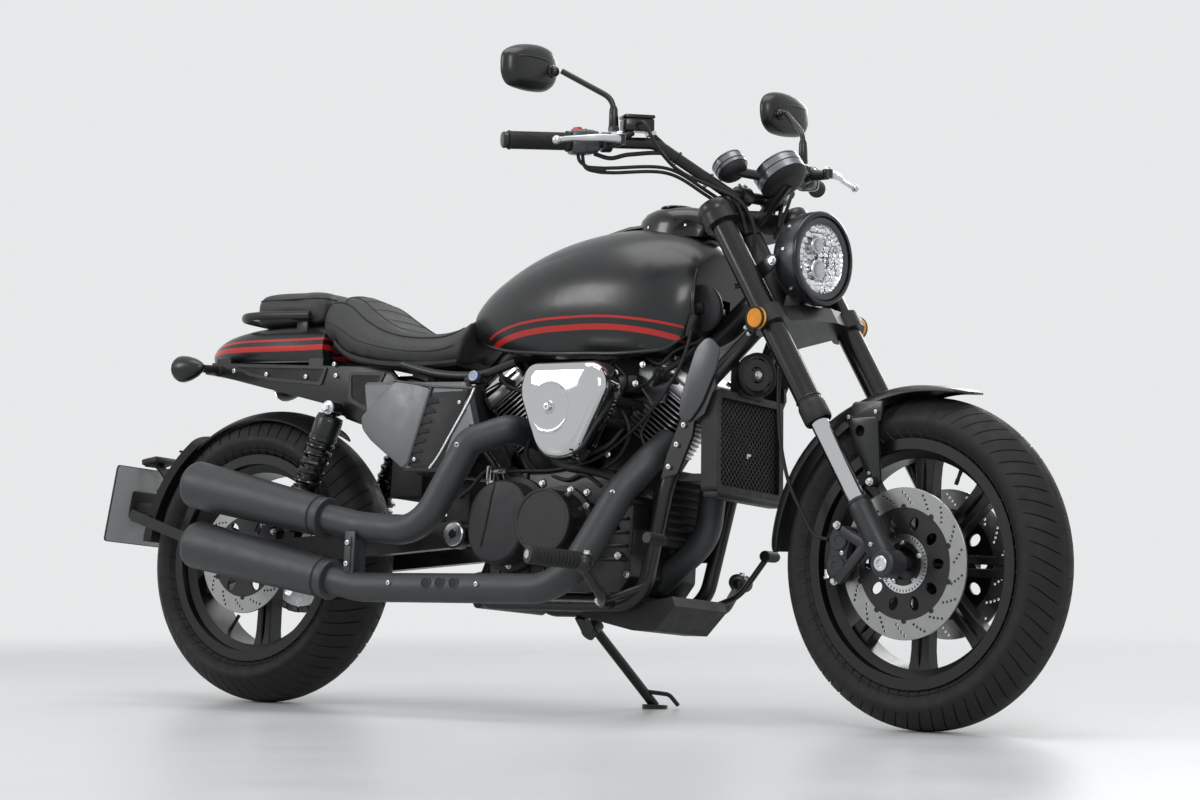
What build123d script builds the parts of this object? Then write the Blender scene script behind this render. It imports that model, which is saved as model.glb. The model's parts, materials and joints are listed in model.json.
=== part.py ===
from build123d import *
import os
from math import atan2, cos, degrees, hypot, pi, radians, sin, sqrt, tan

# A V-twin cruiser motorcycle, leaning on its side stand, in millimetres.
# Everything is first modelled on the upright bike with the steering straight:
# X forward from the rear axle, Y to the rider's left, Z up from the road.
# Steering parts use the fork's own frame: n ahead of the steering axis and
# at right angle to it, s up along it, zero where the axle stands ahead of it.
# At the end the steering is turned, the bike leant, and the origin moved
# below the middle of the whole.

# ---------------------------------------------------------------- stance
WHEELBASE = 1586.0
RAKE = 31.4                  # steering axis from the vertical, degrees
FORK_OFFSET = 40.0           # axle ahead of the steering axis
STEER_ANGLE = -8.0           # minus is to the right
LEAN_ANGLE = 5.2             # to the left, onto the stand

# ---------------------------------------------------------------- fits
RUNNING_GAP = 0.3            # radial, between a shaft and what turns on it
SEAT_GAP = 0.3               # between a soft or bolted piece and its seat
AXIAL_GAP = 0.5              # end float beside a turning hub
BRAKE_GAP = 5.0              # disc to caliper, each side

# ---------------------------------------------------------------- wheels
FRONT_TYRE_R = 304.0
FRONT_TYRE_W = 128.0
FRONT_CROWN_R = 70.0
FRONT_FLANGE_R = 228.0
FRONT_RIM_W = 106.0
FRONT_SPOKE_PAIRS = 8
REAR_TYRE_R = 301.0
REAR_TYRE_W = 167.0
REAR_CROWN_R = 95.0
REAR_FLANGE_R = 218.0
REAR_RIM_W = 138.0
REAR_SPOKE_PAIRS = 5
BEAD_DEPTH = 13.0            # bead seat below the flange tip
FLANGE_T = 6.0
RIM_WALL = 7.0
RIM_WELL = 16.0              # well below the bead seat
SPOKE_T = 13.0               # width of one spoke seen from the side
SPOKE_SLIT = 10.0            # gap between the two spokes of a pair
HUB_R = 38.0
HUB_BORE_R = 12.0
FRONT_HUB_HALF = 60.0
FRONT_DISC_R = 138.0
FRONT_DISC_BAND = 36.0
FRONT_DISC_Y = 67.0          # middle of each front disc
DISC_T = 5.0
CARRIER_T = 5.0
CARRIER_HOLE_R = 30.0
REAR_DISC_R = 119.0
REAR_DISC_BAND = 34.0
REAR_DISC_Y = 87.0
SPROCKET_R = 92.0
SPROCKET_T = 7.0
SPROCKET_Y = 97.0
ENGINE_SPROCKET_R = 34.0
CHAIN_T = 16.0               # across the plates
CHAIN_H = 14.0               # height of a plate
CHAIN_GAP = 0.6              # plates to sprocket tips

# ---------------------------------------------------------------- fork
FORK_HALF = 115.0            # legs from the middle plane
FORK_TUBE_R = 23.0
FORK_TUBE_FOOT = 311.0       # along the steering axis
FORK_TUBE_TOP = 782.0
STANCHION_R = 17.5
LOWER_R = 22.0
LOWER_TOP = 128.0
AXLE_BOSS_R = 25.0
SPACER_R = 16.0
LOWER_CLAMP_S = 532.0        # middle of the lower clamp
LOWER_CLAMP_H = 34.0
LOWER_CLAMP_REACH = 70.0     # ahead of the steering axis, under the headlight
UPPER_CLAMP_S = 760.0
UPPER_CLAMP_H = 24.0
CLAMP_WALL = 11.0
STEM_R = 16.0
HEAD_TUBE_R = 31.0
REFLECTOR_R = 21.0
REFLECTOR_T = 9.0
CALIPER_BODY = (52.0, 104.0) # radial and along the disc
CALIPER_ANGLE = 172.0        # seen from the right, 0 straight ahead
HOSE_R = 3.5

# ---------------------------------------------------------------- bars
BAR_R = 11.0
BAR_ROUTE = [(1184, -78, 1004), (1112, -214, 1094), (966, -464, 1087)]
BAR_BENDS = [45.0, 50.0]
RISER_Y = 45.0
RISER_R = 17.0
GRIP_R = 17.0
GRIP_LENGTH = 118.0
BAR_END_LENGTH = 12.0
SWITCH_R = 22.0
SWITCH_LENGTH = 58.0
LEVER_R = 5.0
LEVER_REACH = 50.0           # lever ahead of the grip's axis
PERCH_BACK = 204.0           # lever perch from the bar's tip
MIRROR_W = 150.0
MIRROR_H = 92.0
MIRROR_T = 30.0
MIRROR_CENTRE = (950, -384, 1236)
MIRROR_STEM_R = 5.5
HEADLIGHT_R = 90.0
HEADLIGHT_FACE_X = 1346.0
HEADLIGHT_Z = 878.0
HEADLIGHT_DEPTH = 80.0
LENS_R = 78.0
BIG_GAUGE_R = 50.0
SMALL_GAUGE_R = 33.0

# ---------------------------------------------------------------- running gear
ARM_Y = 122.0                # middle of each swinging arm
ARM_T = 24.0
PIVOT_X = 590.0
PIVOT_Z = 345.0
PIVOT_TUBE_HALF = 70.0
PIVOT_BOLT_R = 8.0
SHOCK_TOP = (250, 604)
SHOCK_FOOT = (158, 366)
SHOCK_Y = 126.0
SHOCK_BOLT_R = 7.0
SPRING_R = 27.0
MUDGUARD_GAP = 12.0          # tyre to the guard close above it
HUGGER_HALF_W = 66.0
FLAP_HALF_W = 84.0
FLAP_T = 16.0
PLATE_TOP = (-384, 0, 498)
PLATE_W = 190.0
PLATE_H = 168.0
MUFFLER_REAR_R = 50.0
MUFFLER_FRONT_R = 40.0
PIPE_R = 29.0
UPPER_MUFFLER_Y = -212.0
LOWER_MUFFLER_Y = -226.0

# ---------------------------------------------------------------- engine
CRANK = (848.0, 352.0)
CYLINDER_LEAN = 35.0         # each side of the vertical
CYLINDER_ROOT = 120.0        # from the crank to the square foot of a barrel
CYLINDER_FOOT = 225.0        # from the crank to the first fin
FIN_COUNT = 12
FIN_PITCH = 9.5
FIN_T = 4.0
FIN_HALF_L = 52.0            # half length along the bike
FIN_HALF_W = 64.0            # half width across the bike
BARREL_R = 46.0
HEAD_H = 50.0
CASE_HALF = 112.0
CASE_FOOT_Z = 236.0
CASE_NOSE_X = 1004.0

# ---------------------------------------------------------------- frame
FRAME_TUBE_R = 14.0
ENGINE_LUGS_X = (770.0, 940.0)
TANK_PADS_X = (700.0, 1000.0)
# plates that hang the front cylinder from the down tubes, in x and z
HANGER = [(1153, 660), (1185, 651), (1187, 628), (1165, 574), (1143, 561), (1140, 533),
          (1110, 461), (1074, 452), (1085, 498), (1117, 575), (1122, 607)]
HANGER_Y = 119.0
HANGER_T = 8.0
DOWN_TUBE_R = 15.0
RAIL_Y = 106.0
RAIL_Z = 214.0
RISE_X = 638.0
RISE_Y = 62.0
SPINE_R = 24.0
SUBFRAME_Z = 662.0           # frame tubes under the seat
TANK_TUNNEL_HALF = 34.0
TANK_TUNNEL_Z = 772.0        # roof of the tank's tunnel over the spine

RADIATOR_MID = (1172, 0, 524)
RADIATOR_T = 34.0
RADIATOR_W = 236.0
RADIATOR_H = 196.0

# ---------------------------------------------------------------- stand
STAND_PIVOT = (744.0, 142.0, 182.0)
STAND_FOOT = (800.0, 292.0)  # where it meets the floor, x and y
STAND_LEG_R = 10.0
STAND_PIN_R = 7.0
STAND_HUB_HALF = 11.0
STAND_LUG_T = 12.0
STAND_FOLD = (-0.98, 0.0, 0.2)   # direction of the folded leg


# ================================================================ helpers
def rod(start, end, radius):
    """A round bar from one point to another."""
    run = Vector(*end) - Vector(*start)
    return Plane(origin=start, z_dir=run) * Cylinder(
        radius, run.length, align=(Align.CENTER, Align.CENTER, Align.MIN))


def cone(start, end, r_start, r_end):
    run = Vector(*end) - Vector(*start)
    return Plane(origin=start, z_dir=run) * Cone(
        r_start, r_end, run.length, align=(Align.CENTER, Align.CENTER, Align.MIN))


def ball(centre, radius):
    return Pos(*centre) * Sphere(radius)


def tube(points, radius, bends):
    """A round tube along straight runs joined by arcs."""
    path = FilletPolyline(*points, radius=bends) if len(points) > 2 else Line(*points)
    section = Plane(path @ 0, z_dir=path % 0) * Circle(radius)
    return sweep(section, path=path)


def plate(outline, y0, y1):
    """A flat plate in the XZ plane, from y0 to y1."""
    face = make_face(Polyline(*[(x, y0, z) for x, z in outline], close=True))
    return extrude(face, amount=abs(y1 - y0), dir=(0, 1 if y1 > y0 else -1, 0))


def soft_plate(outline, y0, y1, corner):
    """A plate with all its upright corners rounded."""
    body = plate(outline, y0, y1)
    return fillet(body.edges().filter_by(Axis.Y), corner)


def block(x0, x1, y0, y1, z0, z1):
    return Pos((x0 + x1) / 2, (y0 + y1) / 2, (z0 + z1) / 2) * Box(
        abs(x1 - x0), abs(y1 - y0), abs(z1 - z0))


def drum(centre, y0, y1, radius):
    """A round body whose axis is across the bike; centre is (x, z)."""
    return rod((centre[0], y0, centre[1]), (centre[0], y1, centre[1]), radius)


def other_side(shape):
    return mirror(shape, about=Plane.XZ)


def pair(shape):
    return [shape, other_side(shape)]


def turned(profile, centre, arc=360.0, start=0.0):
    """A profile in (y, r) lines and arcs, turned about a cross axis."""
    face = make_face([Pos(centre[0], 0, centre[1]) * edge for edge in profile])
    axis = Axis((centre[0], 0, centre[1]), (0, 1, 0))
    return revolve(face.rotate(axis, start), axis, arc)


def largest(shape):
    return max(shape.solids(), key=lambda solid: solid.volume)


def chain_of(points):
    return [Line(a, b) for a, b in zip(points, points[1:] + points[:1])]


def section_x(x, half_foot, z_foot, half_mid, z_mid, half_top, z_top, z_crown):
    """A closed cross-section at x: flat foot, bulging sides and a crowned top."""
    foot_l, foot_r = (x, half_foot, z_foot), (x, -half_foot, z_foot)
    top_l, top_r = (x, half_top, z_top), (x, -half_top, z_top)
    return make_face([
        Line(foot_l, foot_r),
        ThreePointArc(foot_r, (x, -half_mid, z_mid), top_r),
        ThreePointArc(top_r, (x, 0, z_crown), top_l),
        ThreePointArc(top_l, (x, half_mid, z_mid), foot_l)])


# ================================================================ steering frame
RAKE_SIN, RAKE_COS = sin(radians(RAKE)), cos(radians(RAKE))
STEER_UP = Vector(-RAKE_SIN, 0, RAKE_COS)
STEER_AHEAD = Vector(RAKE_COS, 0, RAKE_SIN)
REAR_AXLE = (0.0, REAR_TYRE_R)
FRONT_AXLE = (WHEELBASE, FRONT_TYRE_R)
STEER_BASE = Vector(WHEELBASE, 0, FRONT_TYRE_R) - STEER_AHEAD * FORK_OFFSET
FORK = Location(Plane(origin=STEER_BASE, x_dir=STEER_AHEAD, z_dir=STEER_UP))
STEER_AXIS = Axis(STEER_BASE, STEER_UP)


def fork_point(n, y, s):
    point = STEER_BASE + STEER_AHEAD * n + Vector(0, y, 0) + STEER_UP * s
    return (point.X, point.Y, point.Z)


# ================================================================ wheels
def tyre(centre, radius, width, crown_r, flange_r, rim_w):
    seat = flange_r - BEAD_DEPTH
    inner = rim_w / 2 - FLANGE_T
    shoulder_y = width / 2 - 4.0
    shoulder = radius - crown_r + sqrt(crown_r ** 2 - shoulder_y ** 2)
    bulge = (width / 2, 0, (flange_r + shoulder) / 2 + 4.0)
    half = [(inner, seat), (inner, flange_r), (shoulder_y, shoulder)]

    def at(y, r):
        return (0, y, r)

    profile = [
        Line(at(-inner, seat), at(inner, seat)),
        Line(at(inner, seat), at(inner, flange_r)),
        ThreePointArc(at(*half[1]), at(bulge[0], bulge[2]), at(*half[2])),
        ThreePointArc(at(*half[2]), at(0, radius), at(-shoulder_y, shoulder)),
        ThreePointArc(at(-shoulder_y, shoulder), at(-bulge[0], bulge[2]), at(-inner, flange_r)),
        Line(at(-inner, flange_r), at(-inner, seat))]
    return turned(profile, centre)


def rim(centre, flange_r, rim_w, pairs, spoke_depth, hub_half, phase):
    seat = flange_r - BEAD_DEPTH
    inner = rim_w / 2 - FLANGE_T
    well_top = inner - 14.0
    well_foot = well_top - 10.0
    outer = [(-rim_w / 2, flange_r), (-inner, flange_r), (-inner, seat), (-well_top, seat),
             (-well_foot, seat - RIM_WELL), (well_foot, seat - RIM_WELL), (well_top, seat),
             (inner, seat), (inner, flange_r), (rim_w / 2, flange_r)]
    under = [(rim_w / 2, seat - RIM_WALL), (well_top + 2, seat - RIM_WALL),
             (well_foot + 2, seat - RIM_WELL - RIM_WALL),
             (-well_foot - 2, seat - RIM_WELL - RIM_WALL), (-well_top - 2, seat - RIM_WALL),
             (-rim_w / 2, seat - RIM_WALL)]
    barrel = turned(chain_of([(0, y, r) for y, r in outer + under]), centre)
    body = barrel + drum(centre, -hub_half, hub_half, HUB_R)
    spoke_end = seat - RIM_WELL - RIM_WALL / 2
    lane = SPOKE_SLIT / 2 + SPOKE_T / 2
    axis = Axis((centre[0], 0, centre[1]), (0, 1, 0))
    for number in range(pairs):
        for side in (-1, 1):
            x_mid = centre[0] + side * lane
            bar = plate([(x_mid - SPOKE_T / 2, centre[1] + HUB_R - 8),
                         (x_mid + SPOKE_T / 2, centre[1] + HUB_R - 8),
                         (x_mid + SPOKE_T / 2 + 1.5, centre[1] + spoke_end),
                         (x_mid - SPOKE_T / 2 - 1.5, centre[1] + spoke_end)],
                        -spoke_depth / 2, spoke_depth / 2)
            body += bar.rotate(axis, phase + number * 360.0 / pairs)
    return body - drum(centre, -hub_half - 1, hub_half + 1, HUB_BORE_R + RUNNING_GAP)


def brake_disc(centre, radius, band, y_mid, hub_face, arms=8):
    """A steel band on a carrier that bolts to the hub's end face."""
    inboard = y_mid - DISC_T / 2 if y_mid > 0 else y_mid + DISC_T / 2
    outboard = y_mid + DISC_T / 2 if y_mid > 0 else y_mid - DISC_T / 2
    band_ring = (drum(centre, inboard, outboard, radius)
                 - drum(centre, inboard, outboard, radius - band))
    step = CARRIER_T if y_mid > 0 else -CARRIER_T
    carrier = drum(centre, outboard - step, outboard, radius - band + 2)
    neck = drum(centre, hub_face, outboard, HUB_R + 8)
    body = band_ring + carrier + neck
    ring_mid = (radius - band + HUB_R + 8) / 2
    hole_r = (radius - band - HUB_R - 8) * 0.3
    for number in range(arms):
        angle = radians(number * 360.0 / arms)
        spot = (centre[0] + ring_mid * cos(angle), centre[1] + ring_mid * sin(angle))
        body -= drum(spot, inboard - 20, outboard + 20, hole_r)
    return body - drum(centre, -200, 200, CARRIER_HOLE_R)


def make_front_tyre():
    return tyre(FRONT_AXLE, FRONT_TYRE_R, FRONT_TYRE_W, FRONT_CROWN_R, FRONT_FLANGE_R, FRONT_RIM_W)


def make_front_rim():
    return rim(FRONT_AXLE, FRONT_FLANGE_R, FRONT_RIM_W, FRONT_SPOKE_PAIRS, 26.0, FRONT_HUB_HALF, 2.0)


def make_front_discs():
    return [brake_disc(FRONT_AXLE, FRONT_DISC_R, FRONT_DISC_BAND, side * FRONT_DISC_Y,
                       side * FRONT_HUB_HALF) for side in (-1, 1)]


def make_rear_tyre():
    return tyre(REAR_AXLE, REAR_TYRE_R, REAR_TYRE_W, REAR_CROWN_R, REAR_FLANGE_R, REAR_RIM_W)


REAR_HUB_HALF = 76.0


def make_rear_rim():
    return rim(REAR_AXLE, REAR_FLANGE_R, REAR_RIM_W, REAR_SPOKE_PAIRS, 34.0, REAR_HUB_HALF, 180.0)


def make_rear_disc():
    return brake_disc(REAR_AXLE, REAR_DISC_R, REAR_DISC_BAND, -REAR_DISC_Y, -REAR_HUB_HALF, 6)


def make_rear_sprocket():
    inboard, outboard = SPROCKET_Y - SPROCKET_T / 2, SPROCKET_Y + SPROCKET_T / 2
    body = drum(REAR_AXLE, inboard, outboard, SPROCKET_R)
    body += drum(REAR_AXLE, REAR_HUB_HALF, inboard, HUB_R + 12)
    for number in range(6):
        angle = radians(number * 60.0)
        spot = (68 * cos(angle), REAR_AXLE[1] + 68 * sin(angle))
        body -= drum(spot, inboard - 1, outboard + 1, 11)
    return body - drum(REAR_AXLE, REAR_HUB_HALF - 1, outboard + 1, CARRIER_HOLE_R - 8)


# ================================================================ fork
LEG_SIDES = (-1, 1)


def make_fork_tubes():
    """The wide upper tubes of the upside-down fork, with their caps."""
    legs = []
    for side in LEG_SIDES:
        y = side * FORK_HALF
        leg = rod((FORK_OFFSET, y, FORK_TUBE_FOOT), (FORK_OFFSET, y, FORK_TUBE_TOP), FORK_TUBE_R)
        leg += rod((FORK_OFFSET, y, FORK_TUBE_FOOT), (FORK_OFFSET, y, FORK_TUBE_FOOT + 26),
                   FORK_TUBE_R + 3)
        leg += rod((FORK_OFFSET, y, FORK_TUBE_TOP), (FORK_OFFSET, y, FORK_TUBE_TOP + 9),
                   FORK_TUBE_R - 6)
        leg -= rod((FORK_OFFSET, y, FORK_TUBE_FOOT), (FORK_OFFSET, y, FORK_TUBE_FOOT + 60),
                   STANCHION_R)
        legs.append(FORK * leg)
    return legs


def make_fork_stanchions():
    return [FORK * rod((FORK_OFFSET, side * FORK_HALF, LOWER_TOP - 40),
                       (FORK_OFFSET, side * FORK_HALF, FORK_TUBE_FOOT + 60), STANCHION_R)
            for side in LEG_SIDES]


def make_fork_lowers():
    """Cast feet of the fork, joined by the front axle and its spacers."""
    body = rod((FORK_OFFSET, -FORK_HALF, 0), (FORK_OFFSET, FORK_HALF, 0), HUB_BORE_R)
    spacer_in = FRONT_HUB_HALF + AXIAL_GAP
    for side in LEG_SIDES:
        y = side * FORK_HALF
        foot = rod((FORK_OFFSET, y, -6), (FORK_OFFSET, y, LOWER_TOP), LOWER_R)
        foot += rod((FORK_OFFSET, y - side * LOWER_R, 0), (FORK_OFFSET, y + side * LOWER_R, 0),
                    AXLE_BOSS_R)
        foot += rod((FORK_OFFSET, side * spacer_in, 0), (FORK_OFFSET, y, 0), SPACER_R)
        foot -= rod((FORK_OFFSET, y, LOWER_TOP - 40), (FORK_OFFSET, y, LOWER_TOP + 1), STANCHION_R)
        body += foot
    return FORK * body


def clamp_plate(s_mid, height, reach):
    """A yoke in the fork frame: two eyes joined by a bridge round the stem."""
    low, high = s_mid - height / 2, s_mid + height / 2
    body = rod((0, 0, low), (0, 0, high), HEAD_TUBE_R + 4)
    outline = [(-18, -30), (FORK_OFFSET - 10, -FORK_HALF), (FORK_OFFSET + 18, -FORK_HALF),
               (reach, -50), (reach, 50), (FORK_OFFSET + 18, FORK_HALF),
               (FORK_OFFSET - 10, FORK_HALF), (-18, 30)]
    bridge = extrude(make_face(Polyline(*[(n, y, low) for n, y in outline], close=True)),
                     amount=height, dir=(0, 0, 1))
    body += bridge
    for side in LEG_SIDES:
        body += rod((FORK_OFFSET, side * FORK_HALF, low), (FORK_OFFSET, side * FORK_HALF, high),
                    FORK_TUBE_R + CLAMP_WALL)
    for side in LEG_SIDES:
        body -= rod((FORK_OFFSET, side * FORK_HALF, low - 1),
                    (FORK_OFFSET, side * FORK_HALF, high + 1), FORK_TUBE_R)
    return body


def make_triple_clamps():
    lower = clamp_plate(LOWER_CLAMP_S, LOWER_CLAMP_H, LOWER_CLAMP_REACH)
    upper = clamp_plate(UPPER_CLAMP_S, UPPER_CLAMP_H, 30)
    stem = rod((0, 0, LOWER_CLAMP_S), (0, 0, UPPER_CLAMP_S + UPPER_CLAMP_H / 2 + 8), STEM_R)
    return FORK * (lower + stem + upper)


def make_fork_reflectors():
    """Round side reflectors on the lower clamp's eyes."""
    start = FORK_HALF + FORK_TUBE_R + CLAMP_WALL
    return [FORK * rod((FORK_OFFSET, side * start, LOWER_CLAMP_S),
                       (FORK_OFFSET, side * (start + REFLECTOR_T), LOWER_CLAMP_S), REFLECTOR_R)
            for side in LEG_SIDES]


# ================================================================ bars and controls
BAR_MID = (BAR_ROUTE[0][0], 0, BAR_ROUTE[0][2])
BAR_KNEE = Vector(*BAR_ROUTE[1])
BAR_TIP = Vector(*BAR_ROUTE[2])
GRIP_DIR = (BAR_TIP - BAR_KNEE).normalized()
GRIP_FORE = Vector(-GRIP_DIR.Y, GRIP_DIR.X, 0).normalized() * -1
if GRIP_FORE.X < 0:
    GRIP_FORE = GRIP_FORE * -1


def on_bar(back, ahead=0.0, up=0.0):
    """A point beside the right bar, back from its tip towards the middle."""
    point = BAR_TIP - GRIP_DIR * back + GRIP_FORE * ahead + Vector(0, 0, up)
    return (point.X, point.Y, point.Z)


def bent_bar(radius):
    left = [(x, -y, z) for x, y, z in reversed(BAR_ROUTE)]
    return tube(left + BAR_ROUTE, radius, BAR_BENDS[::-1] + BAR_BENDS)


def make_handlebar():
    bar = bent_bar(BAR_R)
    clamp_top = UPPER_CLAMP_S + UPPER_CLAMP_H / 2
    for side in LEG_SIDES:
        y = side * RISER_Y
        foot = fork_point(14, y, clamp_top)
        bar += rod(foot, (BAR_MID[0], y, BAR_MID[2]), RISER_R - 3)
        bar += rod((BAR_MID[0], y - 14, BAR_MID[2]), (BAR_MID[0], y + 14, BAR_MID[2]), RISER_R + 2)
    below = FORK * (Pos(0, 0, clamp_top - 50) * Box(300, 300, 100))
    return bar - below


def make_hand_controls():
    """Grips, bar ends, switch housings and the brake reservoir."""
    grip = rod(on_bar(GRIP_LENGTH), on_bar(0), GRIP_R)
    grip += rod(on_bar(0), on_bar(-BAR_END_LENGTH), GRIP_R - 2)
    switch_end = GRIP_LENGTH + 1 + SWITCH_LENGTH
    switch = rod(on_bar(switch_end), on_bar(GRIP_LENGTH + 1), SWITCH_R)
    perch = rod(on_bar(PERCH_BACK + 16), on_bar(switch_end), SWITCH_R - 5)
    perch += rod(on_bar(PERCH_BACK), on_bar(PERCH_BACK - 4, LEVER_REACH - SEAT_GAP), 10)
    mirror_boss = rod(on_bar(PERCH_BACK + 2), on_bar(PERCH_BACK + 2, 0, 30), 9)
    right = grip + switch + perch + mirror_boss
    left = other_side(right)
    tank = Plane(origin=on_bar(PERCH_BACK + 46, 8, 36), x_dir=GRIP_DIR,
                 z_dir=(0, 0, 1)) * Box(56, 40, 30)
    right += tank + rod(on_bar(PERCH_BACK + 10), on_bar(PERCH_BACK + 36, 8, 24), 9)
    through = bent_bar(BAR_R) + tube([on_bar(20), on_bar(-1)], BAR_R, [])
    return [right - through, left - other_side(through)]


def make_hand_levers():
    levers = []
    route = [on_bar(PERCH_BACK - 2, LEVER_REACH + 5), on_bar(160, LEVER_REACH + 14),
             on_bar(110, LEVER_REACH + 2, -4), on_bar(66, LEVER_REACH + 10, -10)]
    lever = tube(route, LEVER_R, [60.0, 60.0])
    lever += ball(route[-1], LEVER_R + 3)
    levers = pair(lever)
    return levers


def make_mirrors():
    foot = on_bar(PERCH_BACK + 2, 0, 30)
    head_x, head_y, head_z = MIRROR_CENTRE
    neck = (head_x + 34, head_y + 46, head_z - 6)
    route = [foot, (foot[0], foot[1], foot[2] + 48), neck]
    stem = tube(route, MIRROR_STEM_R, [18.0])
    head = Pos(head_x, head_y, head_z) * Box(MIRROR_T, MIRROR_W, MIRROR_H)
    head = fillet(head.edges().filter_by(Axis.X), MIRROR_H * 0.42)
    head = fillet(head.faces().sort_by(Axis.X)[-1].edges(), MIRROR_T * 0.6)
    return pair(stem + head + rod(neck, (head_x, head_y + 40, head_z - 4), 9))


def make_headlight_shell():
    z = HEADLIGHT_Z
    face = HEADLIGHT_FACE_X
    back = face - HEADLIGHT_DEPTH
    shell = rod((back + 38, 0, z), (face, 0, z), HEADLIGHT_R)
    shell += cone((back, 0, z), (back + 38, 0, z), HEADLIGHT_R * 0.62, HEADLIGHT_R)
    shell -= rod((face - 34, 0, z), (face + 1, 0, z), LENS_R)
    bracket = Vector(*fork_point(34, 0, LOWER_CLAMP_S + LOWER_CLAMP_H / 2))
    stay = block(bracket.X + 6, bracket.X + 30, -26, 26, bracket.Z - 2, z - 50)
    clamp_top = LOWER_CLAMP_S + LOWER_CLAMP_H / 2 + SEAT_GAP
    stay -= FORK * (Pos(FORK_OFFSET, 0, clamp_top - 117) * Box(400, 400, 234))
    return shell + (stay - rod((back - 60, 0, z), (face, 0, z), HEADLIGHT_R - 4))


def make_headlight_lens():
    face = HEADLIGHT_FACE_X
    return rod((face - 34, 0, HEADLIGHT_Z), (face - 4, 0, HEADLIGHT_Z), LENS_R - SEAT_GAP)


def make_gauges():
    """A large and a small round instrument in front of the bars."""
    facing = Vector(-0.62, 0, 0.78)
    big = Vector(1228, 14, 1052)
    small = Vector(1176, -72, 1062)
    body = rod(tuple(big - facing * 34), tuple(big + facing * 14), BIG_GAUGE_R)
    body += rod(tuple(small - facing * 26), tuple(small + facing * 12), SMALL_GAUGE_R)
    body += rod(tuple(small - facing * 14), tuple(big - facing * 20), 10)
    clamp_top = UPPER_CLAMP_S + UPPER_CLAMP_H / 2
    body += rod(fork_point(26, 14, clamp_top), tuple(big - facing * 30), 12)
    bar_space = rod((BAR_MID[0], -90, BAR_MID[2]), (BAR_MID[0], 90, BAR_MID[2]), RISER_R + 5)
    below = FORK * (Pos(0, 0, clamp_top - 50) * Box(300, 300, 100))
    posts = [rod(fork_point(14, side * RISER_Y, clamp_top - 1), (BAR_MID[0], side * RISER_Y, BAR_MID[2]),
                 RISER_R - 2) for side in LEG_SIDES]
    return body - bar_space - bent_bar(BAR_R + SEAT_GAP) - below - posts


# ================================================================ front fender and brakes
def guard(centre, r_inner, thickness, half_w, skirt, start, arc):
    """A mudguard: crowned strip with turned-down sides, from start over arc.

    Angles are seen from the right, from straight ahead over the top."""
    crown = r_inner + thickness
    outer = [ThreePointArc((0, -half_w, crown - skirt), (0, 0, crown), (0, half_w, crown - skirt))]
    inner_r = r_inner
    inner = [ThreePointArc((0, -half_w + thickness * 0.4, inner_r - skirt),
                           (0, 0, inner_r), (0, half_w - thickness * 0.4, inner_r - skirt))]
    ends = [Line((0, -half_w, crown - skirt), (0, -half_w + thickness * 0.4, inner_r - skirt)),
            Line((0, half_w, crown - skirt), (0, half_w - thickness * 0.4, inner_r - skirt))]
    return turned(outer + inner + ends, centre, arc, 90.0 - start - arc)


FENDER_GAP = 12.0
FENDER_T = 5.0
FENDER_HALF_W = 74.0
FENDER_START = 72.0
FENDER_ARC = 104.0


def make_front_fender():
    body = guard(FRONT_AXLE, FRONT_TYRE_R + FENDER_GAP, FENDER_T, FENDER_HALF_W, 26.0,
                 FENDER_START, FENDER_ARC)
    tip_x = FRONT_AXLE[0] + 120
    corner = extrude(make_face(Polyline((tip_x - 100, -90, 500), (tip_x, -90, 500), (tip_x, -14, 500),
                                        close=True)), amount=200, dir=(0, 0, 1))
    body -= [corner, other_side(corner)]
    edge_r = FRONT_TYRE_R + FENDER_GAP - 13.0
    leg_face = FORK_HALF - LOWER_R
    for side in LEG_SIDES:
        foot = fork_point(FORK_OFFSET + 6, 0, 96)
        knee = fork_point(FORK_OFFSET - 4, 0, 70)
        top_a = (FRONT_AXLE[0] + edge_r * cos(radians(100)), FRONT_AXLE[1] + edge_r * sin(radians(100)))
        top_b = (FRONT_AXLE[0] + edge_r * cos(radians(124)), FRONT_AXLE[1] + edge_r * sin(radians(124)))
        y_in, y_out = side * (FENDER_HALF_W - 1), side * (FENDER_HALF_W + 6)
        stay = plate([(foot[0] + 12, foot[2]), (knee[0] - 8, knee[2]), top_b, top_a], y_in, y_out)
        boss = rod((foot[0] - 2, y_out, foot[2] - 6), (foot[0] - 2, side * (leg_face + 4), foot[2] - 6), 9)
        window = plate([(foot[0] + 4, foot[2] + 30), (knee[0] - 2, knee[2] + 50),
                        (top_b[0] + 22, top_b[1] - 16), (top_a[0] - 18, top_a[1] - 18)],
                       y_in - side, y_out + side)
        body += (stay - window) + boss
    for side in LEG_SIDES:
        body -= FORK * rod((FORK_OFFSET, side * FORK_HALF, -10), (FORK_OFFSET, side * FORK_HALF, 400),
                           LOWER_R)
    return body


def caliper(centre, disc_r, y_mid, angle, inboard, outboard):
    """A block over the disc's edge; angle is seen from the right, 0 ahead."""
    ahead = Vector(cos(radians(angle)), 0, sin(radians(angle)))
    place = Plane(origin=(centre[0] + ahead.X * (disc_r - 6), y_mid, centre[1] + ahead.Z * (disc_r - 6)),
                  x_dir=ahead, z_dir=(0, 1, 0))
    mid = (outboard - inboard) / 2
    body = place * (Pos(4, 0, mid) * Box(CALIPER_BODY[0], CALIPER_BODY[1], outboard + inboard))
    body = fillet(body.edges().filter_by(Axis.Y), 16)
    slot = drum(centre, y_mid - DISC_T / 2 - BRAKE_GAP, y_mid + DISC_T / 2 + BRAKE_GAP,
                disc_r + BRAKE_GAP)
    return body - slot


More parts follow.
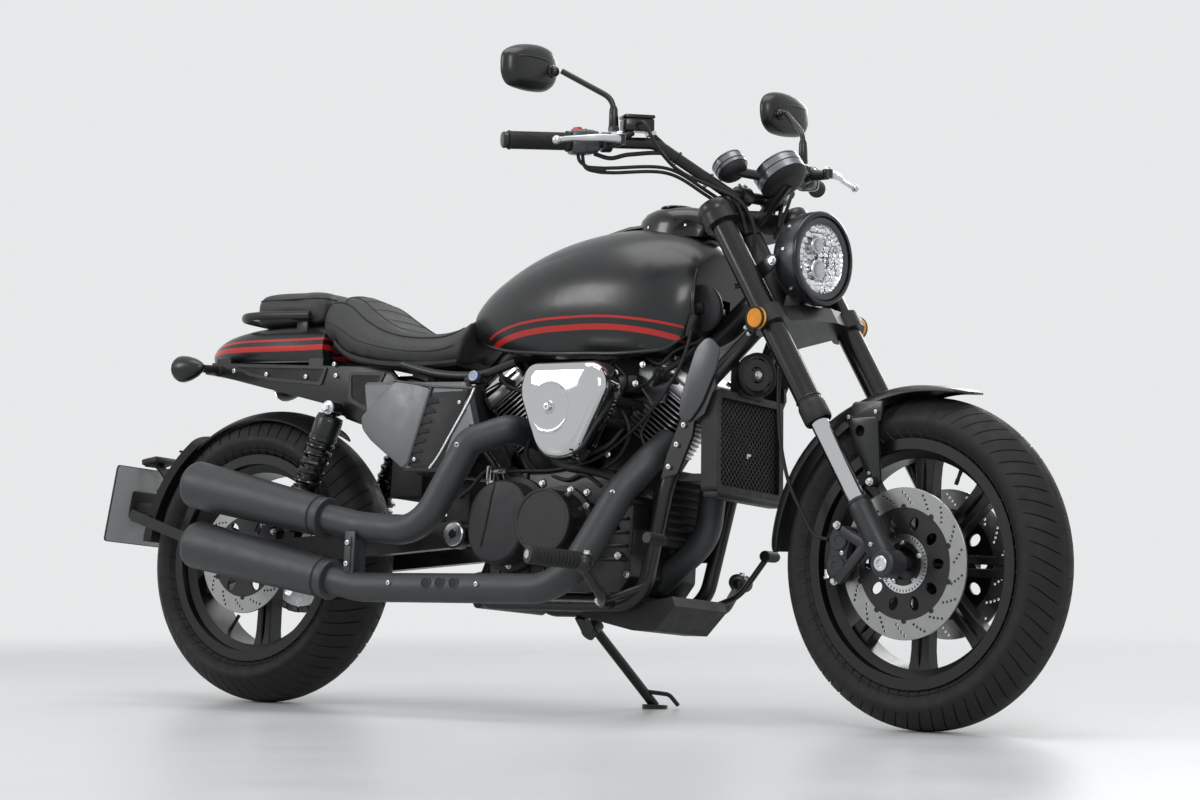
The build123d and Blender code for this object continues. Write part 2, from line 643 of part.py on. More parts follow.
def make_front_calipers():
    """Calipers behind the legs, each with its bracket to the leg."""
    right = caliper(FRONT_AXLE, FRONT_DISC_R, -FRONT_DISC_Y, CALIPER_ANGLE, 26.0, 24.0)
    arm_top = fork_point(FORK_OFFSET, 0, 66)
    arm_low = fork_point(FORK_OFFSET, 0, 26)
    y_in, y_out = -FRONT_DISC_Y - DISC_T / 2 - BRAKE_GAP - 1, -FORK_HALF + 6
    right += plate([(arm_top[0], arm_top[2]), (arm_low[0], arm_low[2]),
                    (FRONT_AXLE[0] - FRONT_DISC_R + 14, FRONT_AXLE[1] - 20),
                    (FRONT_AXLE[0] - FRONT_DISC_R + 14, FRONT_AXLE[1] + 50)], y_out + 8, y_in)
    right -= FORK * rod((FORK_OFFSET, -FORK_HALF, -40), (FORK_OFFSET, -FORK_HALF, LOWER_TOP + 20),
                        LOWER_R)
    right -= drum(FRONT_AXLE, -300, 0, AXLE_BOSS_R)
    return pair(right)


def cord_bends(points):
    """Arc radii at a cord's inner points: 0.45 of the shorter run at each."""
    radii = []
    for before, here, after in zip(points, points[1:], points[2:]):
        run_in, run_out = Vector(*here) - Vector(*before), Vector(*after) - Vector(*here)
        turn = radians(run_in.get_angle(run_out))
        radii.append(0.45 * min(run_in.length, run_out.length) / tan(turn / 2))
    return radii


def make_brake_hose():
    """Brake hose: reservoir to the lower clamp, and from there to the caliper."""
    clamp_low, clamp_high = (LOWER_CLAMP_S - LOWER_CLAMP_H / 2, LOWER_CLAMP_S + LOWER_CLAMP_H / 2)
    upper = [on_bar(PERCH_BACK + 42, 28 + SEAT_GAP, 34), on_bar(PERCH_BACK + 43, 62, 33),
             on_bar(PERCH_BACK + 62, 70, -14), (1150, -196, 1040), (1192, -136, 1012),
             fork_point(90, -96, 772), fork_point(76, -74, 722), fork_point(40, -76, 664),
             fork_point(26, -68, 612), fork_point(27, -64, clamp_high + SEAT_GAP)]
    ahead = Vector(cos(radians(CALIPER_ANGLE)), 0, sin(radians(CALIPER_ANGLE)))
    face = CALIPER_BODY[0] / 2 + 4 + FRONT_DISC_R - 6 + SEAT_GAP
    port = Vector(FRONT_AXLE[0], -84, FRONT_AXLE[1]) + ahead * face + Vector(0, 0, 22)
    before = port + ahead * 34
    lower = [fork_point(10, -92, clamp_low - SEAT_GAP), fork_point(6, -94, 460),
             (1322, -104, 592), (1330, -106, 520), (1346, -102, 448), tuple(before), tuple(port)]
    for route in (upper, lower):
        print("brake hose radii", [round(radius) for radius in cord_bends(route)])
    return [tube(route, HOSE_R, cord_bends(route)) for route in (upper, lower)]


# ================================================================ chassis running gear
def make_swingarm():
    """Two arms with a cross beam, and the rear axle with its spacers."""
    axle_half = ARM_Y + ARM_T / 2 + 14
    body = drum(REAR_AXLE, -axle_half, axle_half, HUB_BORE_R)
    cross_x = REAR_TYRE_R + MUDGUARD_GAP + 32
    body += block(cross_x, cross_x + 44, -ARM_Y, ARM_Y, PIVOT_Z - 16, PIVOT_Z + 16)
    for side in LEG_SIDES:
        y_in, y_out = side * (ARM_Y - ARM_T / 2), side * (ARM_Y + ARM_T / 2)
        body += plate([(-46, REAR_AXLE[1] - 22), (30, REAR_AXLE[1] - 30), (PIVOT_X, PIVOT_Z - 26),
                       (PIVOT_X, PIVOT_Z + 26), (150, REAR_AXLE[1] + 34), (-46, REAR_AXLE[1] + 24)],
                      y_in, y_out)
        body += drum((PIVOT_X, PIVOT_Z), side * (PIVOT_TUBE_HALF + AXIAL_GAP), y_in, 20)
        body += drum((PIVOT_X, PIVOT_Z), y_in, y_out, 28)
        body += drum(SHOCK_FOOT, y_in, y_out, 15) + block(
            SHOCK_FOOT[0] - 14, SHOCK_FOOT[0] + 14, y_in, y_out, SHOCK_FOOT[1] - 50, SHOCK_FOOT[1])
        body += drum(REAR_AXLE, y_out, y_out + side * 12, 22)
    body -= drum((PIVOT_X, PIVOT_Z), -200, 200, PIVOT_BOLT_R + RUNNING_GAP)
    body += drum(REAR_AXLE, -REAR_HUB_HALF - AXIAL_GAP, -ARM_Y, SPACER_R + 2)
    body += drum(REAR_AXLE, REAR_HUB_HALF + AXIAL_GAP, ARM_Y, SPACER_R + 2)
    return body


def make_rear_shocks():
    """Covered shock absorbers: cap, spring sleeve, rod and eyes."""
    top = Vector(SHOCK_TOP[0], -SHOCK_Y, SHOCK_TOP[1])
    foot = Vector(SHOCK_FOOT[0], -SHOCK_Y, SHOCK_FOOT[1])
    down = (foot - top).normalized()
    length = (foot - top).length
    eye_clear = 17
    body = rod(tuple(top + down * 18), tuple(top + down * 62), SPRING_R)
    body += rod(tuple(top), tuple(top + down * 20), 12)
    body += rod(tuple(top + down * 62), tuple(top + down * (length - 44)), SPRING_R - 9)
    coils = 7
    run = length - 44 - 62
    for turn in range(coils):
        at = 62 + run * (turn + 0.5) / coils
        body += rod(tuple(top + down * (at - 5)), tuple(top + down * (at + 5)), SPRING_R - 1)
    body += rod(tuple(top + down * (length - 46)), tuple(top + down * (length - eye_clear)),
                SPRING_R - 6)
    body += drum(SHOCK_TOP, -SHOCK_Y - 14, -SHOCK_Y + 14, 15)
    body -= drum(SHOCK_FOOT, -200, 0, 15 + SEAT_GAP)
    body -= drum(SHOCK_TOP, -200, 0, SHOCK_BOLT_R)
    return pair(body)


def make_rear_mudguard():
    """The guard close over the tyre and the flap behind, on arms to the axle."""
    inner = REAR_TYRE_R + MUDGUARD_GAP
    body = guard(REAR_AXLE, inner, 4.0, HUGGER_HALF_W, 22.0, 62.0, 66.0)
    body += guard(REAR_AXLE, inner, FLAP_T, FLAP_HALF_W, 24.0, 126.0, 48.0)
    arm_in = ARM_Y + ARM_T / 2
    flap_r = inner - 12
    tip = (flap_r * cos(radians(164)), REAR_AXLE[1] + flap_r * sin(radians(164)))
    for side in LEG_SIDES:
        body += plate([(-24, REAR_AXLE[1] + 14), (-24, REAR_AXLE[1] - 8), (tip[0], tip[1] - 12),
                       (tip[0] - 8, tip[1]), (tip[0], tip[1] + 12)],
                      side * arm_in, side * (arm_in + 5))
        body += rod((tip[0], side * (FLAP_HALF_W - 7), tip[1]), (tip[0], side * (arm_in + 5), tip[1]), 6)
    return body - drum(REAR_AXLE, -arm_in - 20, arm_in + 20, 22)


def make_plate_holder():
    """The blank number plate and its bracket behind the rear flap."""
    outer = REAR_TYRE_R + MUDGUARD_GAP + FLAP_T
    top = Vector(*PLATE_TOP)
    down = Vector(-0.16, 0, -1).normalized()
    middle = top + down * (PLATE_H / 2)
    sheet = Plane(origin=middle, x_dir=(0, 1, 0), z_dir=Vector(-1, 0, 0.16)) * Box(PLATE_W, PLATE_H, 3)
    back = Plane(origin=middle + Vector(5, 0, -0.8), x_dir=(0, 1, 0),
                 z_dir=Vector(-1, 0, 0.16)) * Box(PLATE_W * 0.6, PLATE_H * 0.6, 7)
    arm = block(middle.X, -250, -40, 40, middle.Z - 10, middle.Z + 10)
    arm -= drum(REAR_AXLE, -200, 200, outer)
    return sheet + back + arm


def make_rear_caliper():
    body = caliper(REAR_AXLE, REAR_DISC_R, -REAR_DISC_Y, 52.0, 24.0, 20.0)
    y_in = -REAR_DISC_Y - DISC_T / 2 - BRAKE_GAP - 1
    arm_face = -ARM_Y + ARM_T / 2 + SEAT_GAP
    body += plate([(40, REAR_AXLE[1]), (92, REAR_AXLE[1]), (100, REAR_AXLE[1] + 80),
                   (60, REAR_AXLE[1] + 90)], y_in, y_in - 8)
    return body + block(46, 90, y_in - 8, arm_face, REAR_AXLE[1] + 2, REAR_AXLE[1] + 24)


def make_drive_chain():
    """The chain's closed loop round both sprockets."""
    pin = (PIVOT_X + 66.0, PIVOT_Z + 6.0)
    rear_in, rear_out = SPROCKET_R + CHAIN_GAP, SPROCKET_R + CHAIN_GAP + CHAIN_H
    lead_in, lead_out = ENGINE_SPROCKET_R + CHAIN_GAP, ENGINE_SPROCKET_R + CHAIN_GAP + CHAIN_H

    def loop(r_rear, r_lead, y0, y1):
        run = hypot(pin[0] - REAR_AXLE[0], pin[1] - REAR_AXLE[1])
        slope = atan2(pin[1] - REAR_AXLE[1], pin[0] - REAR_AXLE[0])
        spread = pi / 2 - atan2(r_rear - r_lead, sqrt(run ** 2 - (r_rear - r_lead) ** 2))
        corners = []
        for centre, r in ((REAR_AXLE, r_rear), (pin, r_lead)):
            for sign in (1, -1):
                angle = slope + sign * spread
                corners.append((centre[0] + r * cos(angle), centre[1] + r * sin(angle)))
        upper_rear, lower_rear, upper_lead, lower_lead = corners
        sheet = plate([upper_rear, lower_rear, lower_lead, upper_lead], y0, y1)
        return sheet + drum(REAR_AXLE, y0, y1, r_rear) + drum(pin, y0, y1, r_lead)

    y0, y1 = SPROCKET_Y - CHAIN_T / 2, SPROCKET_Y + CHAIN_T / 2
    belt = loop(rear_out, lead_out, y0, y1) - loop(rear_in, lead_in, y0 - 1, y1 + 1)
    front_sprocket = drum(pin, SPROCKET_Y - SPROCKET_T / 2, SPROCKET_Y + SPROCKET_T / 2,
                          ENGINE_SPROCKET_R + CHAIN_GAP)
    return belt + front_sprocket


# ================================================================ engine
def case_outline():
    return [(668, 262), (720, CASE_FOOT_Z), (980, CASE_FOOT_Z), (CASE_NOSE_X, 268),
            (CASE_NOSE_X, 420), (950, 470),
            (740, 470), (668, 420)]


def chain_space():
    """Room in the crankcase for the front sprocket and the chain."""
    return block(560, 730, SPROCKET_Y - CHAIN_T / 2 - 4, SPROCKET_Y + CHAIN_T / 2 + 40, 240, 470)


def make_crankcase():
    body = soft_plate(case_outline(), -CASE_HALF, CASE_HALF, 16)
    body += block(700, 960, -70, 70, 230, 240)
    return body - chain_space()


def make_engine_covers():
    """Clutch and timing covers on the right, generator and sprocket on the left."""
    covers = []
    right = drum((727, 372), -CASE_HALF, -CASE_HALF - 62, 72)
    right += drum((722, 352), -CASE_HALF, -CASE_HALF - 62, 62)
    lead = drum((843, 366), -CASE_HALF, -CASE_HALF - 74, 64)
    right = fillet(right.edges().sort_by(Axis.Y)[0], 6)
    lead = fillet(lead.faces().sort_by(Axis.Y)[0].edges(), 8)
    covers.append(right + lead)
    left = drum((850, 360), CASE_HALF, CASE_HALF + 52, 76)
    left = fillet(left.faces().sort_by(Axis.Y)[-1].edges(), 8)
    left += plate([(742, 300), (742, 420), (790, 420), (790, 300)], CASE_HALF, CASE_HALF + 20)
    covers.append(left)
    return covers


def make_cylinder(side):
    """One finned barrel with its head; side is -1 for the rear, 1 for the front."""
    lean = radians(CYLINDER_LEAN) * side
    up = Vector(sin(lean), 0, cos(lean))
    along = Vector(cos(lean), 0, -sin(lean))
    foot = Vector(CRANK[0], 0, CRANK[1])
    place = Location(Plane(origin=foot, x_dir=along, z_dir=up))
    fins_top = CYLINDER_FOOT + FIN_COUNT * FIN_PITCH
    body = rod((0, 0, CYLINDER_ROOT), (0, 0, fins_top), BARREL_R)
    root_mid = (CYLINDER_ROOT + CYLINDER_FOOT) / 2
    body += Pos(0, 0, root_mid) * Box(BARREL_R * 2, FIN_HALF_W * 2 - 14, CYLINDER_FOOT - CYLINDER_ROOT)
    for number in range(FIN_COUNT):
        level = CYLINDER_FOOT + number * FIN_PITCH
        fin = Pos(0, 0, level + FIN_T / 2) * Box(FIN_HALF_L * 2, FIN_HALF_W * 2, FIN_T)
        body += fillet(fin.edges().filter_by(Axis.Z), 18)
    head = Pos(0, 0, fins_top + HEAD_H / 2) * Box(FIN_HALF_L * 2, FIN_HALF_W * 2 + 8, HEAD_H)
    head = chamfer(head.edges().filter_by(Axis.Y).group_by(Axis.Z)[-1], 24)
    body += head
    return place * body


def make_cylinders():
    case = soft_plate(case_outline(), -CASE_HALF, CASE_HALF, 16)
    rear = largest(make_cylinder(-1) - case)
    front = largest(make_cylinder(1) - case - rear)
    return [rear, front]


AIR_CENTRE = (896.0, 580.0)


def air_outline():
    cx, cz = AIR_CENTRE
    return [(cx - 82, cz + 88), (cx + 96, cz + 84), (cx + 108, cz + 30), (cx + 38, cz - 100),
            (cx - 38, cz - 100), (cx - 96, cz + 40)]


def make_air_cleaner():
    face_y = -238.0
    body = soft_plate(air_outline(), -166, face_y, 26)
    body = fillet(body.faces().sort_by(Axis.Y)[0].edges(), 12)
    body += drum((AIR_CENTRE[0] - 6, AIR_CENTRE[1] + 6), face_y, face_y - 4, 50)
    body += drum(AIR_CENTRE, -166, -FIN_HALF_W - 20, 34)
    for spot in ((975, 600), (962, 560)):
        body += drum(spot, -168, -FIN_HALF_W - SEAT_GAP, 10)
    return body


UPPER_MUFFLER = ((-44, UPPER_MUFFLER_Y, 442), (322, UPPER_MUFFLER_Y, 371))
LOWER_MUFFLER = ((-20, LOWER_MUFFLER_Y, 316), (356, LOWER_MUFFLER_Y, 246))


def pipe_lead(ends, length):
    """The pipe's first two points: square out of a muffler's front face."""
    rear, front = Vector(*ends[0]), Vector(*ends[1])
    lead = front + (front - rear).normalized() * length
    return [ends[1], (lead.X, lead.Y, lead.Z)]


def make_exhaust_pipes():
    """Two pipes on the right, a clamp between them, and the front header."""
    upper = tube(pipe_lead(UPPER_MUFFLER, 90) + [
        (568, -214, 342), (655, -186, 522), (716, -140, 552), (728, -60, 548)],
        PIPE_R, [200.0, 90.0, 40.0, 34.0])
    lower = tube(pipe_lead(LOWER_MUFFLER, 80) + [
        (930, -226, 234), (1008, -160, 428), (1034, -116, 486), (1042, -60, 530)],
        PIPE_R, [200.0, 110.0, 60.0, 34.0])
    clamp = block(396, 430, UPPER_MUFFLER_Y - 14, UPPER_MUFFLER_Y + 2, 254, 336)
    header = tube([(1052, 22, 622), (1106, 22, 572), (1088, 22, 350), (980, 22, 262)],
                  PIPE_R - 3, [40.0, 90.0])
    engine = make_cylinder(-1) + make_cylinder(1)
    return [upper + clamp + lower - engine, header - engine - make_crankcase()]


def muffler(ends):
    run = (Vector(*ends[1]) - Vector(*ends[0])).normalized()
    body = cone(ends[0], ends[1], MUFFLER_REAR_R, MUFFLER_FRONT_R)
    body = fillet(body.edges().sort_by(Axis.X)[0], 14)
    outlet = tuple(Vector(*ends[0]) - run * 6)
    inner = tuple(Vector(*ends[0]) + run * 70)
    return body - rod(outlet, inner, MUFFLER_REAR_R - 20)


def make_mufflers():
    return [muffler(UPPER_MUFFLER), muffler(LOWER_MUFFLER)]


# ================================================================ body work
TANK_SECTIONS = [
    # x, half foot, z foot, half mid, z mid, half top, z top, z crown
    (560, 52, 742, 66, 778, 44, 812, 824),
    (640, 84, 716, 108, 776, 74, 856, 884),
    (800, 118, 702, 146, 784, 100, 898, 944),
    (960, 124, 696, 150, 784, 100, 914, 958),
    (1060, 112, 706, 134, 786, 92, 892, 938),
    (1106, 86, 742, 104, 794, 74, 868, 900)]


def make_fuel_tank():
    faces = [section_x(*row) for row in TANK_SECTIONS]
    body = loft(faces)
    tunnel = block(540, 1120, -TANK_TUNNEL_HALF, TANK_TUNNEL_HALF, 680, TANK_TUNNEL_Z)
    tunnel += block(1030, 1120, -TANK_TUNNEL_HALF, TANK_TUNNEL_HALF, 680, TANK_TUNNEL_Z + 40)
    return body - tunnel


def make_tank_console():
    """Low dome with the filler cap on top of the tank."""
    body = Pos(1004, 0, 946) * Cylinder(56, 90)
    body = fillet(body.edges().group_by(Axis.Z)[-1], 26)
    strip = block(1040, 1084, -26, 26, 880, 952)
    strip = fillet(strip.edges().group_by(Axis.Z)[-1], 8)
    tank = loft([section_x(*row) for row in TANK_SECTIONS])
    return (body + strip) - tank - block(900, 1200, -100, 100, 700, 893)


SEAT_SECTIONS = [
    (176, 70, 778, 84, 806, 62, 836, 846),
    (214, 104, 752, 122, 792, 84, 846, 862),
    (300, 132, 704, 148, 752, 104, 800, 802),
    (400, 138, 690, 152, 728, 104, 758, 756),
    (500, 122, 688, 136, 722, 92, 756, 752),
    (552, 96, 694, 106, 746, 66, 796, 806)]


def make_rider_seat():
    body = loft([section_x(*row) for row in SEAT_SECTIONS])
    tank = loft([section_x(*row) for row in TANK_SECTIONS])
    return body - tank


def make_pillion_pad():
    pad = block(-30, 170, -84, 84, 794, 858)
    pad = fillet(pad.edges().filter_by(Axis.Z), 30)
    return fillet(pad.edges().group_by(Axis.Z)[-1], 14)


COWL_SECTIONS = [
    (-176, 30, 722, 34, 740, 24, 752, 756),
    (-110, 66, 718, 74, 744, 60, 768, 780),
    (20, 88, 714, 96, 744, 80, 782, 798),
    (190, 96, 710, 104, 740, 86, 778, 800)]


def make_tail_cowl():
    body = loft([section_x(*row) for row in COWL_SECTIONS])
    body -= make_pillion_pad().moved(Location((0, 0, -SEAT_GAP)))
    seat = loft([section_x(*row) for row in SEAT_SECTIONS])
    return body - seat - block(-60, 400, -70, 70, 690, 748)


def make_grab_rail():
    """A flat rail round the back of the pillion pad, on two feet."""
    rail = block(-74, 150, -112, 112, 806, 818)
    rail = fillet(rail.edges().filter_by(Axis.Z).group_by(Axis.X)[0], 50)
    hollow = block(-46, 151, -95, 95, 800, 824)
    hollow = fillet(hollow.edges().filter_by(Axis.Z).group_by(Axis.X)[0], 30)
    rail -= hollow
    for side in LEG_SIDES:
        rail += block(96, 140, side * 95, side * 103, 756, 812)
    cowl = loft([section_x(*row) for row in COWL_SECTIONS])
    return rail - cowl


TAIL_PLATE = [(-122, 714), (368, 690), (396, 660), (300, 574), (262, 586), (232, 612),
              (-122, 690)]
TAIL_PLATE_Y = 98.0          # outer face
TAIL_PLATE_T = 10.0


def make_tail_side_plates():
    """Side plates below the tail, joined by cross pieces above the wheel."""
    y_out, y_in = -TAIL_PLATE_Y, -TAIL_PLATE_Y + TAIL_PLATE_T
    right = plate(TAIL_PLATE, y_out, y_in)
    window = plate([(300, 650), (350, 650), (332, 604), (304, 620)], y_out - 5, y_in + 5)
    recess = plate([(-40, 702), (200, 692), (190, 668), (0, 690)], y_out - 2, y_out + 3)
    right -= window
    right -= recess
    right += drum(SHOCK_TOP, y_in, -SHOCK_Y - 20, SHOCK_BOLT_R - RUNNING_GAP)
    right += drum(SHOCK_TOP, y_in, -SHOCK_Y + 14, 11)
    body = right + other_side(right)
    cowl = make_tail_cowl().moved(Location((0, 0, -SEAT_GAP)))
    body += block(-110, -70, y_out + 1, -y_out - 1, 694, 722) - cowl
    rail_top = SUBFRAME_Z + FRAME_TUBE_R + SEAT_GAP
    return body + (block(150, 188, y_out + 1, -y_out - 1, rail_top, 716) - cowl)


SIDE_COVER = [(352, 652), (612, 646), (640, 560), (590, 470), (470, 470), (372, 540)]


def make_side_covers():
    right = soft_plate(SIDE_COVER, -134, -160, 8)
    right = chamfer(right.faces().sort_by(Axis.Y)[0].edges(), 6)
    for x, z in ((400, 632), (570, 552)):
        right += rod((x, -136, z), (x, -RISE_Y, z), 8)
    return pair(right - rise_tube(-1, FRAME_TUBE_R + SEAT_GAP))


def make_rear_lamps():
    """Turn signals on short stalks and the tail lamp between them."""
    stalk = rod((-100, -TAIL_PLATE_Y, 698), (-100, -146, 698), 6)
    lamp = rod((-124, -164, 694), (-76, -164, 698), 17)
    lamp = fillet(lamp.edges(), 6)
    signals = pair(stalk + rod((-100, -140, 698), (-100, -164, 698), 8) + lamp)
    rear_edge = TAIL_PLATE[0][0] - SEAT_GAP
    tail = block(rear_edge - 25, rear_edge, -TAIL_PLATE_Y + 2, TAIL_PLATE_Y - 2, 694, 712)
    return signals + [tail]


# ================================================================ frame
def rise_tube(side, radius):
    """From beside the pivot up and back under the seat."""
    y = side * RISE_Y
    return tube([(RISE_X, y, 296), (RISE_X, y, 470), (440, y, SUBFRAME_Z), (120, y, SUBFRAME_Z)],
                radius, [70.0, 90.0])


def down_tube(side, radius):
    """From the steering head down in front of the engine, under it and to the pivot."""
    neck = fork_point(0, 0, LOWER_CLAMP_S + LOWER_CLAMP_H / 2 + AXIAL_GAP + 34)
    y = side * RAIL_Y
    return tube([(neck[0] - 6, side * 18, neck[2]), (1120, side * 98, 606), (1076, side * 112, 432),
                 (1030, y, RAIL_Z), (RISE_X, y, RAIL_Z), (RISE_X, side * RISE_Y, 300)],
                radius, [60.0, 120.0, 70.0, 40.0])


def make_main_frame():
    head_low = LOWER_CLAMP_S + LOWER_CLAMP_H / 2 + AXIAL_GAP
    head_high = UPPER_CLAMP_S - UPPER_CLAMP_H / 2 - AXIAL_GAP
    body = FORK * rod((0, 0, head_low), (0, 0, head_high), HEAD_TUBE_R)
    spine = fork_point(0, 0, head_low + 90)
    body += tube([spine, (1112, 0, 738), (616, 0, 721), (500, 0, 604)], SPINE_R, [90.0, 60.0])
    case_foot = CASE_FOOT_Z - SEAT_GAP
    seat = make_rider_seat().moved(Location((0, 0, -SEAT_GAP)))
    for side in LEG_SIDES:
        body += down_tube(side, DOWN_TUBE_R) + rise_tube(side, FRAME_TUBE_R)
        for x in ENGINE_LUGS_X:
            body += block(x - 18, x + 18, side * 98, side * 112, RAIL_Z, case_foot)
        body += plate([(CASE_NOSE_X + SEAT_GAP, 356), (1062, 356), (1050, 310),
                       (CASE_NOSE_X + SEAT_GAP, 310)], side * 99, side * 111)
        body += block(410, 450, side * (RISE_Y - 10), side * (RISE_Y + 10), SUBFRAME_Z, 700) - seat
        body += plate(HANGER, side * HANGER_Y, side * (HANGER_Y + HANGER_T))
        body += plate([(PIVOT_X - 16, PIVOT_Z + 24), (RISE_X, PIVOT_Z + 34), (RISE_X, PIVOT_Z - 34),
                       (PIVOT_X - 16, PIVOT_Z - 24)], side * (PIVOT_TUBE_HALF - 12),
                      side * PIVOT_TUBE_HALF)
    body += drum((PIVOT_X, PIVOT_Z), -PIVOT_TUBE_HALF, PIVOT_TUBE_HALF, 24)
    bolt_half = ARM_Y + ARM_T / 2 + 8
    body += drum((PIVOT_X, PIVOT_Z), -bolt_half, bolt_half, PIVOT_BOLT_R)
    body += drum((RISE_X, RAIL_Z), -RAIL_Y, RAIL_Y, 13)
    body += drum((440, 658), -RISE_Y, RISE_Y, 11)
    pad_half, pad_top = TANK_TUNNEL_HALF - SEAT_GAP, TANK_TUNNEL_Z - SEAT_GAP
    for x in TANK_PADS_X:
        body += block(x - 18, x + 18, -pad_half, pad_half, 722, pad_top)
    body += drum((500, 604), -RISE_Y, RISE_Y, 18)
    body -= FORK * rod((0, 0, head_low - 1), (0, 0, head_high + 1), STEM_R + RUNNING_GAP)
    return body


def make_radiator():
    """Core, side tanks and shroud in front of the down tubes."""
    place = Location(Plane(origin=RADIATOR_MID, x_dir=(1, 0, 0.05), z_dir=(-0.05, 0, 1)))
    body = Box(RADIATOR_T, RADIATOR_W, RADIATOR_H)
    body = fillet(body.edges().filter_by(Axis.X), 12)
    recess = Pos(RADIATOR_T / 2, 0, 0) * Box(16, RADIATOR_W - 28, RADIATOR_H - 28)
    body = place * (body - recess)
    for side in LEG_SIDES:
        tube_space = down_tube(side, DOWN_TUBE_R + SEAT_GAP)
        for z in (456, 586):
            lug = block(1104, 1162, side * 96, side * 110, z - 7, z + 7)
            body += largest(lug - tube_space)
    return body


def make_belly_pan():
    half = RAIL_Y - DOWN_TUBE_R - SEAT_GAP
    return plate([(880, 190), (1000, 166), (1052, 166), (1096, 214), (1088, 232), (1040, 222),
                  (880, 226)], -half, half)


def make_foot_controls():
    """Rider's pegs on arms from the lower rails, with their pedals."""
    sides = []
    for side in LEG_SIDES:
        arm = tube([(968, side * (RAIL_Y + DOWN_TUBE_R + SEAT_GAP), RAIL_Z), (968, side * 150, RAIL_Z),
                    (1012, side * 210, 222), (1004, side * 270, 276)], 10, [20.0, 40.0])
        peg = rod((1006, side * 258, 284), (952, side * 372, 288), 16)
        joint = ball((1006, side * 268, 280), 19)
        pedal = tube([(980, side * 168, 216), (1080, side * 158, 250), (1120, side * 190, 330)],
                     6, [50.0]) + rod((1120, side * 176, 330), (1116, side * 226, 332), 10)
        sides.append(arm + peg + joint + pedal)
    return sides


# ================================================================ stance
def crown_drop(axle_dir, radius, crown_r):
    """How far the lowest point of a tyre lies under its axle."""
    return (radius - crown_r) * sqrt(1 - axle_dir.Z ** 2) + crown_r


def stood(vector, pitch):
    return vector.rotate(Axis.X, -LEAN_ANGLE).rotate(Axis.Y, pitch)


def steered(vector):
    return (vector - STEER_BASE).rotate(Axis((0, 0, 0), STEER_UP), STEER_ANGLE) + STEER_BASE


def tyre_bottoms(pitch):
    across = Vector(0, 1, 0)
    rear_dir = stood(across, pitch)
    front_dir = stood(across.rotate(Axis((0, 0, 0), STEER_UP), STEER_ANGLE), pitch)
    rear = stood(Vector(REAR_AXLE[0], 0, REAR_AXLE[1]), pitch)
    front = stood(steered(Vector(FRONT_AXLE[0], 0, FRONT_AXLE[1])), pitch)
    return (rear.Z - crown_drop(rear_dir, REAR_TYRE_R, REAR_CROWN_R),
            front.Z - crown_drop(front_dir, FRONT_TYRE_R, FRONT_CROWN_R))


PITCH = 0.0
for step in range(6):
    rear_z, front_z = tyre_bottoms(PITCH)
    PITCH += degrees(atan2(front_z - rear_z, WHEELBASE))
FLOOR_Z = tyre_bottoms(PITCH)[0]


def floor_under(x, y):
    """Height of the floor in the upright bike's frame, below x and y."""
    low, high = -200.0, 400.0
    for step in range(40):
        mid = (low + high) / 2
        if stood(Vector(x, y, mid), PITCH).Z > FLOOR_Z:
            high = mid
        else:
            low = mid
    return high


# ================================================================ side stand
STAND_FOOT_Z = floor_under(*STAND_FOOT)
STAND_DOWN = (Vector(STAND_FOOT[0], STAND_FOOT[1], STAND_FOOT_Z) - Vector(*STAND_PIVOT)).normalized()
STAND_AXIS_DIR = STAND_DOWN.cross(Vector(*STAND_FOLD)).normalized()


def make_side_stand():
    """Leg, foot plate and prong, on a pin through the frame's lug."""
    pivot = Vector(*STAND_PIVOT)
    foot = Vector(STAND_FOOT[0], STAND_FOOT[1], STAND_FOOT_Z + 6)
    leg = rod(STAND_PIVOT, tuple(foot), STAND_LEG_R)
    leg += rod(tuple(pivot - STAND_AXIS_DIR * STAND_HUB_HALF),
               tuple(pivot + STAND_AXIS_DIR * STAND_HUB_HALF), 17)
    pad = Pos(STAND_FOOT[0], STAND_FOOT[1], STAND_FOOT_Z) * Cylinder(26, 60)
    leg += pad - block(0, 2000, -600, 600, STAND_FOOT_Z + 8, 400)
    prong = tube([tuple(foot - STAND_DOWN * 40), tuple(foot - STAND_DOWN * 40 + Vector(46, 24, -4)),
                  tuple(foot + Vector(40, 24, 4))], 4.5, [14.0])
    leg += prong
    leg -= rod(tuple(pivot - STAND_AXIS_DIR * 30), tuple(pivot + STAND_AXIS_DIR * 30),
               STAND_PIN_R + RUNNING_GAP)
    below = Pos(0, 0, FLOOR_Z - 250) * Box(4000, 4000, 500)
    below = below.rotate(Axis.Y, -PITCH).rotate(Axis.X, LEAN_ANGLE)
    return leg - below


def make_stand_lug():
    """The frame's lug and pin that the side stand swings on."""
    pivot = Vector(*STAND_PIVOT)
    lug_face = STAND_HUB_HALF + AXIAL_GAP
    pin_in = pivot - STAND_AXIS_DIR * (lug_face + STAND_LUG_T)
    pin_out = pivot + STAND_AXIS_DIR * (lug_face + 5)
    body = rod(tuple(pin_in), tuple(pin_out), STAND_PIN_R)
    body += rod(tuple(pin_in), tuple(pivot - STAND_AXIS_DIR * lug_face), 15)
    to_rail = (Vector(pivot.X, RAIL_Y, RAIL_Z) - pivot)
    to_rail = to_rail - STAND_AXIS_DIR * to_rail.dot(STAND_AXIS_DIR)
    lug = Plane(origin=pivot - STAND_AXIS_DIR * (lug_face + STAND_LUG_T / 2), x_dir=to_rail,
                z_dir=STAND_AXIS_DIR)
    body += lug * (Pos(to_rail.length / 2 - 6, 0, 0) * Box(to_rail.length, 26, STAND_LUG_T))
    return body


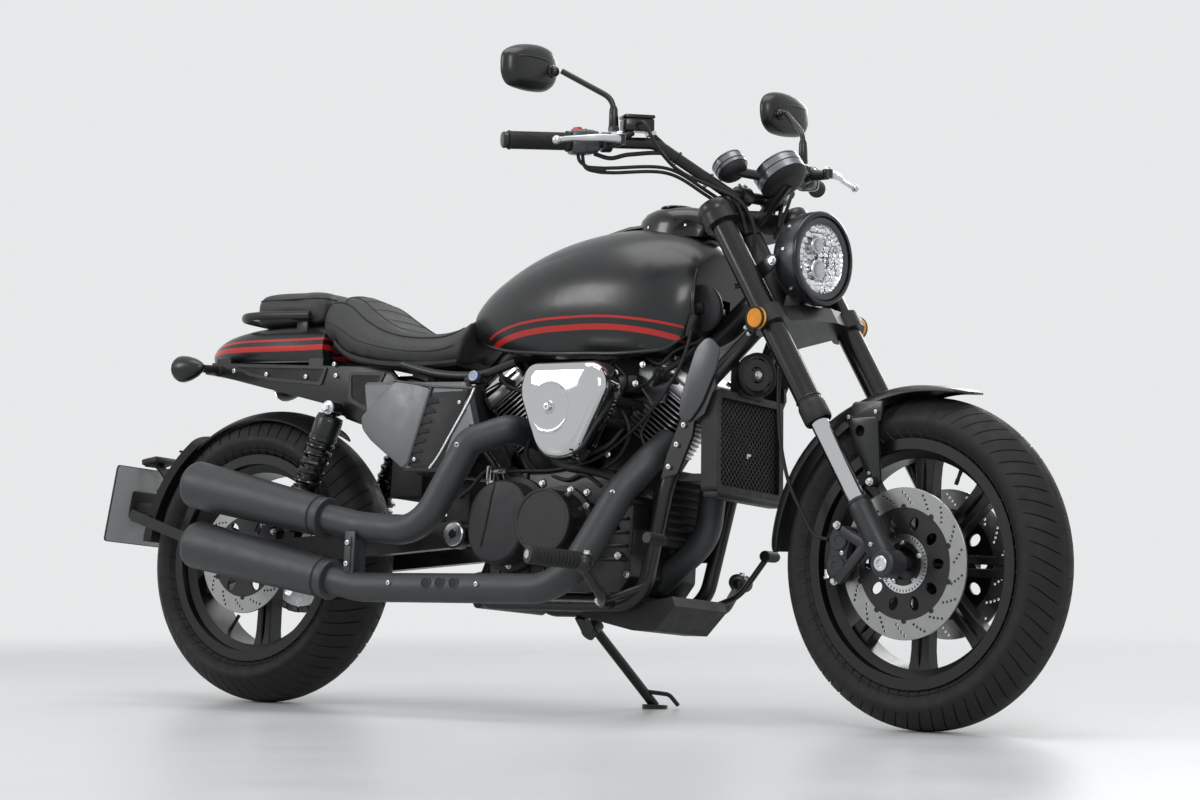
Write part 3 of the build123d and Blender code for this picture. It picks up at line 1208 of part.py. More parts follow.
# ================================================================ assembly
STEERING_NODES = {
    "fork_tubes": make_fork_tubes, "fork_stanchions": make_fork_stanchions,
    "fork_lowers": make_fork_lowers, "triple_clamps": make_triple_clamps,
    "fork_reflectors": make_fork_reflectors, "handlebar": make_handlebar,
    "hand_controls": make_hand_controls, "hand_levers": make_hand_levers,
    "mirrors": make_mirrors, "headlight_shell": make_headlight_shell,
    "headlight_lens": make_headlight_lens, "gauges": make_gauges,
    "front_fender": make_front_fender, "front_calipers": make_front_calipers,
    "brake_hose": make_brake_hose}
FRONT_WHEEL_NODES = {
    "front_tyre": make_front_tyre, "front_rim": make_front_rim, "front_discs": make_front_discs}
REAR_WHEEL_NODES = {
    "rear_tyre": make_rear_tyre, "rear_rim": make_rear_rim, "rear_disc": make_rear_disc,
    "rear_sprocket": make_rear_sprocket}
STAND_NODES = {"side_stand": make_side_stand}
CHASSIS_NODES = {
    "main_frame": lambda: make_main_frame() + make_stand_lug(),
    "crankcase": make_crankcase, "engine_covers": make_engine_covers,
    "cylinders": make_cylinders, "air_cleaner": make_air_cleaner,
    "exhaust_pipes": make_exhaust_pipes, "mufflers": make_mufflers,
    "fuel_tank": make_fuel_tank, "tank_console": make_tank_console,
    "rider_seat": make_rider_seat, "pillion_pad": make_pillion_pad,
    "tail_cowl": make_tail_cowl, "grab_rail": make_grab_rail,
    "tail_side_plates": make_tail_side_plates, "side_covers": make_side_covers,
    "rear_lamps": make_rear_lamps, "swingarm": make_swingarm,
    "rear_shocks": make_rear_shocks, "rear_mudguard": make_rear_mudguard,
    "plate_holder": make_plate_holder, "rear_caliper": make_rear_caliper,
    "drive_chain": make_drive_chain, "radiator": make_radiator,
    "belly_pan": make_belly_pan, "foot_controls": make_foot_controls}


def as_solids(made):
    shapes = made if isinstance(made, list) else [made]
    return [solid for shape in shapes for solid in shape.solids()]


def place(shape, turns):
    if turns:
        shape = shape.rotate(STEER_AXIS, STEER_ANGLE)
    return shape.rotate(Axis.X, -LEAN_ANGLE).rotate(Axis.Y, PITCH)


def build():
    """Every node's solids, standing on the floor round the final origin."""
    nodes = {}
    for table, turns in ((CHASSIS_NODES, False), (STEERING_NODES, True),
                         (FRONT_WHEEL_NODES, True), (REAR_WHEEL_NODES, False),
                         (STAND_NODES, False)):
        for name, make in table.items():
            nodes[name] = [place(solid, turns) for solid in as_solids(make())]
    whole = Compound(children=[solid for solids in nodes.values() for solid in solids])
    box = whole.bounding_box()
    shift = Vector(-(box.min.X + box.max.X) / 2, -(box.min.Y + box.max.Y) / 2, -box.min.Z)
    placed = {name: [solid.moved(Location(shift)) for solid in solids]
              for name, solids in nodes.items()}
    return placed, shift


def main():
    os.makedirs("parts", exist_ok=True)
    nodes, shift = build()
    for name, solids in nodes.items():
        export_step(Compound(label=name, children=solids), f"parts/{name}.step")
    return nodes, shift


if __name__ == "__main__":
    main()
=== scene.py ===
import json
from math import acos, atan2, cos, degrees, hypot, pi, radians, sin, sqrt

import bmesh
import bpy
from mathutils import Matrix, Vector
from mathutils.bvhtree import BVHTree


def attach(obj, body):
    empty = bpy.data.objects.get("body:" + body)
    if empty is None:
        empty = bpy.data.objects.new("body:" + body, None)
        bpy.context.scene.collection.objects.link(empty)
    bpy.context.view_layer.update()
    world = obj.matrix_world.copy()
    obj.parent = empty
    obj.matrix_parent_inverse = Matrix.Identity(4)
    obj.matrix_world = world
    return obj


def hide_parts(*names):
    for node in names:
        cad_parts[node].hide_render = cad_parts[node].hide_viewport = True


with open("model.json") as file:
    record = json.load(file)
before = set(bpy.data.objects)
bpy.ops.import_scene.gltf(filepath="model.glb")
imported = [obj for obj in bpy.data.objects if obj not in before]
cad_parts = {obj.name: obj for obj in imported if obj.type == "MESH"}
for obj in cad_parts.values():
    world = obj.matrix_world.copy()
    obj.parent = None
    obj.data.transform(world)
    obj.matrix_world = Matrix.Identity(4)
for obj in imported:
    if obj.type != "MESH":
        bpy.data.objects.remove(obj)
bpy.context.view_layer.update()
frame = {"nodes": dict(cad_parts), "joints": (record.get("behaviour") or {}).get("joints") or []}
nodes = frame["nodes"]
joints = {joint["name"]: joint for joint in frame["joints"]}

# Every piece is drawn on the upright bike with the steering straight, in millimetres:
# X forward from the rear axle, Y to the rider's left, Z up from the road.

# ------------------------------------------------------------------ sizes
RAKE = 31.4
STEER_ANGLE = -8.0
REAR_AXLE = (0.0, 301.0)
FRONT_AXLE = (1586.0, 304.0)
FORK_OFFSET = 40.0
FORK_HALF = 115.0


# ------------------------------------------------------------------ placing
def triad(first, second):
    """Columns of a right-handed frame from two directions."""
    third = first.cross(second).normalized()
    return Matrix((first, third.cross(first), third)).transposed()


steer = joints["steering_turn"]
steer_up = Vector((-sin(radians(RAKE)), 0, cos(radians(RAKE))))
steer_ahead = Vector((cos(radians(RAKE)), 0, sin(radians(RAKE))))
TURN = (triad(Vector(joints["rear_wheel_spin"]["axis"]), Vector(steer["axis"]))
        @ triad(Vector((0, 1, 0)), steer_up).inverted()).to_4x4()
rear_axle_at = Vector(joints["rear_wheel_spin"]["pos_m"])
BIKE = (Matrix.Translation(rear_axle_at) @ TURN @ Matrix.Scale(0.001, 4)
        @ Matrix.Translation((-REAR_AXLE[0], 0, -REAR_AXLE[1])))
ROAD = rear_axle_at - TURN @ Vector((0, 0, REAR_AXLE[1] / 1000))
steer_at = Matrix.Translation(Vector(steer["pos_m"]))
FORK = (steer_at @ Matrix.Rotation(radians(STEER_ANGLE), 4, Vector(steer["axis"]))
        @ steer_at.inverted() @ BIKE)
PLACE = {"chassis": BIKE, "rear_wheel": BIKE, "side_stand": BIKE,
         "steering": FORK, "front_wheel": FORK}
steer_base = Vector((FRONT_AXLE[0], 0, FRONT_AXLE[1])) - steer_ahead * FORK_OFFSET


def at_fork(n, y, s):
    """n ahead of the steering axis, y to the left, s up along the axis."""
    return steer_base + steer_ahead * n + Vector((0, y, 0)) + steer_up * s


def vec(*numbers):
    return Vector(numbers)


SIDES = ((-1, "right"), (1, "left"))
FRONT_HUB = vec(FRONT_AXLE[0], 0, FRONT_AXLE[1])
REAR_HUB = vec(REAR_AXLE[0], 0, REAR_AXLE[1])


# ------------------------------------------------------------------ materials
def new_material(name):
    """A material with nodes, and its main shader."""
    mat = bpy.data.materials.new(name)
    mat.use_nodes = True
    return mat, mat.node_tree.nodes["Principled BSDF"]


def node(mat, kind, where=None, **settings):
    """A shader node; where gives its inputs as values or as other sockets."""
    made = mat.node_tree.nodes.new("ShaderNode" + kind)
    for name, value in settings.items():
        setattr(made, name, value)
    for name, value in (where or {}).items():
        if isinstance(value, bpy.types.NodeSocket):
            mat.node_tree.links.new(value, made.inputs[name])
        else:
            made.inputs[name].default_value = value
    return made


def place_coords(mat):
    """Coordinates that stay with a piece, in metres."""
    return node(mat, "TexCoord").outputs["Object"]


def maths(mat, operation, one, two=None):
    """The outcome of a shader sum of one or two values or sockets."""
    where = {0: one} if two is None else {0: one, 1: two}
    return node(mat, "Math", where, operation=operation).outputs[0]


def noise(mat, scale, detail=3.0, rough=0.5):
    """A cloudy value of about 0.3 to 0.7."""
    made = node(mat, "TexNoise", {"Vector": place_coords(mat), "Scale": scale, "Detail": detail,
                                  "Roughness": rough})
    return made.outputs["Fac"]


def band(mat, value, low, high, out_low, out_high):
    """A value carried from one range into another."""
    made = node(mat, "MapRange", {"Value": value, "From Min": low, "From Max": high,
                                  "To Min": out_low, "To Max": out_high})
    return made.outputs["Result"]


def bump(mat, height, strength, distance):
    """A surface normal raised by a height in metres."""
    made = node(mat, "Bump", {"Height": height, "Strength": strength, "Distance": distance})
    return made.outputs["Normal"]


def mix_colour(mat, factor, one, two):
    """A colour between two; each input is a value or a socket."""
    made = node(mat, "Mix", data_type="RGBA")
    for slot_index, value in ((0, factor), (6, one), (7, two)):
        if isinstance(value, bpy.types.NodeSocket):
            mat.node_tree.links.new(value, made.inputs[slot_index])
        else:
            made.inputs[slot_index].default_value = value
    return made.outputs[2]


def rgb(red, green, blue):
    return (red, green, blue, 1.0)


def shade(colour, factor):
    """A colour made lighter or darker by a factor."""
    return rgb(*(min(1.0, part * factor) for part in colour))


def wire(mat, socket, target):
    mat.node_tree.links.new(socket, target)


def plain_finish(name, colour, rough, metal=0.0, grain=0.0, grain_scale=900.0, spread=0.06,
                 tint=0.12, coat=0.0, coat_rough=0.1, cloud=14.0, specular=0.5):
    """A finish with cloudy roughness and colour, and a fine grain in its surface."""
    mat, shader = new_material(name)
    cloudy = noise(mat, cloud, 4.0)
    wire(mat, mix_colour(mat, cloudy, shade(colour, 1 - tint), shade(colour, 1 + tint)),
         shader.inputs["Base Color"])
    wire(mat, band(mat, noise(mat, cloud * 3.1, 3.0), 0.3, 0.7, rough - spread, rough + spread),
         shader.inputs["Roughness"])
    shader.inputs["Metallic"].default_value = metal
    shader.inputs["Coat Weight"].default_value = coat
    shader.inputs["Coat Roughness"].default_value = coat_rough
    shader.inputs["Specular IOR Level"].default_value = specular
    if grain:
        wire(mat, bump(mat, noise(mat, grain_scale, 2.0), grain, 0.0006), shader.inputs["Normal"])
    return mat


RING_LINES = 2600.0


def brushed_finish(name, colour, rough, axis_at, across):
    """Metal with fine rings turned about an axle."""
    mat, shader = new_material(name)
    turned = node(mat, "Mapping", {"Vector": place_coords(mat)}, vector_type="TEXTURE")
    turned.inputs["Location"].default_value = axis_at
    turned.inputs["Rotation"].default_value = across
    split = node(mat, "SeparateXYZ", {"Vector": turned.outputs[0]})
    x, z = split.outputs[0], split.outputs[2]
    radius = maths(mat, "SQRT", maths(mat, "ADD", maths(mat, "MULTIPLY", x, x),
                                      maths(mat, "MULTIPLY", z, z)))
    rings = node(mat, "TexNoise", {"W": maths(mat, "MULTIPLY", radius, RING_LINES), "Detail": 2.0},
                 noise_dimensions="1D")
    wire(mat, mix_colour(mat, band(mat, rings.outputs["Fac"], 0.35, 0.65, 0.0, 1.0),
                         shade(colour, 0.82), rgb(*colour)),
         shader.inputs["Base Color"])
    wire(mat, band(mat, noise(mat, 60.0), 0.3, 0.7, rough - 0.06, rough + 0.08),
         shader.inputs["Roughness"])
    wire(mat, bump(mat, rings.outputs["Fac"], 0.12, 0.0002), shader.inputs["Normal"])
    shader.inputs["Metallic"].default_value = 1.0
    return mat


STRIPE_EDGE = 0.0004       # how softly a stripe ends, in metres
CURVE_MARGIN = 20          # height left over and under a stripe's curve


def stripe_cover(mat, x, z, line, half):
    """One where a stripe lies: it follows rows of (x, z) on the bike, half its width each way."""
    (x_low, _), (x_high, _) = line[0], line[-1]
    start, end = x_low / 1000, x_high / 1000
    curve = node(mat, "FloatCurve", {"Value": band(mat, x, start, end, 0, 1)})
    heights = [point[1] for point in line]
    z_low, z_high = min(heights) - CURVE_MARGIN, max(heights) + CURVE_MARGIN
    points = curve.mapping.curves[0].points
    while len(points) < len(line):
        points.new(0.5, 0.5)
    for point, (px, pz) in zip(points, line):
        point.location = ((px - x_low) / (x_high - x_low), (pz - z_low) / (z_high - z_low))
    curve.mapping.update()
    height = band(mat, curve.outputs[0], 0, 1, z_low / 1000, z_high / 1000)
    off = maths(mat, "ABSOLUTE", maths(mat, "SUBTRACT", z, height))
    here = band(mat, off, half / 1000 - STRIPE_EDGE, half / 1000 + STRIPE_EDGE, 1.0, 0.0)
    for low, high, before, after in ((start - STRIPE_EDGE, start, 0.0, 1.0),
                                     (end, end + STRIPE_EDGE, 1.0, 0.0)):
        here = maths(mat, "MULTIPLY", here, band(mat, x, low, high, before, after))
    return here


def striped_paint(name, stripes, colour, rough):
    """Satin paint with red stripes."""
    mat, shader = new_material(name)
    back = BIKE.inverted()
    on_bike = node(mat, "Mapping", {"Vector": place_coords(mat), "Location": back.translation * 0.001,
                                    "Rotation": back.to_3x3().normalized().to_euler()})
    split = node(mat, "SeparateXYZ", {"Vector": on_bike.outputs[0]})
    covers = [stripe_cover(mat, split.outputs[0], split.outputs[2], *stripe) for stripe in stripes]
    paint = mix_colour(mat, noise(mat, 9.0, 3.0), shade(colour, 0.9), shade(colour, 1.1))
    red = mix_colour(mat, noise(mat, 40.0), rgb(0.44, 0.012, 0.01), rgb(0.5, 0.018, 0.014))
    wire(mat, mix_colour(mat, maths(mat, "MAXIMUM", *covers), paint, red), shader.inputs["Base Color"])
    wire(mat, band(mat, noise(mat, 30.0), 0.3, 0.7, rough - 0.03, rough + 0.04),
         shader.inputs["Roughness"])
    wire(mat, bump(mat, noise(mat, 1800.0, 1.0), 0.04, 0.0002), shader.inputs["Normal"])
    shader.inputs["Coat Weight"].default_value = 0.15
    shader.inputs["Coat Roughness"].default_value = 0.18
    shader.inputs["Specular IOR Level"].default_value = 0.4
    return mat


def leather_finish(name, colour):
    """Seat cover with fine creased cells and soft patches."""
    mat, shader = new_material(name)
    cells = node(mat, "TexVoronoi", {"Vector": place_coords(mat), "Scale": 620.0, "Randomness": 0.9},
                 feature="DISTANCE_TO_EDGE")
    creases = band(mat, cells.outputs["Distance"], 0.0, 0.12, 0.0, 1.0)
    soft = noise(mat, 45.0, 5.0, 0.6)
    total = maths(mat, "ADD", creases, band(mat, soft, 0.3, 0.7, 0.0, 0.8))
    wire(mat, bump(mat, total, 0.35, 0.0005), shader.inputs["Normal"])
    wire(mat, mix_colour(mat, soft, shade(colour, 0.8), shade(colour, 1.25)),
         shader.inputs["Base Color"])
    wire(mat, band(mat, soft, 0.3, 0.7, 0.4, 0.52), shader.inputs["Roughness"])
    return mat


BLACK = (0.0085, 0.009, 0.010)
FINISHES = {
    "satin_paint": dict(colour=BLACK, rough=0.32, coat=0.12, coat_rough=0.22, tint=0.06, grain=0.03,
                        grain_scale=1800.0, spread=0.03, specular=0.4),
    "lamp_blue": dict(colour=(0.022, 0.024, 0.029), rough=0.34, coat=0.3, coat_rough=0.2, tint=0.06,
                      spread=0.03),
    "gloss_black": dict(colour=(0.005, 0.005, 0.006), rough=0.24, coat=0.25, coat_rough=0.06,
                        specular=0.35, tint=0.05, spread=0.03),
    "frame_black": dict(colour=(0.010, 0.010, 0.011), rough=0.36, coat=0.1, coat_rough=0.25,
                        grain=0.1, grain_scale=1300.0, specular=0.35),
    "tyre_rubber": dict(colour=(0.012, 0.0118, 0.0112), rough=0.66, grain=0.3, grain_scale=1500.0,
                        spread=0.08, tint=0.25, specular=0.3),
    "rim_black": dict(colour=(0.005, 0.005, 0.0055), rough=0.34, coat=0.08, coat_rough=0.15,
                      spread=0.03, specular=0.35),
    "cast_grey": dict(colour=(0.028, 0.029, 0.032), rough=0.42, metal=0.4, grain=0.3,
                      grain_scale=1100.0),
    "machined": dict(colour=(0.56, 0.57, 0.58), rough=0.3, metal=1.0, grain=0.08,
                     grain_scale=2200.0),
    "chrome": dict(colour=(0.55, 0.556, 0.56), rough=0.045, metal=1.0, spread=0.02, tint=0.03),
    "engine_black": dict(colour=(0.008, 0.008, 0.0085), rough=0.42, grain=0.4, specular=0.35,
                         grain_scale=900.0, coat=0.1),
    "fin_edge": dict(colour=(0.42, 0.42, 0.43), rough=0.34, metal=0.9, grain=0.15),
    "exhaust_grey": dict(colour=(0.038, 0.041, 0.045), rough=0.45, grain=0.4, grain_scale=1700.0,
                         spread=0.06, tint=0.1, metal=0.25),
    "rubber": dict(colour=(0.009, 0.009, 0.009), rough=0.6, specular=0.35, grain=0.3,
                   grain_scale=900.0),
    "moulded": dict(colour=(0.010, 0.010, 0.0105), rough=0.5, specular=0.35, grain=0.5,
                    grain_scale=1200.0),
    "grey_panel": dict(colour=(0.13, 0.135, 0.14), rough=0.42, metal=0.55, grain=0.15,
                       grain_scale=1400.0),
    "chain_steel": dict(colour=(0.16, 0.155, 0.145), rough=0.4, metal=0.9, tint=0.3, grain=0.3),
    "amber": dict(colour=(0.85, 0.34, 0.012), rough=0.2, coat=0.6, coat_rough=0.05, tint=0.2,
                  cloud=60.0),
    "plate": dict(colour=(0.32, 0.335, 0.335), rough=0.35, coat=0.4, tint=0.04),
    # near-black for dark seams, panel teeth and radiator fins, and also used as painted shade in holes,
    # recesses and inside the engine
    "dark_and_painted_shade": dict(colour=(0.004, 0.004, 0.004), rough=0.7),
    "cover_grey": dict(colour=(0.016, 0.0165, 0.018), rough=0.5, specular=0.35, grain=0.4,
                       grain_scale=1500.0, tint=0.12),
    "head_silver": dict(colour=(0.4, 0.4, 0.41), rough=0.32, metal=0.95, grain=0.15),
    "cap_grey": dict(colour=(0.045, 0.048, 0.054), rough=0.38, metal=0.4, coat=0.3, coat_rough=0.2),
    "gauge_metal": dict(colour=(0.2, 0.205, 0.22), rough=0.28, metal=0.9),
    "dial": dict(colour=(0.012, 0.012, 0.014), rough=0.3, coat=1.0, coat_rough=0.02),
    "dial_white": dict(colour=(0.75, 0.75, 0.75), rough=0.5),
    "red_cap": dict(colour=(0.6, 0.02, 0.015), rough=0.35, coat=0.4),
    "blue_cap": dict(colour=(0.012, 0.06, 0.25), rough=0.3, coat=0.6),
    "mirror_glass": dict(colour=(0.9, 0.9, 0.9), rough=0.015, metal=1.0, spread=0.005, tint=0.02),
    "reflector": dict(colour=(0.86, 0.86, 0.87), rough=0.07, metal=1.0, spread=0.03)}
M = {name: plain_finish(name, **look) for name, look in FINISHES.items()}
M["seat_cover"] = leather_finish("seat_cover", (0.013, 0.0135, 0.0145))


def glass_finish(name, colour, rough):
    """Clear or smoked lens material."""
    mat, shader = new_material(name)
    shader.inputs["Base Color"].default_value = colour
    shader.inputs["Transmission Weight"].default_value = 1.0
    shader.inputs["IOR"].default_value = 1.2
    wire(mat, band(mat, noise(mat, 40.0), 0.3, 0.7, rough, rough + 0.02), shader.inputs["Roughness"])
    return mat


M["lens_glass"] = glass_finish("lens_glass", (0.96, 0.97, 0.98, 1), 0.0)
M["clear_lens"] = glass_finish("clear_lens", (0.97, 0.97, 0.97, 1), 0.02)
M["smoke_lens"] = glass_finish("smoke_lens", (0.62, 0.6, 0.58, 1), 0.06)
for disc_name, whole_place, disc_hub in (("disc_front", FORK, FRONT_HUB), ("disc_rear", BIKE, REAR_HUB)):
    M[disc_name] = brushed_finish(disc_name, (0.33, 0.33, 0.33), 0.36, whole_place @ disc_hub,
                                  whole_place.to_3x3().normalized().to_euler())
TANK_STRIPES = [
    ([(616, 739), (690, 757), (770, 765), (850, 767), (929, 766), (1020, 757), (1094, 744)], 2.4),
    ([(616, 719), (690, 737), (770, 745), (850, 747), (930, 746), (1010, 738), (1085, 722)], 5.6)]
COWL_STRIPES = [([(-160, 753), (-80, 757), (60, 757), (192, 756)], 2.4),
                ([(-170, 741), (-80, 741), (60, 739), (192, 738)], 5.6)]
M["tank_paint"] = striped_paint("tank_paint", TANK_STRIPES, BLACK, 0.3)
M["cowl_paint"] = striped_paint("cowl_paint", COWL_STRIPES, BLACK, 0.3)

NODE_FINISH = {
    "fork_tubes": "gloss_black", "fork_stanchions": "chrome", "fork_lowers": "cast_grey",
    "triple_clamps": "frame_black", "fork_reflectors": "amber", "handlebar": "frame_black",
    "hand_controls": "rubber", "hand_levers": "machined", "mirrors": "satin_paint",
    "headlight_shell": "satin_paint", "headlight_lens": "lens_glass", "gauges": "moulded",
    "front_fender": "satin_paint", "front_calipers": "cast_grey", "brake_hose": "rubber",
    "front_tyre": "tyre_rubber", "front_rim": "rim_black", "front_discs": "disc_front",
    "rear_tyre": "tyre_rubber", "rear_rim": "rim_black", "rear_disc": "disc_rear",
    "rear_sprocket": "machined", "side_stand": "frame_black", "main_frame": "frame_black",
    "crankcase": "engine_black", "engine_covers": "engine_black", "cylinders": "engine_black",
    "air_cleaner": "chrome", "exhaust_pipes": "exhaust_grey", "mufflers": "exhaust_grey",
    "fuel_tank": "tank_paint", "tank_console": "gloss_black", "rider_seat": "seat_cover",
    "pillion_pad": "seat_cover", "tail_cowl": "cowl_paint", "grab_rail": "frame_black",
    "tail_side_plates": "satin_paint", "side_covers": "grey_panel", "rear_lamps": "gloss_black",
    "swingarm": "frame_black", "rear_shocks": "gloss_black", "rear_mudguard": "moulded",
    "plate_holder": "plate", "rear_caliper": "cast_grey", "drive_chain": "chain_steel",
    "radiator": "moulded", "belly_pan": "moulded", "foot_controls": "frame_black"}
for name, finish in NODE_FINISH.items():
    nodes[name].data.materials.clear()
    nodes[name].data.materials.append(M[finish])


# ------------------------------------------------------------------ shapes
X_AXIS, Y_AXIS, Z_AXIS = vec(1, 0, 0), vec(0, 1, 0), vec(0, 0, 1)
SIDE_VIEW = Matrix(((1, 0, 0, 0), (0, 0, 1, 0), (0, 1, 0, 0), (0, 0, 0, 1)))


def frame_at(origin, along, ahead=None):
    """A placing whose own Z points along."""
    up = Vector(along).normalized()
    hint = Vector(ahead) if ahead else (Z_AXIS if abs(up.z) < 0.9 else X_AXIS)
    first = (hint - up * hint.dot(up)).normalized()
    turn = Matrix((first, up.cross(first), up)).transposed().to_4x4()
    return Matrix.Translation(Vector(origin)) @ turn


def outward(shape):
    """The shape with all its faces turned outwards."""
    bmesh.ops.recalc_face_normals(shape, faces=shape.faces)
    return shape


def eased(points, radius, steps=4, closed=True):
    """The outline with its corners turned into short arcs."""
    corners = [Vector(point) for point in points]
    count = len(corners)
    made = []
    for index, corner in enumerate(corners):
        if not closed and index in (0, count - 1):
            made.append(corner)
            continue
        before = corners[index - 1] - corner
        after = corners[(index + 1) % count] - corner
        reach = min(radius, before.length * 0.46, after.length * 0.46)
        start = corner + before.normalized() * reach
        end = corner + after.normalized() * reach
        for step in range(steps + 1):
            t = step / steps
            made.append(start.lerp(corner, t).lerp(corner.lerp(end, t), t))
    return made


def smooth_line(points, steps=8):
    """A curve through every point."""
    rows = [Vector(point) for point in points]
    rows = [rows[0] * 2 - rows[1]] + rows + [rows[-1] * 2 - rows[-2]]
    made = []
    for before, start, end, after in zip(rows, rows[1:], rows[2:], rows[3:]):
        for step in range(steps):
            t = step / steps
            made.append(0.5 * (start * 2 + (end - before) * t
                               + (before * 2 - start * 5 + end * 4 - after) * t * t
                               + (start * 3 - before - end * 3 + after) * t ** 3))
    return made + [rows[-2]]


def skin(rings, closed_round=False):
    """Faces between rings of equal length; the ends are closed unless the rings close."""
    shape = bmesh.new()
    rows = [[shape.verts.new(point) for point in ring] for ring in rings]
    pairs = list(zip(rows, rows[1:]))
    if closed_round:
        pairs.append((rows[-1], rows[0]))
    for low, high in pairs:
        for index in range(len(low)):
            after = (index + 1) % len(low)
            shape.faces.new((low[index], low[after], high[after], high[index]))
    if not closed_round:
        shape.faces.new(rows[0][::-1])
        shape.faces.new(rows[-1])
    return outward(shape)


def lathe(profile, origin, along, sides=48, ring=False):
    """A turned solid from rows of (height, radius) above its origin."""
    rings = [[vec(max(radius, 0.01) * cos(2 * pi * n / sides),
                  max(radius, 0.01) * sin(2 * pi * n / sides), height) for n in range(sides)]
             for height, radius in profile]
    shape = skin(rings, ring)
    shape.transform(frame_at(origin, along))
    return outward(shape)


def tube(points, radius, sides=14, squash=1.0):
    """A round bar along points; radius may be one for each point."""
    rows = [Vector(point) for point in points]
    radii = radius if isinstance(radius, (list, tuple)) else [radius] * len(rows)
    ways = [(after - before).normalized() for before, after in
            zip(rows[:1] + rows[:-1], rows[1:] + rows[-1:])]
    hint = Z_AXIS if abs(ways[0].z) < 0.9 else X_AXIS
    across = (hint - ways[0] * hint.dot(ways[0])).normalized()
    rings = []
    for centre, way, reach in zip(rows, ways, radii):
        across = (across - way * across.dot(way)).normalized()
        other = way.cross(across)
        rings.append([centre + across * reach * cos(2 * pi * n / sides)
                      + other * reach * squash * sin(2 * pi * n / sides) for n in range(sides)])
    return skin(rings)


def slab(outline, low, high, edge=0.8, place=SIDE_VIEW, steps=2):
    """A plate of an outline between two levels, its rims eased."""
    shape = bmesh.new()
    foot = [shape.verts.new((point[0], point[1], low)) for point in outline]
    face = shape.faces.new(foot)
    grown = bmesh.ops.extrude_face_region(shape, geom=[face])
    raised = [item for item in grown["geom"] if isinstance(item, bmesh.types.BMVert)]
    bmesh.ops.translate(shape, verts=raised, vec=(0, 0, high - low))
    outward(shape)
    if edge:
        rims = [item for item in shape.edges if item.verts[0].co.z == item.verts[1].co.z]
        bmesh.ops.bevel(shape, geom=rims, offset=edge, segments=steps, profile=0.5,
                        affect="EDGES", clamp_overlap=True)
    shape.transform(place)
    return outward(shape)


def brick(centre, size, edge=1.0, turn=None):
    """A block with eased edges; turn is a placing without a shift."""
    shape = bmesh.new()
    bmesh.ops.create_cube(shape, size=1.0)
    bmesh.ops.scale(shape, vec=size, verts=shape.verts)
    bmesh.ops.bevel(shape, geom=list(shape.edges), offset=edge, segments=2, profile=0.5,
                    affect="EDGES", clamp_overlap=True)
    shape.transform(Matrix.Translation(Vector(centre)) @ (turn or Matrix.Identity(4)))
    return outward(shape)


def ring_bar(origin, along, reach, radius, sides=48, thick=10):
    """A round bar bent into a circle."""
    profile = [(radius * sin(2 * pi * n / thick), reach + radius * cos(2 * pi * n / thick))
               for n in range(thick)]
    return lathe(profile, origin, along, sides, ring=True)


def joined(*shapes):
    """Several shapes as one."""
    first = shapes[0]
    for other in shapes[1:]:
        mesh = bpy.data.meshes.new("part")
        other.to_mesh(mesh)
        other.free()
        first.from_mesh(mesh)
        bpy.data.meshes.remove(mesh)
    return first


def flipped(points):
    """The same points on the other side of the bike."""
    return [vec(point.x, -point.y, point.z) for point in points]


def depths(side, near, far):
    """Two distances from the bike's middle, on one side of it, as rising levels."""
    return sorted((side * near, side * far))


def angles_round(count, shift=0.0):
    """Even steps of a full turn."""
    return [2 * pi * (number + shift) / count for number in range(count)]


def polar(reach, angle, y=0.0):
    """A point round the Y axis; the angle runs from X towards Z."""
    return vec(reach * cos(angle), y, reach * sin(angle))


def mirrored(shape):
    """The same shape on the other side of the bike."""
    twin = shape.copy()
    twin.transform(Matrix.Scale(-1, 4, Y_AXIS))
    bmesh.ops.reverse_faces(twin, faces=twin.faces)
    return twin


def both(shape):
    """The shape together with its twin on the other side."""
    return joined(shape, mirrored(shape))


def loose_object(name, shape, finish=None):
    """A scene object of a shape; the shape goes."""
    mesh = bpy.data.meshes.new(name)
    shape.to_mesh(mesh)
    shape.free()
    obj = bpy.data.objects.new(name, mesh)
    bpy.context.scene.collection.objects.link(obj)
    if finish:
        mesh.materials.append(M[finish])
    return obj


def taken(obj):
    """The evaluated mesh of an object as a shape; the object goes."""
    bpy.context.view_layer.update()
    found = obj.evaluated_get(bpy.context.evaluated_depsgraph_get())
    mesh = bpy.data.meshes.new_from_object(found)
    shape = bmesh.new()
    shape.from_mesh(mesh)
    for layer in shape.faces:
        layer.material_index = 0
    bpy.data.objects.remove(obj)
    bpy.data.meshes.remove(mesh)
    return shape


def cut(shape, *cutters):
    """The shape with the cutters taken out of it."""
    target = loose_object("target", shape)
    tool = loose_object("cutter", joined(*cutters))
    step = target.modifiers.new("cut", "BOOLEAN")
    step.operation = "DIFFERENCE"
    step.solver = "EXACT"
    step.object = tool
    done = taken(target)
    bpy.data.objects.remove(tool)
    return done


def piece(name, body, finish, *shapes, replaces=(), crease=34.0):
    """Place shapes drawn on the upright bike with their body, as one finished piece."""
    whole = joined(*shapes)
    whole.transform(PLACE[body])
    bmesh.ops.recalc_face_normals(whole, faces=whole.faces)
    for face in whole.faces:
        face.smooth = True
    for side in whole.edges:
        if len(side.link_faces) == 2:
            side.smooth = side.calc_face_angle() < radians(crease)
    obj = loose_object(name, whole, finish)
    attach(obj, body)
    if replaces:
        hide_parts(*replaces)
    return obj


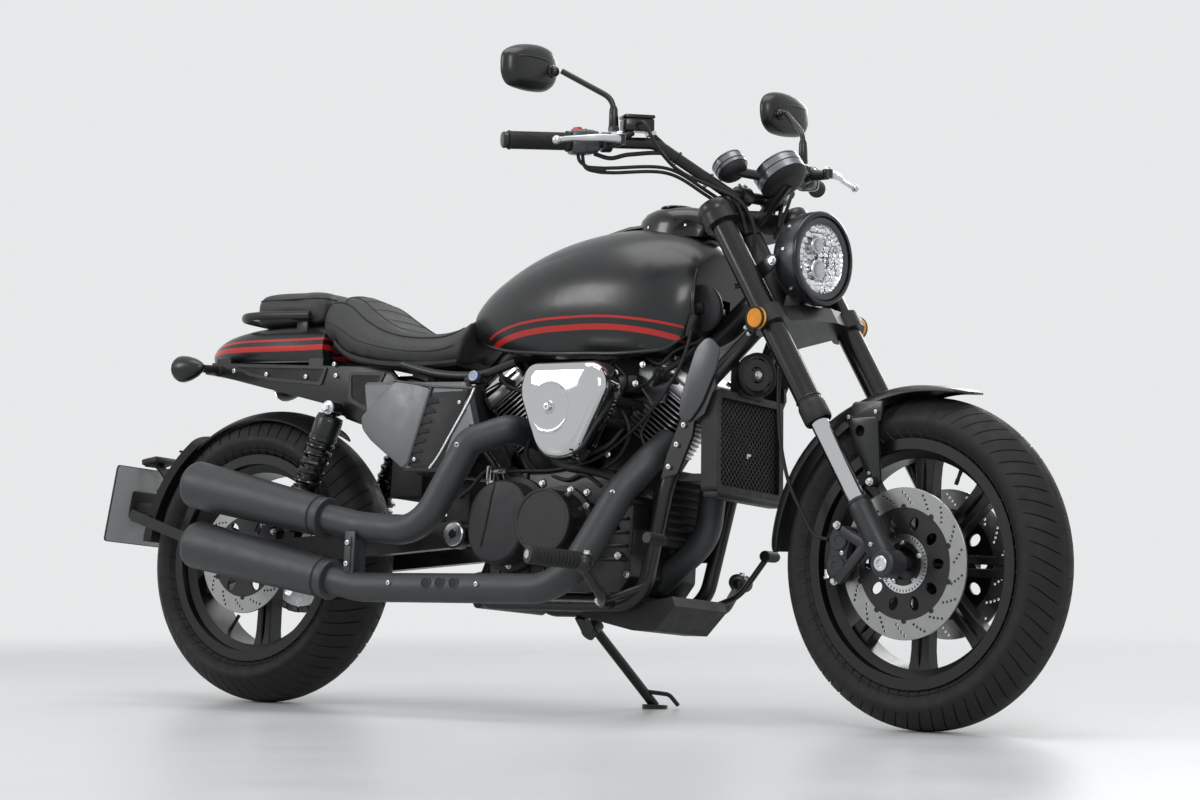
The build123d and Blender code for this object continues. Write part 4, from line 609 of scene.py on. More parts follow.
# ------------------------------------------------------------------ repeats
def set_out_tree():
    """Geometry nodes: a head set out on points, each with its own turn and size."""
    tree = bpy.data.node_groups.new("set_out", "GeometryNodeTree")
    face = tree.interface
    face.new_socket("Points", in_out="INPUT", socket_type="NodeSocketGeometry")
    face.new_socket("Head", in_out="INPUT", socket_type="NodeSocketObject")
    face.new_socket("Scale", in_out="INPUT", socket_type="NodeSocketFloat").default_value = 1.0
    face.new_socket("Finish", in_out="INPUT", socket_type="NodeSocketMaterial")
    face.new_socket("Result", in_out="OUTPUT", socket_type="NodeSocketGeometry")
    made = tree.nodes.new
    start, end = made("NodeGroupInput"), made("NodeGroupOutput")
    head = made("GeometryNodeObjectInfo")
    turn, size = made("GeometryNodeInputNamedAttribute"), made("GeometryNodeInputNamedAttribute")
    turn.data_type = size.data_type = "FLOAT_VECTOR"
    turn.inputs["Name"].default_value = "turn"
    size.inputs["Name"].default_value = "size"
    facing = made("FunctionNodeEulerToRotation")
    scaled = made("ShaderNodeVectorMath")
    scaled.operation = "SCALE"
    heads = made("GeometryNodeInstanceOnPoints")
    real = made("GeometryNodeRealizeInstances")
    coat = made("GeometryNodeSetMaterial")
    link = tree.links.new
    link(start.outputs["Head"], head.inputs["Object"])
    link(start.outputs["Points"], heads.inputs["Points"])
    link(head.outputs["Geometry"], heads.inputs["Instance"])
    link(turn.outputs["Attribute"], facing.inputs["Euler"])
    link(facing.outputs["Rotation"], heads.inputs["Rotation"])
    link(size.outputs["Attribute"], scaled.inputs[0])
    link(start.outputs["Scale"], scaled.inputs["Scale"])
    link(scaled.outputs["Vector"], heads.inputs["Scale"])
    link(heads.outputs["Instances"], real.inputs["Geometry"])
    link(real.outputs["Geometry"], coat.inputs["Geometry"])
    link(start.outputs["Finish"], coat.inputs["Material"])
    link(coat.outputs["Geometry"], end.inputs["Result"])
    return tree


SET_OUT = set_out_tree()


def tree_result(obj, tree, **values):
    """Run a node tree on an object with named inputs and take the mesh."""
    step = obj.modifiers.new("tree", "NODES")
    step.node_group = tree
    sockets = {item.name: item.identifier for item in tree.interface.items_tree
               if item.in_out == "INPUT"}
    for name, value in values.items():
        step[sockets[name]] = value
    return taken(obj)


def set_out(head, places, finish="machined"):
    """Copies of a head at placings, each a matrix or a (matrix, size) pair."""
    points = bmesh.new()
    turns, sizes = [], []
    for place in places:
        matrix, size = place if isinstance(place, tuple) else (place, (1, 1, 1))
        points.verts.new(matrix.translation)
        turns.append(matrix.to_euler())
        sizes.append(size)
    obj = loose_object("points", points)
    for name, rows in (("turn", turns), ("size", sizes)):
        layer = obj.data.attributes.new(name, "FLOAT_VECTOR", "POINT")
        layer.data.foreach_set("vector", [number for row in rows for number in row])
    pattern = loose_object("head", head)
    made = tree_result(obj, SET_OUT, Head=pattern, Scale=1.0, Finish=M[finish])
    bpy.data.objects.remove(pattern)
    return made


def coil_tree():
    """Geometry nodes: a wire wound round Z, closer together at its two ends."""
    tree = bpy.data.node_groups.new("coil", "GeometryNodeTree")
    face = tree.interface
    face.new_socket("Mesh", in_out="INPUT", socket_type="NodeSocketGeometry")
    for name in ("Turns", "Height", "Radius", "Wire"):
        face.new_socket(name, in_out="INPUT", socket_type="NodeSocketFloat")
    face.new_socket("Finish", in_out="INPUT", socket_type="NodeSocketMaterial")
    face.new_socket("Result", in_out="OUTPUT", socket_type="NodeSocketGeometry")
    made = tree.nodes.new
    start, end = made("NodeGroupInput"), made("NodeGroupOutput")
    line, wound = made("GeometryNodeCurvePrimitiveLine"), made("GeometryNodeSetPosition")
    finer, along = made("GeometryNodeResampleCurve"), made("GeometryNodeSplineParameter")
    finer.inputs["Count"].default_value = 260
    link = tree.links.new

    def number(operation, one, two=None):
        step = made("ShaderNodeMath")
        step.operation = operation
        for index, value in enumerate((one, two)):
            if isinstance(value, bpy.types.NodeSocket):
                link(value, step.inputs[index])
            elif value is not None:
                step.inputs[index].default_value = value
        return step.outputs[0]

    turned = number("MULTIPLY", number("MULTIPLY", along.outputs["Factor"],
                                       start.outputs["Turns"]), 2 * pi)
    centre = number("SUBTRACT", along.outputs["Factor"], 0.5)
    squeeze = number("ADD", 1.18, number("MULTIPLY", number("MULTIPLY", centre, centre), -0.72))
    rise = number("MULTIPLY", number("ADD", number("MULTIPLY", centre, squeeze), 0.5),
                  start.outputs["Height"])
    spot = made("ShaderNodeCombineXYZ")
    link(number("MULTIPLY", number("COSINE", turned), start.outputs["Radius"]), spot.inputs[0])
    link(number("MULTIPLY", number("SINE", turned), start.outputs["Radius"]), spot.inputs[1])
    link(rise, spot.inputs[2])
    section, thick = made("GeometryNodeCurvePrimitiveCircle"), made("GeometryNodeCurveToMesh")
    section.inputs["Resolution"].default_value = 10
    thick.inputs["Fill Caps"].default_value = True
    real, coat = made("GeometryNodeRealizeInstances"), made("GeometryNodeSetMaterial")
    link(line.outputs["Curve"], finer.inputs["Curve"])
    link(finer.outputs["Curve"], wound.inputs["Geometry"])
    link(spot.outputs["Vector"], wound.inputs["Position"])
    link(wound.outputs["Geometry"], thick.inputs["Curve"])
    link(start.outputs["Wire"], section.inputs["Radius"])
    link(section.outputs["Curve"], thick.inputs["Profile Curve"])
    link(thick.outputs["Mesh"], real.inputs["Geometry"])
    link(real.outputs["Geometry"], coat.inputs["Geometry"])
    link(start.outputs["Finish"], coat.inputs["Material"])
    link(coat.outputs["Geometry"], end.inputs["Result"])
    return tree


COIL = coil_tree()


def coil(foot, head, turns, radius, wire, finish="machined"):
    """A spring between two points."""
    foot, head = Vector(foot), Vector(head)
    base = loose_object("base", bmesh.new())
    made = tree_result(base, COIL, Turns=float(turns), Height=(head - foot).length,
                       Radius=float(radius), Wire=float(wire), Finish=M[finish])
    made.transform(frame_at(foot, head - foot))
    return made


def dome_bolt(radius=1.0):
    """An Allen bolt of the given radius standing on z = 0, its socket open upwards."""
    body = lathe([(-0.4, 0.9), (-0.4, 1.0), (0.7, 1.0), (0.92, 0.93), (1.0, 0.8), (1.0, 0.54)],
                 (0, 0, 0), Z_AXIS, 18)
    well = lathe([(0.4, 0.5), (1.4, 0.5)], (0, 0, 0), Z_AXIS, 6)
    made = cut(body, well)
    made.transform(Matrix.Scale(radius, 4))
    return made


def hex_bolt(radius=1.0):
    """A six-sided bolt head on its washer, standing on z = 0."""
    washer = lathe([(-0.3, 1.25), (0.12, 1.25), (0.2, 1.18)], (0, 0, 0), Z_AXIS, 24)
    flats = lathe([(0.1, 1.0), (0.82, 1.0), (1.0, 0.84)], (0, 0, 0), Z_AXIS, 6)
    made = joined(washer, flats)
    made.transform(Matrix.Scale(radius, 4))
    return made


def bolts(spots, radius, way, kind=dome_bolt):
    """Bolt heads of one radius at points, facing one way."""
    return set_out(kind(radius), [frame_at(spot, way) for spot in spots])


# ------------------------------------------------------------------ wheels
TREAD_DEPTH = 3.6
CENTRE_GROOVE = 0.9
SIPE = 0.085               # a sipe's width as a share of one pitch
BEAD_DROP = 13             # the rim's seat under its flange
SPOKE_DROP = BEAD_DROP + 16
SPEED_RING_SLOTS, SPROCKET_TEETH = 44, 40


def tyre_section(width, crown_r, flange_r, radius, rim_w):
    """Half of the outside, from the crown to the bead, as rows of (y, r)."""
    shoulder_y = width / 2 - 4
    shoulder = radius - crown_r + sqrt(crown_r ** 2 - shoulder_y ** 2)
    crown = []
    for step in range(13):
        y = shoulder_y * step / 12
        crown.append((y, radius - crown_r + sqrt(crown_r ** 2 - y ** 2)))
    bead = rim_w / 2 - 6
    mid = (flange_r + shoulder) / 2 + 4
    wall = []
    for step in range(1, 11):
        t = step / 10
        bow = 4 * t * (1 - t)
        y = shoulder_y + (bead - shoulder_y) * t
        bulge_y = width / 2 - (shoulder_y + bead) / 2
        wall.append((y + bulge_y * bow, shoulder + (flange_r - shoulder) * t
                     + (mid - (shoulder + flange_r) / 2) * bow))
    return crown, wall


def tread_strip(section, pitches, lean, seat_r):
    """One pitch of the tyre: curved sipes in both halves, set half a pitch apart."""
    crown, wall = section
    step = 2 * pi / pitches
    rows = sorted([0.0, SIPE * 0.45, SIPE, SIPE * 1.45, 0.5, 0.5 + SIPE * 0.45, 0.5 + SIPE,
                   0.5 + SIPE * 1.45, 0.27, 0.77])
    left = crown + wall
    across = [(-y, r) for y, r in left[::-1]] + left[1:]
    reach = crown[-1][0]
    shape = bmesh.new()
    grid = []
    for row in rows + [1.0]:
        line = []
        for y, r in across:
            share = abs(y) / reach
            sweep = lean * (min(share, 1.0) ** 1.6) * 1.25
            if share < 0.16:
                sweep += 0.12 * (1 if y > 0 else -1) * share / 0.16
            own = (0.0, 0.5)[y > 0]
            sunk = 0.0
            local = (row - own) % 1.0
            if 0.2 < share <= 1.02 and SIPE * 0.4 < local < SIPE * 1.1:
                sunk = TREAD_DEPTH * min(1.0, (share - 0.2) * 7) * min(1.0, (1.06 - share) * 9)
            centre_line = CENTRE_GROOVE if share < 0.03 else 0.0
            angle = (row + sweep) * step
            out = r - sunk - centre_line
            line.append(shape.verts.new((out * sin(angle), y, out * cos(angle))))
        bead_y = -across[0][0]
        for y in (bead_y - 1, 0, -bead_y + 1):
            angle = (row + lean * 1.25) * step if y else row * step
            line.append(shape.verts.new((seat_r * sin(angle), y, seat_r * cos(angle))))
        grid.append(line)
    for low, high in zip(grid, grid[1:]):
        for index in range(len(low)):
            after = (index + 1) % len(low)
            shape.faces.new((low[index], low[after], high[after], high[index]))
    return shape


def treaded_tyre(name, body, hub, radius, width, crown_r, flange_r, rim_w, pitches, lean):
    """A whole tyre of tread strips, with a raised line on each side wall."""
    section = tyre_section(width, crown_r, flange_r, radius, rim_w)
    strip = tread_strip(section, pitches, lean, flange_r - BEAD_DROP)
    turns = [Matrix.Translation(hub) @ Matrix.Rotation(2 * pi * n / pitches, 4, "Y")
             for n in range(pitches)]
    whole = set_out(strip, turns, finish="tyre_rubber")
    bmesh.ops.remove_doubles(whole, verts=whole.verts, dist=0.02)
    lines = [ring_bar((hub.x, side * (width / 2 - 7.4), hub.z), Y_AXIS, flange_r + 9.0, 0.9, 120, 6)
             for side in (-1, 1)]
    piece(name, body, "tyre_rubber", whole, *lines, replaces=(name.replace("_tread", "_tyre"),),
          crease=30)


treaded_tyre("front_tread", "front_wheel", FRONT_HUB, 304, 128, 70, 228, 106, 66, -0.9)
treaded_tyre("rear_tread", "rear_wheel", REAR_HUB, 301, 167, 95, 218, 138, 60, 0.9)


FLANGE_R = 46.0            # of the hub flanges that carry the discs


def drilled_disc(name, body, finish, hub, radius, band_w, rows, per_row, arms, side):
    """A drilled band on a dark carrier with buttons and holes."""
    inner = radius - band_w
    wave = [(-2.5, inner), (-2.5, radius - 0.6), (-1.9, radius), (1.9, radius), (2.5, radius - 0.6),
            (2.5, inner)]
    band_ring = lathe(wave, hub, Y_AXIS, 144, ring=True)
    drills = []
    for group in range(per_row):
        for row in range(rows):
            share = (row + 0.5) / rows
            angle = 2 * pi * (group + share * 0.62) / per_row
            reach = inner + band_w * (0.16 + 0.68 * share)
            drills.append(frame_at(hub + polar(reach, angle), Y_AXIS))
    drill = lathe([(-6, 2.7), (6, 2.7)], (0, 0, 0), Z_AXIS, 12)
    band_ring = cut(band_ring, set_out(drill, drills))
    piece(name + "_band", body, finish, band_ring)
    carrier = lathe([(-2.2, 30), (-2.2, inner + 0.5), (2.2, inner + 0.5), (2.2, 30)],
                    hub + vec(0, side * 0.2, 0), Y_AXIS, 96, ring=True)
    middle = (inner + FLANGE_R) / 2 + 1
    ovals = [(frame_at(hub + polar(middle, angle), Y_AXIS, polar(1, angle)), (1.0, 0.72, 1.0))
             for angle in angles_round(arms)]
    oval = lathe([(-8, 13.5), (8, 13.5)], (0, 0, 0), Z_AXIS, 20)
    carrier = cut(carrier, set_out(oval, ovals))
    buttons = [frame_at(hub + polar(inner + 1, angle, side * 2.2), (0, side, 0))
               for angle in angles_round(arms, 0.5)]
    button = lathe([(-1, 5.4), (1.0, 5.4), (1.5, 4.8), (1.5, 2.6), (0.7, 2.2)], (0, 0, 0), Z_AXIS, 20)
    lugs = set_out(button, buttons)
    piece(name + "_carrier", body, "frame_black", carrier, lugs)
    studs = [hub + polar(37.5, angle, side * 2.4) for angle in angles_round(5, 0.3)]
    piece(name + "_bolts", body, "machined", bolts(studs, 4.6, (0, side, 0)))


for disc_side, disc_label in SIDES:
    drilled_disc("front_disc_" + disc_label, "front_wheel", "disc_front",
                 FRONT_HUB + Y_AXIS * disc_side * 67, 138.0, 36.0, 4, 18, 10, disc_side)
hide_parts("front_discs")
drilled_disc("rear_disc_right", "rear_wheel", "disc_rear", REAR_HUB + Y_AXIS * -87, 119.0, 34.0,
             4, 14, 6, -1)
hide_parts("rear_disc")


def disc_necks():
    """The hub flanges that carry the discs, and the toothed speed ring."""
    for side, label in SIDES:
        neck = lathe([(0, 30.5), (0, FLANGE_R), (4.2, FLANGE_R), (4.2, 30.5)],
                     FRONT_HUB + vec(0, side * 60, 0), (0, side, 0), 64, ring=True)
        piece("front_flange_" + label, "front_wheel", "frame_black", neck)
    ring = lathe([(0, 40), (0, 53.4), (1.6, 53.4), (1.6, 40)], FRONT_HUB + vec(0, -69.8, 0),
                 (0, -1, 0), 96, ring=True)
    slots = [(frame_at(FRONT_HUB + vec(0, -70.6, 0) + polar(1, angle) * 49.2, Y_AXIS,
                       polar(1, angle)), (5.4, 2.2, 6.0)) for angle in angles_round(SPEED_RING_SLOTS)]
    ring = cut(ring, set_out(brick((0, 0, 0), (1, 1, 1), 0.08), slots))
    piece("speed_ring", "front_wheel", "machined", ring)
    neck = lathe([(0, 30.5), (0, FLANGE_R), (8.3, FLANGE_R), (8.3, 30.5)],
                 REAR_HUB + vec(0, -76, 0), (0, -1, 0), 64, ring=True)
    piece("rear_flange", "rear_wheel", "frame_black", neck)


disc_necks()


def rim_trim(label, body, hub, flange_r, half_w, pairs, phase, hub_half, depth):
    """Eased spokes over the solid ones, a lip on each flange, hub rings and the valve."""
    lips = [ring_bar(hub + vec(0, side * (half_w - 2.4), 0), Y_AXIS, flange_r - 1.6, 2.2, 144)
            for side in (-1, 1)]
    spokes = []
    seat = flange_r - SPOKE_DROP
    for number in range(pairs):
        turn = Matrix.Rotation(radians(phase + number * 360 / pairs), 4, "Y")
        for side in (-1, 1):
            mid = side * 11.5
            foot, head = 34.0, seat - 1.0
            rows = []
            for step in range(9):
                t = step / 8
                r = foot + (head - foot) * t
                flare = 1.0 + 0.55 * max(0.0, t - 0.82) / 0.18 + 0.35 * max(0.0, 0.16 - t) / 0.16
                half_x = (6.9 + 1.6 * t) * flare
                half_y = depth / 2 * (1.04 + 0.12 * t) * (1 + 0.12 * max(0.0, t - 0.85) / 0.15)
                corner = 2.2
                outline = [(-half_x, -half_y + corner), (-half_x + corner, -half_y),
                           (half_x - corner, -half_y), (half_x, -half_y + corner),
                           (half_x, half_y - corner), (half_x - corner, half_y),
                           (-half_x + corner, half_y), (-half_x, half_y - corner)]
                rows.append([vec(mid + x, y, r) for x, y in outline])
            bar = skin(rows)
            bar.transform(Matrix.Translation(hub) @ turn)
            spokes.append(bar)
    caps = [lathe([(-1, 20), (-1, 37), (2.2, 37), (3.4, 35.6), (3.4, 21)],
                  hub + vec(0, side * (hub_half - 3), 0), (0, side, 0), 48, ring=True)
            for side in (-1, 1)]
    well = seat - 7
    way = vec(sin(radians(phase + 180 / pairs)), 0, cos(radians(phase + 180 / pairs)))
    stem = tube([hub + way * (well + 6), hub + way * (well - 14), hub + way * (well - 24)],
                [4.6, 3.6, 3.2], 12)
    cap = tube([hub + way * (well - 23), hub + way * (well - 34)], 3.9, 12)
    piece(label + "_spokes", body, "rim_black", *spokes, *caps)
    piece(label + "_lips", body, "rim_black", *lips)
    piece(label + "_valve", body, "rubber", stem, cap)


rim_trim("front_wheel", "front_wheel", FRONT_HUB, 228.0, 53.0, 8, 2.0, 60.0, 26.0)
rim_trim("rear_wheel", "rear_wheel", REAR_HUB, 218.0, 69.0, 5, 180.0, 76.0, 34.0)


def sprocket_teeth():
    """The teeth and nuts of the rear sprocket."""
    hub = REAR_HUB + vec(0, 97, 0)
    tooth = skin([[vec(a * x, b * y, z) for a, b in ((-1, -1), (1, -1), (1, 1), (-1, 1))]
                  for x, y, z in ((5.2, 2.6, 0), (3.6, 2.2, 3.4), (1.5, 1.1, 5.6))])
    places = [frame_at(hub + polar(1, angle) * 88.5, polar(1, angle), polar(1, angle + pi / 2))
              for angle in angles_round(SPROCKET_TEETH)]
    nuts = [hub + polar(68, radians(30 + 60 * n), 3.4) for n in range(6)]
    piece("sprocket_teeth", "rear_wheel", "machined", set_out(tooth, places))
    piece("sprocket_nuts", "rear_wheel", "machined", bolts(nuts, 6.5, Y_AXIS, hex_bolt))


sprocket_teeth()


# ------------------------------------------------------------------ engine
CRANK = vec(848, 0, 352)
CASE_SIDE = 112.0


def eased_slab(outline, ease, low, high, edge):
    """A plate whose outline and rims are both eased."""
    return slab(eased(outline, ease, 5), low, high, edge, steps=3)


def circle(centre, radius, count=48, start=0.0, sweep=360.0):
    """Points of an arc in the side view."""
    full = sweep == 360.0
    return [(centre[0] + radius * cos(radians(start + sweep * n / (count if full else count - 1))),
             centre[1] + radius * sin(radians(start + sweep * n / (count if full else count - 1))))
            for n in range(count)]


def egg(low, low_r, high, high_r):
    """The outline round two circles."""
    gap = hypot(high[0] - low[0], high[1] - low[1])
    way = degrees(atan2(high[1] - low[1], high[0] - low[0]))
    lean = degrees(acos((high_r - low_r) / gap)) if gap > abs(high_r - low_r) else 90
    upper = circle(high, high_r, 26, way - 180 + lean, 360 - 2 * lean)
    lower = circle(low, low_r, 26, way + 180 - lean, 2 * lean)
    return upper + lower


def engine_covers():
    """The clutch and generator covers with their seams, bolts, ribs and bosses."""
    clutch = egg((720, 350), 66.0, (728, 374), 74.0)
    flange = egg((720, 348), 76.0, (729, 376), 84.0)
    drum_mid = (843, 366)
    faces = [slab(clutch, -176, -118, 7, steps=4), slab(flange, -126, -CASE_SIDE, 2.5),
             slab(circle(drum_mid, 64), -184, -118, 5, steps=4),
             slab(circle(drum_mid, 74), -128, -CASE_SIDE, 2.5)]
    lip = lathe([(0, 56), (0, 64.2), (2.6, 64.2), (4.0, 62.5), (4.0, 59), (2.2, 57.2), (1.0, 56)],
                (843, -184, 366), (0, -1, 0), 64, ring=True)
    seam = tube([(717, -175.4, 442), (711, -176.6, 420), (700, -176.6, 360), (690, -176.6, 318)], 2.0)
    piece("clutch_covers", "chassis", "cover_grey", *faces, lip)
    piece("cover_seam", "chassis", "dark_and_painted_shade", seam)
    spots = [vec(722, -127.5, 362) + polar(1, radians(n)) * 77.5
             for n in (60, 95, 128, 165, 200, 238, 272)]
    spots += [vec(843, -127.5, 366) + polar(1, radians(n)) * 69.5 for n in (-100, -55, -12, 30, 72)]
    piece("cover_bolts", "chassis", "machined", bolts(spots, 5.4, (0, -1, 0), hex_bolt))
    left = [slab(circle((850, 360), 84), CASE_SIDE, 124, 2.5),
            slab(circle((850, 360), 71), 120, 166, 7, steps=4)]
    guard = eased_slab([(640, 292), (742, 286), (792, 300), (792, 424), (742, 436), (640, 424)], 22,
                       CASE_SIDE + 6, 140, 6)
    piece("left_covers", "chassis", "cover_grey", *left, guard)
    rim_spots = [(850 + 78 * cos(radians(n)), 123, 360 + 78 * sin(radians(n)))
                 for n in range(-60, 250, 44)]
    rim_spots += [(660, 139, 306), (660, 139, 410), (730, 139, 424), (730, 139, 298)]
    piece("left_cover_bolts", "chassis", "machined", bolts(rim_spots, 5.4, Y_AXIS, hex_bolt))
    ribs = [brick((690 + 36 * n, side * 112.5, 262), (7, 6, 44), 1.5) for n in range(4)
            for side in (-1, 1)]
    deck = eased_slab([(672, 424), (744, 474), (946, 474), (1008, 422), (1008, 404), (672, 404)], 12,
                      -118, 118, 3)
    sump = [brick((960, -114, 300 + 26 * n), (70, 6, 6), 1.6) for n in range(5)]
    piece("case_ribs", "chassis", "engine_black", *ribs, deck, *sump)
    case_spots = [(898, 428), (930, 396), (962, 360), (978, 306), (700, 436), (1000, 270), (790, 446)]
    bosses = [lathe([(0, 9), (8.6, 9), (9.4, 8)], (x, -110, z), (0, -1, 0), 20)
              for x, z in case_spots]
    piece("case_bosses", "chassis", "engine_black", *bosses)
    piece("case_bolts", "chassis", "machined",
          bolts([(x, -119.4, z) for x, z in case_spots], 5.6, (0, -1, 0), hex_bolt))


def rounded_box(half_x, half_y, corner, steps=5):
    """An oblong outline with eased corners."""
    return eased([(-half_x, -half_y), (half_x, -half_y), (half_x, half_y), (-half_x, half_y)],
                 corner, steps)


def band_between(outer, inner, low, high):
    """A frame of two outlines between two levels."""
    rings = [[vec(p[0], p[1], z) for p in row] for row, z in
             ((outer, low), (outer, high), (inner, high), (inner, low))]
    return skin(rings, closed_round=True)


CYLINDER_FOOT, FIN_PITCH, FIN_COUNT = 225, 9.5, 12


def cylinders():
    """Fin edges, heads, rocker covers, plugs and leads of both cylinders."""
    for lean, label in ((-35.0, "rear"), (35.0, "front")):
        way = vec(sin(radians(lean)), 0, cos(radians(lean)))
        ahead = vec(cos(radians(lean)), 0, -sin(radians(lean)))
        base = frame_at(CRANK, way, ahead)
        edge_band = band_between(rounded_box(52.5, 64.5, 18.5), rounded_box(48.0, 60.0, 15), -1.3, 1.3)
        levels = [base @ Matrix.Translation((0, 0, CYLINDER_FOOT + FIN_PITCH * n + 2.0))
                  for n in range(FIN_COUNT)]
        piece(f"{label}_fin_edges", "chassis", "fin_edge", set_out(edge_band, levels))
        head = slab(rounded_box(53.4, 69.4, 12), 341, 364, 2.4, Matrix.Identity(4), 3)
        rows = []
        for height, shrink in ((363.5, 2), (366, 0.4), (370, 0.0), (384, 0.6), (389, 4), (391, 9),
                               (391.8, 16)):
            rows.append([vec(p[0], p[1], height) for p in
                         rounded_box(53.4 - shrink, 69.4 - shrink, 12)])
        cover = skin(rows)
        for shape in (head, cover):
            shape.transform(base)
        piece(f"{label}_head", "chassis", "head_silver", head)
        piece(f"{label}_rocker_cover", "chassis", "head_silver" if label == "front" else "chrome", cover)
        spots = [base @ vec(x, y, 391.4) for x in (-34, 34) for y in (-52, 52)]
        piece(f"{label}_head_bolts", "chassis", "chrome", bolts(spots, 6.2, way, hex_bolt))
        inner = 18 if lean < 0 else -18
        plug = lathe([(0, 13), (4, 13), (4, 9), (16, 8), (19, 9.5), (28, 8.5), (31, 6)],
                     base @ vec(inner, -66, 352), base.to_3x3() @ vec(0, -1, 0.35), 24)
        lead_foot = base @ vec(inner, -94, 362)
        lead = tube(smooth_line([lead_foot, lead_foot + vec(-lean * 0.2, -10, 8),
                                 lead_foot + vec(-lean * 0.9, -4, -20), vec(848, -70, 600)], 8), 3.6)
        piece(f"{label}_plug_lead", "chassis", "rubber", plug, lead)
        brace = band_between(rounded_box(54, 66.5, 18), rounded_box(49, 61, 15), 336, 341)
        brace.transform(base)
        piece(f"{label}_head_seam", "chassis", "machined", brace)


def intake():
    """Throttle bodies, hoses, wires, horn, and near-black blocks of painted shade between the cylinders.
    """
    bodies = [lathe([(0, 30), (40, 30), (44, 33), (58, 33), (60, 30), (90, 27)], (866, -64, 560),
                    (0.1, -1, 0.05), 36),
              lathe([(0, 24), (70, 24), (74, 28), (80, 28)], (848, 40, 590), (0, -1, -0.1), 30),
              brick((872, -92, 520), (64, 46, 40), 7), brick((930, -60, 640), (110, 70, 40), 10),
              brick((842, -66, 498), (50, 60, 34), 8)]
    hoses = [tube(smooth_line(route), radius) for route, radius in (
        ([(800, -96, 490), (842, -118, 478), (900, -124, 470), (960, -112, 452), (990, -96, 420)], 7.5),
        ([(870, -112, 480), (905, -130, 500), (948, -124, 520), (968, -100, 560)], 5),
        ([(930, -98, 610), (965, -118, 590), (985, -112, 545), (960, -104, 500), (920, -110, 470)], 4.5),
        ([(760, -100, 470), (740, -110, 500), (744, -104, 540), (770, -90, 580)], 5.5),
        ([(1010, -70, 640), (1040, -88, 660), (1080, -76, 690), (1100, -50, 730)], 6.5))]
    piece("throttle_bodies", "chassis", "engine_black", *bodies)
    piece("engine_hoses", "chassis", "rubber", *hoses)
    # near-black blocks in the gaps between and round the cylinders: painted shade standing in for the dark
    # inside of the engine
    core = [brick((848, 4, 560), (170, 92, 170), 8), brick((850, 0, 674), (250, 110, 44), 8),
            brick((1024, 0, 690), (110, 96, 60), 8), brick((1028, 0, 404), (34, 130, 150), 6),
            brick((512, 0, 560), (150, 170, 180), 8), brick((548, 0, 400), (60, 150, 120), 8),
            brick((1176, 0, 650), (30, 80, 70), 6), brick((700, 20, 640), (90, 90, 90), 8),
            brick((398, 0, 500), (86, 118, 150), 10), brick((430, 0, 610), (120, 110, 60), 8)]
    core += [brick((1049, 0, 346 + 16 * n), (10, 126, 6), 1.5) for n in range(8)]
    piece("engine_inner_blocks", "chassis", "dark_and_painted_shade", *core)
    shade = slab(eased([(973, 677), (1000, 682), (1046, 648), (1037, 606), (1010, 600), (972, 640)], 8, 4),
                 -74, -62, 2.5)
    edge = tube([(976, -75, 640), (1010, -75, 604), (1036, -75, 607)], 2.6, 10)
    piece("intake_shade", "chassis", "cap_grey", shade)
    piece("intake_shade_edge", "chassis", "head_silver", edge)
    wires = [tube(smooth_line(route), radius) for route, radius in (
        ([(930, -90, 680), (960, -96, 650), (950, -100, 610), (985, -98, 590)], 3.2),
        ([(770, -96, 452), (800, -112, 462), (850, -120, 452), (890, -122, 462), (930, -118, 440)], 4.0),
        ([(1018, -96, 470), (1030, -106, 500), (1010, -108, 540), (1024, -100, 580)], 3.4),
        ([(640, -96, 560), (664, -104, 540), (690, -104, 500), (700, -108, 470), (728, -110, 452)], 4.2),
        ([(1004, -92, 690), (1040, -98, 676), (1070, -96, 700), (1104, -70, 720)], 3.4),
        ([(866, -100, 640), (900, -92, 664), (940, -96, 690), (1000, -84, 700)], 3.0),
        ([(590, -120, 420), (620, -122, 440), (650, -120, 470), (700, -112, 478)], 4.6))]
    piece("engine_wires", "chassis", "rubber", *wires)
    horn_mid, horn_way = vec(1224, -44, 656), vec(0.92, -0.38, 0)
    horn = lathe([(-12, 18), (-12, 36), (-8, 41), (2, 42), (4, 40), (5, 33), (2, 30), (2.4, 16), (6, 12),
                  (6, 0)], horn_mid, horn_way, 56)
    horn_ring = lathe([(0, 38), (4, 42.6), (7, 42.6), (8, 39), (5, 36)], horn_mid, horn_way, 56,
                      ring=True)
    horn_stay = brick((1196, -36, 660), (30, 16, 24), 3)
    piece("horn", "chassis", "gloss_black", horn, horn_stay)
    piece("horn_ring", "chassis", "moulded", horn_ring)
    piece("horn_screw", "chassis", "machined",
          bolts([horn_mid + horn_way * 6], 6, horn_way, hex_bolt))
    small = [(900, -118, 520), (934, -96, 662), (982, -96, 640), (908, -97, 655), (860, -117, 530),
             (948, -128, 500), (846, -98, 510), (1000, -100, 676)]
    piece("intake_bolts", "chassis", "machined", bolts(small, 5.0, (0.1, -1, 0.1), hex_bolt))


AIR_CENTRE = (896.0, 580.0)


